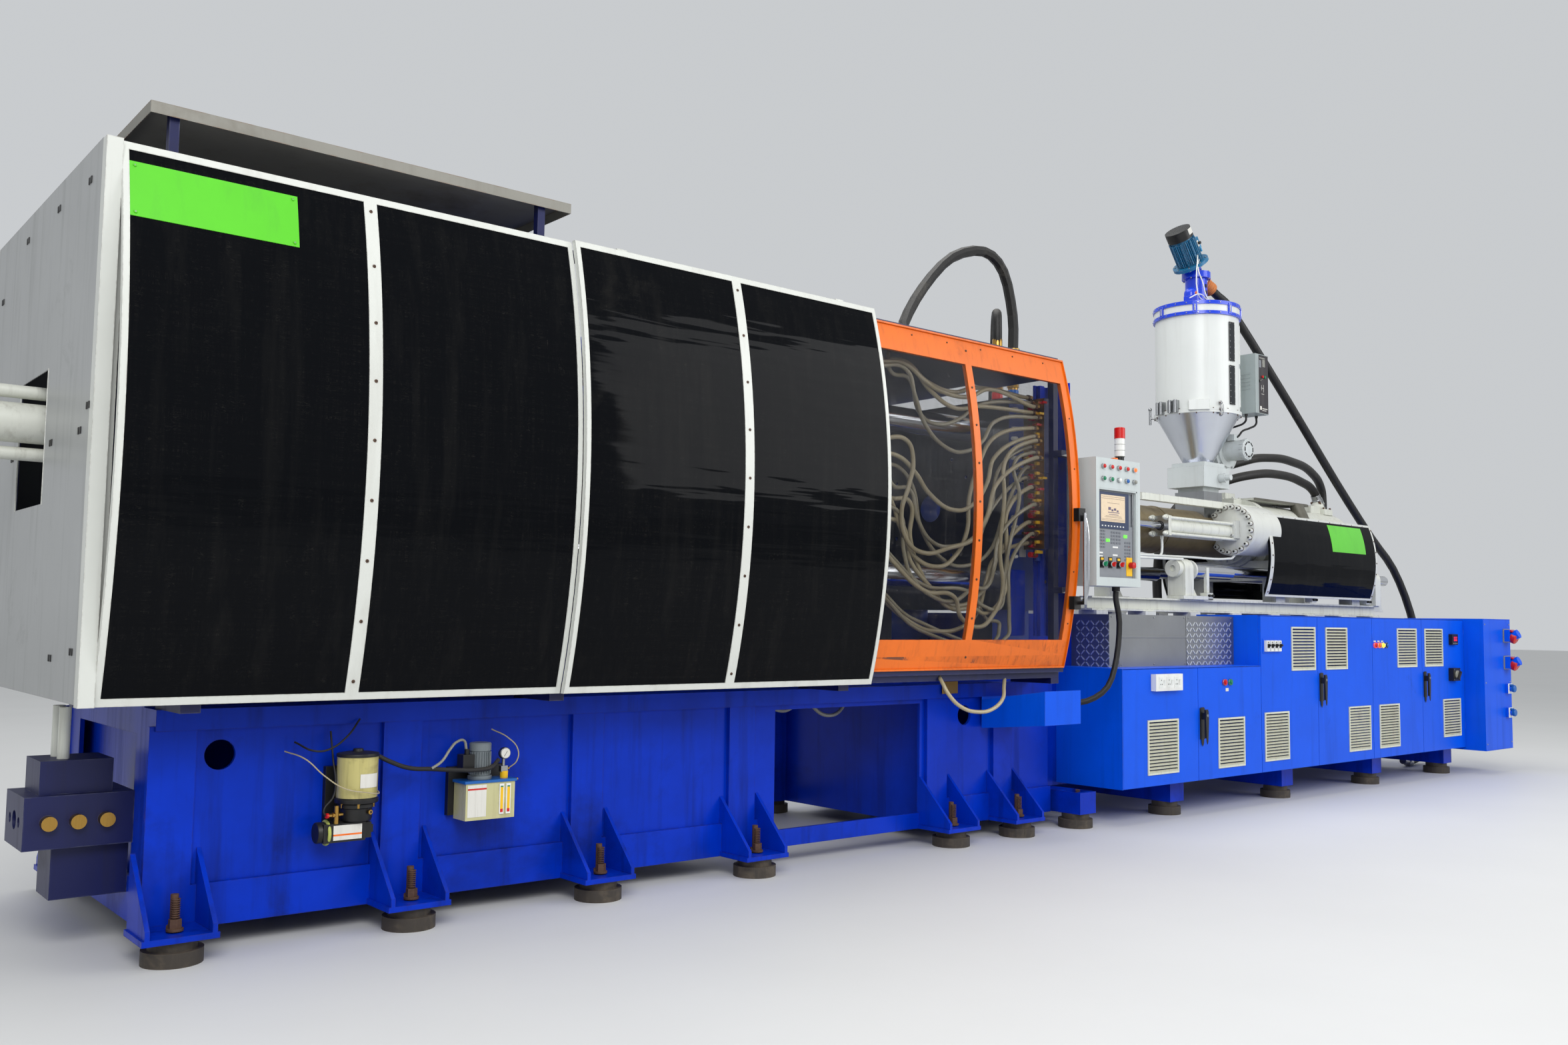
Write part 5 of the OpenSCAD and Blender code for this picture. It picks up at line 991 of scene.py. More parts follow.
def housing_details():
    parts = Solid(FLANGE_X, 0, AXIS_H)
    parts.box((.2, -.19, .37), (1.18, .15, .376), 2)
    parts.rod((1.605, -.02, .3), (1.725, -.02, .41), .062, 0, 28)
    parts.rod((1.685, -.02, .375), (1.765, -.02, .448), .05, 0, 6)
    for s in (-1, 1):
        parts.rod((1.69, .042 * s - .02, .42), (1.67, .042 * s - .02, .44), .012, 3)
    parts.box((1.605, -.15, .3), (1.775, .09, .36))
    for x in (5.32, 5.45):
        for y in (-.13, .07):
            parts.pin((x - 3.695, y, .36), "z", .018, .012, 3, 6)
    for x in (FLANGE_X + .28, FLANGE_X + .9):
        parts.donut((x - 3.695, 0, .345), (0, 1, 0), .03, .009, 1)
    parts.piece("housing_details", "carriage", "casting paint, bare steel, old steel, rusty steel", .003)


def stands():
    stands = Solid()
    for x in (2.265 + .33, HOUSE_X1 - .02, 4.4):
        stands.box((x, -.47, 1.66), (x + .09, -.4, 1.71), 1)
        stands.pins(((x + .02, -.47, 1.685), "y", -.02, .012, 0, 6), ((x + .07, -.47, 1.685), "y", -.02, .012, 0, 6))
    stands.box((2.62, -.45, 1.66), (2.66, -.42, 1.93), 1)
    for side in (-1, 1):
        spot = Vector((2.46, side * .38, 1.9))
        stands.lathe([(0, .004), (.032, .004), (.032, .018), (.084, .018), (.088, .014), (.088, 0), (0, 0)], spot,
            (-1, 0, 0), 2, 40)
        stands.rod(spot + Vector((-.0045, 0, 0)), spot + Vector((-.0065, 0, 0)), .0315, 0, 24)
        stands.rod(spot, spot + Vector((.62, 0, 0)), .066, 3, 40)
    stands.piece("limit_switches", "base", "black plastic, casting paint, rail paint, chrome", .002)


class MACHINE_OT_injection_trim(MadePiece, bpy.types.Operator):
    """Bolts, nuts, pipes and fittings of the injection unit"""
    bl_idname = "machine.injection_trim"
    bl_label = "Injection unit fittings"

    def execute(self, context):
        flange_bolts()
        flange_cap()
        cylinder_nuts()
        cylinder_pipes()
        cover_screws()
        housing_details()
        stands()
        return {"FINISHED"}


def make_rear_hoses(context):
    r = context.scene.machine_sizes.pressure_hose / 2
    near = [(5.43, -.02, 2.7), (5.36, -.01, 2.815), (5.1, 0, 2.907), (4.711, .02, 2.946), (4.254, .05, 2.908),
        (3.855, .16, 2.801), (3.56, .34, 2.64), (3.38, .46, 2.36), (3.34, .52, 1.95), (3.34, .52, 1.56)]
    far = [(5.86, .16, 2.56), (5.85, .15, 2.75), (5.8, .14, 2.9), (5.57, .12, 3.042), (5.121, .1, 3.12),
        (4.689, .1, 3.12), (4.3, .14, 3.06), (3.95, .3, 2.9), (3.78, .46, 2.6), (3.74, .54, 2.2), (3.74, .54, 1.56)]
    tubes("near_hose", "carriage", [near], r, "hydraulic hose")
    tubes("far_hose", "carriage", [far], r, "hydraulic hose")
    ends = Solid()
    for path in (near, far):
        for end, before in ((path[0], path[1]), (path[-1], path[-2])):
            end, run = Vector(end), (Vector(before) - Vector(end)).normalized()
            ends.lathe([(r * .8, -.06), (r * 1.12, -.06), (r * 1.12, 0), (r * 1.25, .004), (r * 1.25, .05),
                (r * 1.12, .055), (r * 1.1, .1), (r * .9, .1)], end, run, 0, 24)
    ends.pin((5.86, .16, 2.56), "z", -.14, .05, 1)
    ends.box((5.5, .08, 2.3), (5.92, .24, 2.44), 1)
    ends.piece("rear_hose_ends", "carriage", "bare steel, casting paint", .002)


class MACHINE_OT_rear_hoses(MadePiece, bpy.types.Operator):
    """The two thick hydraulic hoses behind the injection unit, and their fittings"""
    bl_idname = "machine.rear_hoses"
    bl_label = "Rear hydraulic hoses"

    def execute(self, context):
        make_rear_hoses(context)
        return {"FINISHED"}


def panel_screen():
    screen = Solid(0, PANEL_FACE)
    screen.boxes(((-.098, -.006, 2.085), (.252, .007, 2.338)), ((-.07, -.0075, 2.134), (.206, -.005, 2.318), 1))
    for z, x0, x1 in ((2.305, -.064, .2), (2.292, -.064, .2), (2.262, 0, .14), (2.172, -.02, .16), (2.164, -.03, .17),
            (2.151, -.064, .2), (2.142, -.064, .2)):
        screen.box((x0, -.0082, z), (x1, -.0074, z + .0022), 2)
    for x, z, w, h in ((.012, 2.215, .03, .02), (.048, 2.207, .022, .014), (.076, 2.213, .026, .016),
            (.108, 2.205, .022, .012), (.01, 2.196, .13, .005), (.02, 2.182, .11, .004)):
        screen.box((x, -.0084, z), (x + w, -.0074, z + h), 3)
    for k in range(8):
        x = -.062 + .0345 * k
        screen.box((x, -.0078, 2.1), (x + .014, -.0055, 2.108), 4)
    screen.piece("panel_screen", "control_panel", "bezel, screen, screen line, screen mark, white plastic", .0008)


def panel_keys():
    keys = Solid(0, PANEL_FACE)
    for columns, rows, x0, z0, dx, dz, w, h in ((3, 6, -.083, 2.062, .024, .022, .015, .011), (4, 4, .05, 2.055, .03,
            .024, .02, .013), (3, 6, .208, 1.99, .026, .024, .015, .012)):
        for x in [x0 + dx * column for column in range(columns)]:
            for z in [z0 - dz * row for row in range(rows)]:
                keys.box((x, -.003, z), (x + w, .001, z + h))
    for x, z in ((-.006, 1.995), (.198, 2.03)):
        keys.box((x, -.005, z), (x + .034, .001, z + .02), 1)
    for x, z in ((-.083, 2.01), (-.059, 1.986), (.246, 1.962), (.246, 1.9), (.22, 1.878)):
        keys.box((x + .004, -.0036, z + .004), (x + .009, -.0028, z + .008), 2)
    for x, z, w in ((.07, 1.955, .06), (.07, 1.9, .055), (-.088, 1.912, .044), (-.088, 1.888, .044)):
        keys.box((x, -.0015, z), (x + w, .001, z + .011), 3)
    for x in (-.105, .322):
        keys.pin((x, 0, 2.08), "y", -.003, .004, 3, 10)
    keys.piece("panel_keys", "control_panel", "key grey, green lamp, red plastic, white plastic", .0008)


def buttons():
    caps = Solid(0, PANEL_FRONT)
    for row, tints in enumerate(((1, 1, 1, 1, 2), (3, 3, 4, 5, 6))):
        for k, tint in enumerate(tints):
            x, z = PANEL_X0 + .075 + .09 * k, PANEL_Z1 - .06 - .085 * row
            caps.pins(((x, 0, z), "y", -.013, .0175, 0, 24), ((x, -.013, z), "y", -.009, .0148, tint, 24, .013))
            caps.ball((x, -.0215, z), .0129, tint, (1, .35, 1))
    caps.piece("panel_buttons", "control_panel",
        "aluminium trim, red plastic, orange lamp, green plastic, white plastic, blue plastic, grey hose", .001)


def switches():
    parts = Solid(0, PANEL_FACE, PANEL_Z0 + .15)
    for x, tint in ((PANEL_X0 + .09, 3), (PANEL_X0 + .185, 2), (PANEL_X0 + .28, 2)):
        parts.boxes(((x - .022, -.004, -.026), (x + .022, .001, .05)), ((x - .015, -.0052, .027),
            (x + .015, -.0035, .043), 1))
        parts.pins(((x, -.003, 0), "y", -.017, .0185, 0, 24), ((x, -.02, 0), "y", -.01, .016, tint, 24, .0145))
        parts.box((x - .005, -.046, -.017), (x + .005, -.028, .017), tint, tilt(25, "Y"))
    x = PANEL_X0 + .14
    parts.pin((x - .004, 0, 0), "y", -.012, .014, 0, 24)
    parts.box((x - .006, -.0135, -.006), (x - .002, -.011, .006), 5)
    x = PANEL_X1 - .105
    parts.box((x - .034, -.0035, -.075), (x + .034, .001, .055), 1)
    parts.donut((x, -.004, 0), (0, 1, 0), .022, .004, 1)
    parts.piece("panel_switches", "control_panel",
        "black plastic, yellow plastic, red plastic, green plastic, white plastic, bare steel", .001)
    cap = Solid(0, PANEL_FACE, PANEL_Z0 + .15)
    cap.lathe([(0, .031), (.011, .0305), (.019, .028), (.0225, .022), (.0225, .016), (.015, .012), (.012, 0)],
        (x, -.016, 0), (0, -1, 0))
    cap.piece("stop_button_cap", "emergency_stop", "red plastic", .001)


def cabinet_lines():
    trim = Solid()
    x0, x1, z0, z1 = PANEL_X0 + .035, PANEL_X1 - .035, PANEL_Z0 + .06, PANEL_Z1 - .21
    y = PANEL_FRONT
    trim.boxes(((x1 - .012, y + .001, z0), (x1, y + .02, z1)), ((x0, y + .001, z1 - .01), (x1, y + .018, z1)),
        ((x1 - .03, y + .016, z0), (x1 - .012, y + .022, z1), 1))
    trim.piece("panel_recess_trim", "control_panel", "panel paint, aluminium trim", .001)


def tower_lamp():
    ring = Solid(PANEL_X1 - .11, PANEL_FRONT + .09, PANEL_Z1)
    ring.lathe([(.03, 0), (.031, .012), (.018, .03), (.018, .04)], (0, 0, 0), (0, 0, 1))
    for h in (.041, .084, .127):
        ring.donut((0, 0, h), (0, 0, 1), .0358, .0016, 1)
    ring.lathes(([(.0375, .24), (.036, .246), (.02, .25), (0, .251)], (0, 0, 0), (0, 0, 1), 2),
        ([(.026, 0), (.0265, .01), (.02, .02), (.008, .026), (0, .027)], (-.08, -.01, 0), (0, 0, 1), 3))
    ring.piece("tower_lamp_rings", "control_panel", "black plastic, grey hose, red plastic, orange plastic", .001)


class MACHINE_OT_panel_details(MadePiece, bpy.types.Operator):
    """Screen, keys, buttons and switches of the control panel"""
    bl_idname = "machine.panel_details"
    bl_label = "Control panel details"

    def execute(self, context):
        panel_screen()
        panel_keys()
        buttons()
        switches()
        cabinet_lines()
        tower_lamp()
        return {"FINISHED"}


def grease_pump(x):
    pump = Solid(x, BASE_SIDE - .098)
    pump.boxes(((-.11, .09, .48), (.11, .123, .74)), ((-.06, .048, .5), (.06, .098, .6)))
    pump.lathe([(0, 0), (.066, 0), (.07, .01), (.07, .055), (.082, .06), (.082, .075), (.075, .08), (0, .08)],
        (0, 0, .505), (0, 0, 1))
    for k in range(6):
        turn = radians(60 * k + 15)
        pump.pin((.076 * cos(turn), .076 * sin(turn), .565), "z", .025, .008, 3, 6)
    pump.lathes(([(0, 0), (.094, 0), (.096, .006), (.096, .018), (.09, .022), (.09, .024), (0, .024)], (0, 0, .585),
        (0, 0, 1), 0, 40), ([(.089, 0), (.09, .01), (.09, .18), (.089, .19)], (0, 0, .607), (0, 0, 1), 1, 48),
        ([(0, 0), (.093, 0), (.094, .006), (.092, .014), (.06, .02), (.024, .022), (.022, .034), (0, .036)],
        (0, 0, .79), (0, 0, 1), 0, 40), ([(0, 0), (.044, 0), (.047, .004), (.047, .19), (.044, .195), (0, .195)],
        (-.18, .01, .46), (1, 0, 0)))
    pump.boxes(((-.16, -.042, .418), (.03, .05, .5)), ((.03, -.03, .425), (.062, .05, .495)),
        ((.06, -.012, .445), (.078, .02, .48)), ((-.118, -.0455, .428), (.012, -.0415, .493), 2),
        ((-.118, -.0458, .447), (.012, -.0415, .455), 4))
    pump.donut((-.135, .004, .459), (1, 0, 0), .05, .0075, 5)
    grid = []
    for row in range(2):
        grid.append([(.0915 * sin(radians(a)), -.0915 * cos(radians(a)), .062 * row + .655) for a in range(-14, 47,
            6)])
    pump.sheet(grid, .0012, 2)
    pump.rod((-.075, -.03, .54), (-.145, -.045, .54), .0085, 3, 6)
    pump.pin((-.105, -.037, .5), "z", .08, .011, 3, 12)
    pump.rod((-.12, -.04, .54), (-.128, -.042, .54), .0125, 3, 6)
    pump.rod((-.145, -.045, .54), (-.155, -.047, .54), .0115, 6, 12)
    pump.rod((.034, -.066, .545), (.036, -.078, .545), .0115, 3, 6)
    pump.pin((.036, -.077, .545), "y", -.0015, .006, 0, 12)
    pump.piece("grease_pump", "base",
        "black plastic, reservoir, bare label, brass, orange plastic, tie green, red plastic", .0015,
        ("lubricators",))


def oil_pump(x):
    pump = Solid(x, BASE_SIDE)
    pump.boxes(((-.16, -.008, .47), (.14, .025, .7)), ((-.13, -.134, .455), (.13, -.01, .63), 1),
        ((-.138, -.14, .629), (.138, -.006, .642), 2), ((-.12, -.1352, .47), (-.022, -.133, .622), 3),
        ((-.12, -.1358, .598), (-.022, -.133, .606), 7))
    for at in (.058, .094):
        pump.boxes(((at - .012, -.1385, .475), (at + .012, -.133, .62), 5), ((at - .007, -.14, .5),
            (at + .007, -.138, .604), 4), ((at - .007, -.1402, .484), (at + .007, -.138, .5), 7),
            ((at - .007, -.1402, .604), (at + .007, -.138, .61), 8))
    pump.lathe([(0, 0), (.056, 0), (.058, .004), (.058, .018), (.048, .022), (.048, .135), (.053, .138), (.053, .17),
        (.048, .176), (0, .178)], (-.03, -.072, .642), (0, 0, 1), 6, 36)
    for k in range(24):
        turn = 2 * pi * k / 24
        pump.box((.05 * cos(turn) - .0316, .05 * sin(turn) - .077, .668), (.05 * cos(turn) - .0284,
            .05 * sin(turn) - .067, .775), 6)
    pump.box((-.135, -.107, .7), (-.075, -.042, .765))
    pump.pins(((-.105, -.082, .765), "z", .025, .012), ((.095, -.085, .64), "z", .035, .019, 4, 24, .02))
    pump.box((.073, -.097, .672), (.109, -.073, .7), 9)
    pump.pin((.09, -.085, .7), "z", .035, .008, 9)
    pump.lathe([(0, 0), (.028, 0), (.029, .004), (.029, .02), (.026, .024), (0, .024)], (.09, -.083, .762),
        (0, -1, 0), 9)
    pump.pin((.09, -.106, .762), "y", -.0025, .0235, 3, 28)
    pump.box((.089, -.1095, .745), (.091, -.1085, .775), 0, Matrix.Rotation(.6, 3, "Y"))
    pump.pins(((.14, -.114, .635), "x", .015, .007, 10, 12), ((.109, -.085, .686), "x", .012, .008, 10, 6))
    pump.piece("oil_pump", "base", "black plastic, oil tank, blue plastic, bare label, yellow plastic, white "
        "plastic, motor grey, red plastic, green plastic, bare steel, brass", .0012)


def grease_lines(gx):
    home = (gx, BASE_SIDE - .12, 0)
    tubes("grease_hose", "base", [[(.085, .02, .79), (.15, 0, .755), (.23, -.01, .725), (.35, -.01, .712),
        (.47, -.015, .7), (.58, -.015, .694), (.66, 0, .702), (.71, .03, .73)]], .0105, "black rubber",
        home=home)
    tubes("oil_feed", "base", [[(.34, -.018, .716), (.39, -.015, .745), (.44, 0, .8), (.48, .02, .828),
        (.53, .04, .83), (.545, .045, .79)]], .0065, "grey hose", home=home)
    tubes("lube_tubes", "base", [[(-.155, -.02, .54), (-.165, -.02, .56), (-.12, -.01, .62), (-.1, .02, .68),
        (-.1, .06, .78), (-.1, .1, .9)], [(-.265, .09, .86), (-.2, 0, .824), (-.14, 0, .83), (-.05, .03, .88),
        (.03, .09, .95)]], .0045, "black rubber", home=home)
    tubes("clear_tubes", "base", [[(-.3, .11, .82), (-.24, .02, .79), (-.166, -.02, .715), (-.085, -.055, .657),
        (0, -.09, .638), (.06, -.07, .628), (.09, 0, .63)], [(.77, .035, .686), (.795, 0, .725), (.798, 0, .78),
        (.76, .03, .835), (.7, .09, .875)]], .003, "cream hose", home=home)


class MACHINE_OT_lubricators(MadePiece, bpy.types.Operator):
    """The grease pump and the oil pump on the side of the clamp base"""
    bl_idname = "machine.lubricators"
    bl_label = "Lubricators"

    def execute(self, context):
        grease_pump(BASE_X0 + .84)
        oil_pump(BASE_X0 + 1.49)
        grease_lines(BASE_X0 + .84)
        return {"FINISHED"}


def around(turn, r, z):
    """A spot round the hopper's axis."""
    return Vector((THROAT_X + r * cos(radians(turn)), r * sin(radians(turn)), z))


def outward(turn):
    return around(turn, 1, 0) - around(turn, 0, 0)


def barrel_trim():
    parts = Solid()
    for turn in (-207, -199, -184, -176):
        out = outward(turn)
        spot = around(turn, HOPPER_R + .02, CONE_Z1 + .045)
        side = out.cross(rise(1))
        face = axes(out, side, rise(1))
        parts.block(spot, (.024, .022, .055), 0, face)
        parts.rod(spot + out * .02 - rise(.06), spot + out * .02 + rise(.06), .012)
        for h in (-.045, .045):
            parts.rod(spot + out * .012 + rise(h), spot + out * .026 + rise(h), .009, 1, 6)
    spot = around(-238, HOPPER_R + .05, CONE_Z1 - .01)
    parts.rod(spot + rise(-.06), spot + rise(.08), .011)
    parts.ball(spot + rise(.085), .018, 0)
    parts.rod(around(-238, HOPPER_R, CONE_Z1 - .01), spot, .01)
    for h in (.065, .005, -.04):
        spot = around(-117, HOPPER_R + .012, CONE_Z1 + h)
        parts.ball(spot, .019, 0, (1, .8, 1))
        parts.rod(spot + Vector((-.02, -.004, 0)), spot + Vector((.02, -.004, 0)), .006, 1)
    spot = around(-117, HOPPER_R + .02, CONE_Z1 + .05)
    parts.rod(spot + Vector((-.02, -.01, 0)), spot + Vector((-.02, -.015, -.09)), .004)
    parts.rod(spot + Vector((.02, -.01, 0)), spot + Vector((.02, -.015, -.09)), .004)
    for k in range(16):
        spot = around(22.5 * k + 8, HOPPER_R + .007, CONE_Z1 - .02)
        parts.rod(spot - rise(.012), spot + rise(.042), .0055, 1, 8)
    parts.piece("hopper_hinges", "carriage", "bare steel, rusty steel", .001)


def windows():
    marks = Solid()
    turn = -95
    out = outward(turn)
    side = out.cross(rise(1))
    face = axes(out, side, rise(1))
    for k in range(2):
        mid = around(turn, HOPPER_R + .0065, CONE_Z1 + .24 + .4 * k)
        marks.box(mid - Vector((.004, .03, .17)), mid + Vector((0, .03, .17)), 3, face)
        for s in (-1, 1):
            spot = mid + side * .031 * s
            marks.block(spot, (.002, .007, .18), 0, face)
            spot = mid + rise(.17 * s)
            marks.block(spot, (.002, .036, .01), 0, face)
        for h in range(-3, 4):
            for s in (-1, 1):
                spot = mid + side * .031 * s + rise(.055 * h) + out * .002
                marks.rod(spot, spot + out * .003, .0045, 1, 8)
        spot = mid + out * .001 + side * .008
        marks.block(spot, (.001, .006, .14), 2, face)
    marks.piece("hopper_windows", "carriage", "black plastic, bare steel, white plastic, dark glass", .0006)


def loader_trim():
    parts = Solid()
    for h in (.015, .108):
        for k in range(24):
            spot = around(15 * k + 4, HOPPER_R + .016, HOPPER_Z1 + h)
            parts.rod(spot, spot + outward(15 * k + 4) * .004, .006, 1, 8)
    for turn in (-60, -100, -150, 160, 90, 30):
        out = outward(turn)
        spot = around(turn, HOPPER_R + .013, HOPPER_Z1 + .06)
        face = axes(out, out.cross(rise(1)), rise(1))
        parts.block(spot, (.008, .02, .05), 0, face)
        parts.rod(spot + rise(.03) + out * .008, spot - rise(.03) + out * .008, .006, 1)
    parts.home = THROAT_X, 0, HOPPER_Z1
    parts.lathe([(.1, 0), (.128, 0), (.13, .004), (.13, .02), (.104, .024), (.1, .03)], (0, 0, .125), (0, 0, 1), 0,
        36)
    for k in range(8):
        turn = radians(45 * k + 10)
        parts.pins(((.116 * cos(turn), .116 * sin(turn), .14), "z", .016, .008, 1, 6),
            ((.12 * cos(turn), .12 * sin(turn), .4), "z", .08, .008, 1, 6))
    for z in (.2, .26, .32):
        parts.box((-.012, -.106, z), (.012, -.09, z + .03), 2)
    parts.box((-.26, -.12, .15), (-.18, -.03, .2))
    parts.pin((-.19, -.125, .23), "y", .015, .018, 3)
    parts.piece("loader_fittings", "carriage", "loader paint, bare steel, black plastic, orange plastic", .0015)
    loader_motor()
    elbow_tape()


def loader_motor():
    out = LOADER_OUT
    motor = Solid(*LOADER_FOOT + out * .129)
    across = Vector((cos(LOADER_LEAN), 0, -sin(LOADER_LEAN)))
    for k in range(8):
        turn = radians(45 * k + 22)
        spot = across * .145 * cos(turn) + Vector((0, .145 * sin(turn), 0))
        motor.rod(spot - out * .008, spot + out * .036, .009, 1, 6)
    for k in range(40):
        turn = 2 * pi * k / 40
        reach = across * cos(turn) + Vector((0, sin(turn), 0))
        spot = reach * .106 + out * .15
        face = axes(reach, out.cross(reach), out)
        if .7 <= turn <= 2 * pi - .7:
            motor.block(spot, (.014, .0016, .105), 0, face)
    hood = out * .278
    motor.lathe([(.104, 0), (.118, .002), (.119, .07), (.112, .088), (.09, .094), (0, .094)], hood, out, 2, 36)
    for ring in (.03, .055, .08):
        for k in range(int(ring * 260)):
            turn = 2 * pi * k / int(ring * 260)
            spot = hood + out * .0935 + across * ring * cos(turn) + Vector((0, ring * sin(turn), 0))
            motor.rod(spot, spot + out * .0015, .0045, 3, 6)
    box = across * .1 + out * .155
    face = axes(across, Vector((0, 1, 0)), out)
    motor.box(box + Vector((.045, -.072, -.058)), box + Vector((.062, .072, .058)), 4, face)
    for s in (-1, 1):
        motor.rod(box + across * .03 + Vector((0, s * .07, 0)), box + across * .03 + Vector((0, s * .095, 0)), .014,
            3)
    spot = box + Vector((0, -.0735, 0))
    motor.box(spot + Vector((-.03, -.001, -.03)), spot + Vector((.035, .002, .03)), 5, face)
    spot = out * .33 + Vector((0, -.119, 0))
    motor.box(spot + Vector((-.03, -.002, -.025)), spot + Vector((.03, .004, .03)), 5, face)
    motor.piece("loader_motor_details", "carriage",
        "motor paint, bare steel, black plastic, dark glass, motor box, bare label", .0012)


def elbow_tape():
    tape = Solid(*ELBOW_FOOT)
    profile = []
    for k in range(30):
        wave = .0022 * sin(k * 1.9) + .0016 * sin(k * 3.3)
        profile.append((.0635 + wave + .003 * (k % 4 == 0), .095 + .0048 * k))
    tape.lathe(profile, (0, 0, 0), ELBOW, 0, 36)
    tape.piece("elbow_tape", "carriage", "tape", 0)
    clamp = Solid(*ELBOW_FOOT)
    clamp.donut(ELBOW * .09, ELBOW, .064, .006)
    clamp.donut(ELBOW * .236, ELBOW, .046, .006, 1)
    clamp.piece("elbow_clamps", "carriage", "bare steel, black rubber", 0)


def dryer_trim():
    parts = Solid(THROAT_X + .4, -.357, CONE_Z1 + .046)
    parts.box((.063, -.0012, .004), (.2275, .0005, .544))
    for x, z, w, h, tint in ((.13, .44, .045, .07, 1), (.075, .515, .1, .012, 1), (.08, .03, .03, .035, 2),
            (.12, .04, .09, .008, 2), (.12, .024, .07, .006, 2), (.1, .235, .05, .004, 2), (.11, .215, .004, .05, 2),
            (.145, .2, .004, .07, 2), (.105, .18, .05, .004, 2)):
        parts.box((x, -.0022, z), (x + w, -.0008, z + h), tint)
    for x, tint in ((.125, 3), (.165, 4)):
        parts.pin((x, 0, .345), "y", -.012, .013, tint)
    parts.pin((.078, 0, .3), "y", -.008, .012, 5)
    parts.rod((.078, -.006, .3), (.078, -.03, .312), .004, 1, 12)
    parts.box((.07, -.0025, .43), (.105, -.0008, .5), 6)
    for k in range(5):
        parts.box((-.004, .05, -.035 * k + .36), (.002, .18, -.035 * k + .374), 7)
    for x in (.02, .2):
        parts.pin((x, .107, -.004), "z", -.022, .014, 5)
    parts.piece("dryer_face", "carriage",
        "panel black, grey hose, bare label, red plastic, green plastic, black plastic, panel face, dryer paint",
        .0006)


def blower_cap():
    blower = Solid(THROAT_X + .39, -.28, CONE_Z0 + .15)
    blower.lathe([(0, .012), (.05, .012), (.082, .008), (.088, 0), (.096, -.004), (.097, -.02), (.095, -.03)],
        (0, 0, 0), (0, -1, 0), 0, 40)
    for k in range(8):
        turn = 2 * pi * k / 8
        spot = Vector((.067 * cos(turn), -.0105, .067 * sin(turn)))
        face = axes(Vector((-sin(turn), 0, cos(turn))), Vector((0, 1, 0)), Vector((cos(turn), 0, sin(turn))))
        blower.box(spot - Vector((.02, .003, .006)), spot + Vector((.02, .001, .006)), 1, face)
    for k in range(10):
        turn = 2 * pi * k / 10 + .2
        rim = Vector((.168 * cos(turn), .22, .168 * sin(turn)))
        blower.rod(rim, rim - Vector((0, .012, 0)), .009, 2, 6)
    blower.box((-.05, .11, .09), (.03, .18, .15))
    blower.piece("blower_cap", "carriage", "blower paint, black plastic, bare steel", .001)


def cables():
    tubes("dryer_cables", "carriage", [[(.6, -.25, -.86), (.59, -.25, -.92), (.53, -.22, -.96), (.46, -.19, -.99),
        (.4, -.17, -1.05), (.385, -.15, -1.06)], [(.42, -.25, -.86), (.42, -.24, -.91), (.4, -.16, -.95),
        (.39, -.06, -.96)]], .0095, "black rubber", home=(THROAT_X, 0, HOPPER_Z1))
    tubes("loader_cables", "carriage", [[(-.13, -.1, .62), (-.2, -.14, .52), (-.235, -.15, .38), (-.23, -.15, .27),
        (-.2, -.16, .18), (-.12, -.2, .132)], [(-.1, -.1, .6), (-.17, -.13, .45), (-.13, -.15, .33), (-.1, -.17, .2),
        (-.06, -.2, .132)], [(-.32, -.13, .16), (-.24, -.18, .2), (-.14, -.19, .17), (-.04, -.2, .132),
        (.12, -.26, .131), (.3, -.24, .131), (.392, -.15, .12), (.4, -.14, -.3), (.42, -.13, -.58)]], .0055,
        "white plastic", home=(THROAT_X, 0, HOPPER_Z1))


class MACHINE_OT_hopper_trim(MadePiece, bpy.types.Operator):
    """Hinges, latch, windows, motor and cables of the hopper"""
    bl_idname = "machine.hopper_trim"
    bl_label = "Hopper fittings"

    def execute(self, context):
        barrel_trim()
        windows()
        loader_trim()
        dryer_trim()
        blower_cap()
        cables()
        return {"FINISHED"}


def make_cabinet_details():
    socket_plate(DOOR_X[0] + .351)
    small_buttons(DOOR_X[1] + .365)
    breakers(DOOR_X[2] + .05)
    door_lamps(DOOR_X[4] + .05)
    door_meter(DOOR_X[5])
    for k, x, z in ((2, DOOR_X[1] + .019, .569), (4, DOOR_X[3] + .022, .8), (6, DOOR_X[5] + .022, .78)):
        door_handle("door_%d" % k, "door_%d_handle" % k, x, z)
    power_sockets(6.775)
    tread()


def socket_plate(x):
    parts = Solid(x, CAB_Y - .042, LOW_TOP - .101)
    parts.box((.006, -.003, -.055), (.339, .002, .055))
    for k in range(3):
        left = .03 + .098 * k
        parts.boxes(((left, -.0065, -.042), (left + .088, -.002, .042)), ((left + .006, -.0075, -.036),
            (left + .05, -.006, .036), 1))
        # The black discs on each socket face are painted shade of its pin holes.
        for px, pz in ((.028, .018), (.018, -.012), (.038, -.012)):
            parts.pin((left + px, -.0074, pz), "y", -.0008, .0045, 2, 10)
        parts.box((left + .058, -.011, -.02), (left + .08, -.006, .02), 1, tilt(8, "X"))
    parts.piece("door_1_sockets", "door_1", "white plastic, hopper paint, black plastic", .0015)


def small_buttons(x):
    parts = Solid(x, CAB_Y, LOW_TOP - .119)
    for k in range(2):
        spot = Vector((.08 * k, -.016, 0))
        parts.donut(spot + Vector((0, .008, 0)), (0, 1, 0), .021, .004, 2)
        parts.rod(spot, spot + Vector((0, -.007, 0)), .0135, k, 20, .012)
    parts.box((.02, -.003, -.07), (.06, .001, -.045), 3)
    parts.piece("door_2_buttons", "door_2", "red plastic, green plastic, aluminium trim, bare label", .001)


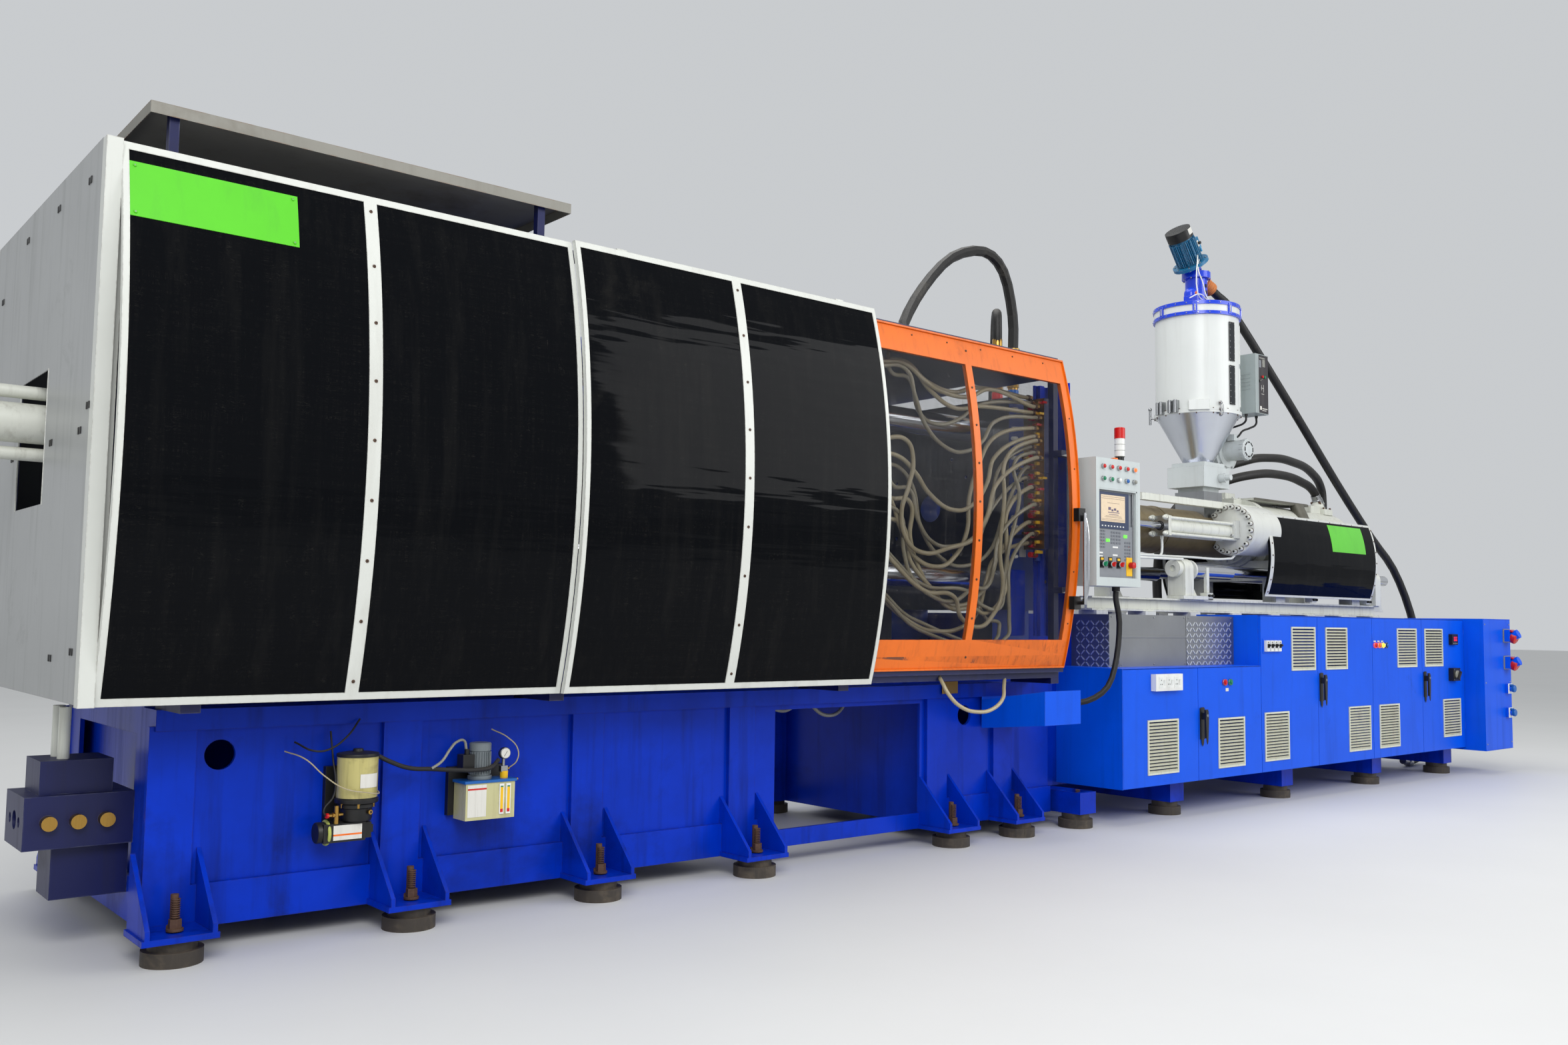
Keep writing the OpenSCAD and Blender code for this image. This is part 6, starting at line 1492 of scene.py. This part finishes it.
def breakers(x):
    parts = Solid(x, CAB_Y, TALL_TOP - .245)
    for k in range(4):
        left = .062 * k
        parts.boxes(((left + .002, -.028, -.043), (left + .043, -.019, .043)), ((left + .008, -.033, -.016),
            (left + .037, -.027, .018), 1), ((left + .016, -.05, -.004), (left + .029, -.03, .014), 1,
            tilt(-18, "X")), ((left + .012, -.0295, .024), (left + .033, -.0275, .035), 2))
    parts.box((-.02, -.004, -.06), (.25, 0, .06), 3)
    parts.piece("door_3_breakers", "door_3", "white plastic, black plastic, grey hose, cabinet paint", .001)


def door_lamps(x):
    parts = Solid(x, CAB_Y, TALL_TOP - .245)
    for k in range(4):
        spot = Vector((.072 * k, -.014, 0))
        parts.donut(spot + Vector((0, .006, 0)), (0, 1, 0), .022, .004, 4)
        parts.rod(spot, spot + Vector((0, -.006, 0)), .0175, k, 24)
        parts.ball(spot + Vector((0, -.006, 0)), .0165, k, (1, .45, 1))
    for k in range(3):
        parts.box((.072 * k - .02, -.0015, .03), (.072 * k + .02, .001, .042), 5)
    parts.piece("door_5_lamps", "door_5",
        "red plastic, orange plastic, yellow lamp, blue plastic, aluminium trim, bare label", .001)


def door_meter(x):
    parts = Solid(x, CAB_Y, TALL_TOP)
    parts.boxes(((.603, -.034, -.242), (.732, -.029, -.143)), ((.618, -.036, -.215), (.717, -.033, -.156), 1))
    for row in range(3):
        parts.box((.63, -.0368, .016 * row - .207), (.705, -.0358, .016 * row - .199), 2)
    for k in range(4):
        parts.box((.026 * k + .62, -.036, -.235), (.026 * k + .634, -.033, -.225), 3)
    parts.box((.585, -.048, -.5905), (.735, -.044, -.4745))
    parts.pin((.66, -.045, -.5325), "y", -.014, .042, 3, 32, .038)
    parts.box((.65, -.081, -.5845), (.67, -.057, -.4965), 0, tilt(38, "Y"))
    for s, t in CORNERS:
        parts.pin((.064 * s + .66, -.047, .048 * t - .5325), "y", -.003, .004, 4, 10)
    parts.piece("door_6_meter", "door_6", "black plastic, dark glass, red lamp, grey hose, bare steel", .0012)


def door_handle(body, name, x, z):
    parts = Solid(x, CAB_Y, z)
    outline = [(.01, .24), (.052, .24), (.06, .2), (.056, .1), (.046, -.03), (.031, -.055), (.016, -.03), (.006, .1),
        (.002, .2)]
    parts.plate(outline, -.0075, -.0055)
    grip = [(.015, .215), (.047, .215), (.052, .17), (.047, .06), (.04, -.015), (.031, -.035), (.022, -.015),
        (.015, .06), (.01, .17)]
    parts.plate(grip, -.0485, -.0435)
    parts.pin((.031, -.048, .18), "y", -.004, .011, 1)
    # The black slot on the lock is painted shade of its keyhole.
    parts.box((.0295, -.0525, .172), (.0325, -.0515, .188))
    parts.piece(name, body, "black plastic, bare steel", .0015)


def power_sockets(right):
    parts = Solid(right, CAB_Y - .19, TALL_TOP)
    for h in (-.15, -.42):
        parts.box((-.18, -.012, h - .068), (-.04, .001, h + .068))
        parts.lathe([(0, 0), (.052, 0), (.055, .008), (.055, .05), (.046, .056), (0, .056)], (-.11, -.055, h - .012),
            (0, -cos(radians(25)), -sin(radians(25))), 1)
        parts.box((-.16, -.085, h + .04), (-.06, -.05, h + .054), 1, tilt(28, "X"))
    for h in (-.68, -.92):
        parts.box((-.16, -.034, h - .05), (-.06, -.028, h + .05), 2)
        parts.lathe([(0, 0), (.033, 0), (.036, .006), (.036, .024), (.03, .03), (0, .03)], (-.11, -.05, h),
            (0, -1, 0), 3, 28)
        parts.box((-.14, -.052, h + .028), (-.08, -.034, h + .044), 3)
    for left in (-.62, -.03):
        for h in (-1.215, -.615, -.04):
            parts.pin((left, 0, h), "y", -.004, .008, 4, 16)
    for h in (-1.279, .008):
        parts.box((-.648, -.003, h), (-.002, .001, h + .006), 5)
    parts.piece("power_sockets", "base",
        "grey hose, red plastic, white plastic, blue plastic, bare steel, cabinet paint", .0015)


def tread():
    plates = Solid()
    y, z0, z1 = CAB_Y + .24, LOW_TOP + .02, TALL_TOP - .03
    step = .044
    for i in range(int(.66 / step)):
        for j in range(int((z1 - z0) / step)):
            lozenge(plates, Vector((1.605 + step * i, y, z0 + step * j)), (0, 1, 0), (i + j) % 2)
    for i in range(int(.32 / step)):
        for j in range(int((z1 - z0) / step)):
            lozenge(plates, Vector((DOOR_X[0] + .18, y + .015 + step * i, z0 + step * j)), (1, 0, 0), (i + j) % 2)
    plates.piece("tread_lozenges", "base", "lozenge steel", 0)
    trim = Solid()
    for x in (.7, 1.587):
        trim.box((x - .003, y - .0035, LOW_TOP + .004), (x + .003, y + .001, TALL_TOP - .012))
    trim.box((.7, y - .006, 1.33), (1.587, y + .001, 1.345))
    for x in (.61, .73, 1.15, 1.56, 1.62, 2.24):
        for z in (z0, z1):
            trim.pin((x, y, z), "y", -.004, .006, 1, 12)
    trim.piece("tread_trim", "base", "plate steel, bare steel", .0008)


def lozenge(solid, spot, out, turned):
    out = Vector(out)
    run = (rise(1) + out.cross(rise(1)) * (1 if turned else -1)).normalized()
    face = axes(run, out, run.cross(out))
    solid.block(spot, (.0205, .003, .0045), 0, face)


class MACHINE_OT_cabinet_details(MadePiece, bpy.types.Operator):
    """Sockets, breakers, lamps and handles of the cabinets, and the tread plates' lozenges"""
    bl_idname = "machine.cabinet_details"
    bl_label = "Cabinet details"

    def execute(self, context):
        make_cabinet_details()
        return {"FINISHED"}


def make_clamp_details(context):
    sizes = context.scene.machine_sizes
    cooling_hoses(sizes.water_hose / 2)
    water_taps()
    tap_board()
    mould_space_sheets()
    gate_grip()
    water_couplings()
    platen_tags()
    end_bolts()
    foot_bolts()
    rear_details()


def cooling_hoses(r):
    runs = ((1., 2.92, ((.88, 2.98), (1.1, 2.9), (1.35, 2.91), (1.52, 2.96), (1.67, 3.04), (1.93, 3.02))),
        (1.02, 2.84, ((.85, 2.76), (.99, 2.61), (1.12, 2.54), (1.32, 2.54), (1.5, 2.66), (1.62, 2.85), (1.67, 2.99),
        (1.95, 2.99))), (.98, 2.88, ((.94, 2.86), (1.23, 2.82), (1.43, 2.91), (1.63, 3.04), (1.77, 3.04))),
        (.96, 2.95, ((.97, 2.86), (1.13, 2.76), (1.33, 2.7), (1.51, 2.75), (1.6, 2.96))),
        (.94, 2.99, ((.95, 2.99), (1.18, 2.93), (1.41, 2.97), (1.63, 3.07), (1.82, 3.06))),
        (1.03, 2.56, ((.84, 2.34), (.95, 2.12), (1.06, 1.98), (1.31, 1.9), (1.53, 1.86), (1.7, 1.94), (1.73, 2.1),
        (1.68, 2.27), (1.63, 2.44), (1.7, 2.55), (1.93, 2.54))), (1., 2.71, ((.83, 2.52), (.91, 2.35), (1.02, 2.21),
        (1.25, 2.15), (1.45, 2.24), (1.59, 2.36), (1.72, 2.45))), (.97, 2.64, ((.74, 2.46), (.85, 2.16), (.99, 1.98),
        (1.14, 1.93), (1.37, 1.93), (1.54, 2.08), (1.59, 2.25))), (.99, 2.77, ((.82, 2.66), (.98, 2.47), (1.06, 2.25),
        (1.1, 2.01), (1.19, 1.86), (1.37, 1.78), (1.59, 1.85), (1.71, 2.01), (1.78, 2.17), (1.87, 2.26))),
        (.95, 2.5, ((.66, 2.18), (.83, 1.9), (1.04, 1.8), (1.3, 1.84), (1.47, 2.02), (1.57, 2.29), (1.67, 2.39),
        (1.81, 2.4))), (1.02, 2.68, ((.73, 2.52), (.76, 2.25), (.79, 1.9), (.78, 1.63), (.86, 1.48), (1.02, 1.4),
        (1.17, 1.46), (1.25, 1.59))), (1., 2.6, ((.62, 2.5), (.58, 2.3), (.6, 2.14), (.67, 1.99), (.73, 1.71),
        (.78, 1.53), (.94, 1.54), (1.1, 1.63))), (.98, 2.36, ((.67, 2.17), (.69, 1.99), (.67, 1.82), (.73, 1.6),
        (.89, 1.49), (1.02, 1.52), (1.23, 1.52), (1.43, 1.65), (1.6, 1.81), (1.69, 2.03))),
        (1.01, 2.24, ((.79, 1.99), (.85, 1.81), (.9, 1.67), (1.06, 1.65), (1.21, 1.57), (1.44, 1.59), (1.61, 1.7),
        (1.7, 1.86), (1.73, 2.1))), (.96, 2.12, ((.73, 1.89), (.84, 1.7), (.95, 1.6), (1.11, 1.54), (1.31, 1.57),
        (1.48, 1.72), (1.58, 1.95), (1.6, 2.18))), (.99, 2.04, ((.65, 1.82), (.68, 1.64), (.66, 1.46), (.69, 1.34))),
        (.94, 1.98, ((.76, 1.85), (.85, 1.7), (.93, 1.49), (1.11, 1.39), (1.31, 1.37))),
        (.93, 2.43, ((.75, 2.21), (.91, 1.98), (.97, 1.81), (.94, 1.63), (.83, 1.46), (.7, 1.41))))
    paths = []
    for depth, z, run in runs:
        left, end = run[-1]
        tail = ((max(left + .18, 1.5), end + .03), (1.8, end + .2)) if left < 1.62 else ()
        end += .38 if tail else 0
        paths.append([(TAP_X - .06, -depth, z), (TAP_X - .11, -depth - .004, z - .004)] + [(-x,
            -depth - .012 * (i % 2), low) for i, (x, low) in enumerate(run + tail)] + [(-2, -depth, end)])
    tubes("mould_hoses", "base", paths[::2] + paths[5:6], r, "cream hose", ("cooling_hoses",))
    tubes("mould_hoses_old", "base", paths[1:5:2] + paths[7::2], r * .92, "clear hose")
    rings = Solid()
    rings.box((-2.04, -1.06, 1.36), (-2.025, -.9, 3.09), 2)
    for path in paths:
        rings.pin((-2.026, path[-1][1], path[-1][2]), "x", .041, r * 1.3, 1, 8)
        spot, ahead = Vector(path[0]), (Vector(path[1]) - Vector(path[0])).normalized()
        rings.rod(spot, spot + ahead * .02, r * 1.3, 0, 14)
        rings.rod(spot - ahead * .03, spot - ahead * .002, r * 1.15, 1, 6)
    rings.piece("hose_tails", "base", "rusty steel, brass, platen paint", .0008)
    tubes("gate_loop", "base", [[(-1.357, -.98, 1.12), (-1.409, -1.08, 1.052), (-1.396, -1.13, .973),
        (-1.31, -1.15, .902), (-1.161, -1.16, .867), (-1.024, -1.16, .881), (-.918, -1.15, .937),
        (-.819, -1.08, 1.017), (-.691, -.98, 1.11)]], .0125, "cream hose")
    plate = Solid()
    plate.box((-1.11, -.806, .96), (-.96, -.8, 1.04))
    plate.piece("base_plate_bare", "base", "brass", .001)
    tubes("drop_hoses", "base", [[(-2.3, -.34, 1.06), (-2.27, -.36, .95), (-2.12, -.38, .86), (-1.98, -.36, .93),
        (-1.95, -.34, 1.06)], [(-2.1, -.3, 1.06), (-2.05, -.33, .97), (-1.93, -.34, .9), (-1.8, -.33, .96),
        (-1.76, -.3, 1.06)], [(-1.95, -.38, 1.06), (-1.9, -.4, .9), (-1.76, -.42, .82), (-1.6, -.4, .9),
        (-1.56, -.38, 1.06)]], .012, "grey hose")


def water_taps():
    parts = Solid(TAP_X, -.93)
    for k in range(16):
        z = 2.92 - .068 * k
        parts.pins(((-.04, 0, z), "x", .07, .019, 0, 14), ((-.02, 0, z), "y", -.035, .01, 3, 8))
        parts.boxes(((-.03, -.055, z + .008), (.036, -.035, z + .03), 1), ((.03, -.015, z - .013),
            (.06, .015, z + .013), 3))
        if k % 3 != 1:
            parts.rod((-.19, .03, z - .02), (-.14, .03, z - .015), .013, 4, 10)
    parts.pin((.045, 0, 1.86), "z", 1.1, .022, 2, 18)
    parts.piece("water_taps", "base", "red plastic, yellow plastic, platen paint, brass, white plastic", .0015)


def tap_board():
    board = Solid(TAP_X)
    board.boxes(((.07, -.885, 1.34), (.26, -.87, 3.1)), ((.25, -1.05, 1.34), (.26, -.87, 3.12)))
    for x, w in ((.1, .05), (.2, .03)):
        board.box((x, -.91, 1.34), (x + w, -.88, 3.1))
    board.box((-.08, -.8, 1.34), (.07, -.79, 1.8))
    for z in (2.25, 2.35, 1.72):
        board.pin((.17, -.9, z), "y", .016, .012, 1, 12)
    board.piece("tap_board", "base", "base paint, brass", .002)


def mould_space_sheets():
    # Dark sheets under the guard roof over the mould space and inside the rear guards are painted shade: they darken
    # the space seen through the gate window.
    shade_liner = Solid()
    low, high = corners("rear_guards")
    for y0, y1 in ((-1.05, -.59), (-.32, 1.2)):
        shade_liner.box((-2.2, y0, 3.105), (TAP_X - .02, y1, 3.108))
    shade_liner.boxes(((-1.45, -.59, 3.105), (-.56, -.32, 3.108)), ((low.x + .05, high.y - .05, 1.4),
        (high.x - .05, high.y - .046, min(high.z, 3.25) - .02)))
    shade_liner.piece("mould_space_sheets", "base", "dark sheet", 0)


def gate_grip():
    low, high = corners("gate_handle")
    x, y, z0, z1 = high.x - .022, low.y + .016, low.z + .05, high.z - .04
    tubes("gate_grip", "operator_gate", [[(x, y + .012, z1), (x + .012, y + .002, z1 - .05),
        (x + .022, y - .006, (z0 + z1) / 2), (x + .012, y + .002, z0 + .05), (x, y + .012, z0)]], .0145, "chrome")


def water_couplings():
    parts = Solid(PLATEN_X1 - .09, 0, COUPLING_Z)
    for k in range(2):
        y = -.38 - .15 * k
        parts.pin((0, y, .02), "z", .025, .05, 1 + k, 6)
        parts.lathe([(.0375, 0), (.041, .004), (.041, .05), (.0375, .054)], (0, y, .06), (0, 0, 1), 1 + k)
        for h in (.13, .21, .29):
            parts.pin((0, y, h), "z", .035, .044, 0, 8)
        parts.lathe([(.048, 0), (.052, .006), (.052, .03), (.049, .036), (.049, .05), (.053, .056), (.053, .08),
            (.048, .086)], (0, y, .33), (0, 0, 1))
        for s in (-1, 1):
            parts.pin((.052 * s, y, .345), "z", .065, .007, 3, 10)
            for t in (-1, 1):
                parts.pin((.045 * s, y + .045 * t, .019), "z", .015, .009, 3, 6)
    parts.lathe([(0, 0), (.034, 0), (.038, .006), (.038, .1), (.034, .106), (0, .106)], (0, -.38, .415), (0, 0, 1), 0,
        28)
    y = -.38
    tubes("back_hose", "base", [[(0, y, .44), (0, y, .6), (.03, y + .03, .72), (.08, y + .08, .72), (.1, y + .11, .5),
        (.08, y + .11, .05)]], .036, "hydraulic hose", home=(PLATEN_X1 - .09, 0, COUPLING_Z))
    parts.piece("water_couplings", "base", "brass, red plastic, blue plastic, rusty steel", .0015)


def platen_tags():
    marks = Solid()
    for x, z in ((PLATEN_X1 - .115, AXIS_H + .72), (FACE_X + .05, AXIS_H - .3)):
        marks.box((x, -.82, z - .08), (x + .05, -.8, z))
    marks.piece("platen_tags", "base", "bare label", .001)


def end_bolts():
    bolts = Solid()
    x = END_X
    for y, z in ((-.33, 3.186), (-.9, 3.17), (-.94, 2.144), (-1.06, 2.232), (-.625, 1.235), (-.995, 1.27),
            (.33, 3.186), (.9, 2.99), (.94, 2.144), (1.06, 2.232), (.625, 1.235), (.995, 1.27), (-.42, 2.144),
            (.42, 2.144)):
        for s in (-1, 1):
            bolts.box((x - .004, y + .016 * s - .009, z - .014), (x + .001, y + .016 * s + .009, z + .014))
    for y in (-.295, .291):
        bolts.box((x - .003, y, AXIS_H - .384), (x + .001, y + .004, AXIS_H + .214), 1)
    bolts.piece("end_panel_bolts", "base", "black plastic, rail paint", .001)


def foot_bolts():
    bolts = Solid()
    for x in [BASE_X0 + f / 1000 for f in (75, 1097, 2117, 3147, 4775, 5429)] + [BASE_X1 + f / 1000 for f in (120,
            1220, 2850, 4450, 5950)]:
        for side in (-1, 1):
            y = side * foot_y()
            bolts.pins(((x, y, .13), "z", .011, .034), ((x, y, .14), "z", .023, .027, 0, 6), ((x, y, .162), "z", .016,
                .0265, 0, 6))
            for h in range(9):
                bolts.donut((x, y, .186 + .009 * h), (0, 0, 1), .0165, .0022, 0, 14)
    bolts.piece("foot_bolts", "base", "rusty steel", .001)


def foot_y():
    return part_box("levelling_mounts")[1][1] - .1


def rear_details():
    parts = Solid()
    low, high = corners("rear_guards")
    y = high.y
    for x in (-5.2, -4.16, -3.1, -2.1, -1.2):
        if low.x < x < high.x:
            parts.box((x - .022, y - .003, low.z + .02), (x + .022, y + .004, min(high.z, 3.25)))
            for k in range(8):
                z = low.z + .12 + (min(high.z, 3.25) - low.z - .24) * k / 7
                parts.pin((x, y + .003, z), "y", .004, .0085, 1, 14)
    for x in (-4.3, -1.6):
        for z in (1.95, 2.15):
            parts.pin((x, y, z), "y", .045, .01, 2, 14)
        parts.pin((x, y + .045, 1.93), "z", .24, .012, 2, 16)
    parts.piece("rear_guard_trim", "base", "rail paint, rusty steel, black plastic", .001)
    motors = Solid()
    low, high = corners("pump_motors")
    for k in range(3):
        x = low.x + 1.6 * k
        for ring in (.06, .1, .14):
            motors.donut((x - .002, .81, .56), (1, 0, 0), ring, .0025, 0, 32)
        for a in range(6):
            turn = radians(60 * a)
            motors.rod((x - .002, .81 + .03 * cos(turn), .56 + .03 * sin(turn)), (x - .002, .81 + .165 * cos(turn),
                .56 + .165 * sin(turn)), .0025, 0, 6)
        motors.box((x + .2, .75, .76), (x + .36, .87, .85), 1)
        motors.pin((x + .22, .88, .8), "y", .02, .016, 0, 14)
    motors.piece("motor_details", "base", "black plastic, motor grey", .002)


class MACHINE_OT_clamp_details(MadePiece, bpy.types.Operator):
    """Cooling hoses, taps, couplings and bolts of the clamp side"""
    bl_idname = "machine.clamp_details"
    bl_label = "Clamp side details"

    def execute(self, context):
        make_clamp_details(context)
        return {"FINISHED"}


# Registration
PIECES = (MACHINE_OT_camera, MACHINE_OT_cords, MACHINE_OT_finish_nodes, MACHINE_OT_guard_trim,
    MACHINE_OT_injection_trim, MACHINE_OT_rear_hoses, MACHINE_OT_panel_details, MACHINE_OT_lubricators,
    MACHINE_OT_hopper_trim, MACHINE_OT_cabinet_details, MACHINE_OT_clamp_details)
STAGES = MACHINE_OT_stage,


class MACHINE_PT_sidebar(bpy.types.Panel):
    """Lists the sizes, the colours and the makers of the machine"""
    bl_idname = "MACHINE_PT_sidebar"
    bl_label = "Injection moulding machine"
    bl_space_type, bl_region_type, bl_category = "VIEW_3D", "UI", "Machine"

    def draw(self, context):
        for group in (context.scene.machine_sizes, context.scene.machine_colours):
            box = self.layout.box()
            for key in group.__annotations__:
                box.prop(group, key)
        for maker in PIECES + STAGES:
            self.layout.operator(maker.bl_idname)


CLASSES = (MachineSizes, MachineColours) + PIECES + STAGES + (MACHINE_PT_sidebar,)


def register():
    for item in CLASSES:
        bpy.utils.register_class(item)
    bpy.types.Scene.machine_sizes = PointerProperty(type=MachineSizes)
    bpy.types.Scene.machine_colours = PointerProperty(type=MachineColours)


def unregister():
    del bpy.types.Scene.machine_sizes, bpy.types.Scene.machine_colours
    for item in reversed(CLASSES):
        bpy.utils.unregister_class(item)


def main():
    register()
    build_groups()
    build_finishes()
    for maker in PIECES + STAGES:
        call = getattr(bpy.ops.machine, maker.bl_idname.split(".")[1])
        if call() != {"FINISHED"}:
            raise RuntimeError(maker.bl_label + " was not made")


if __name__ == "__main__":
    main()
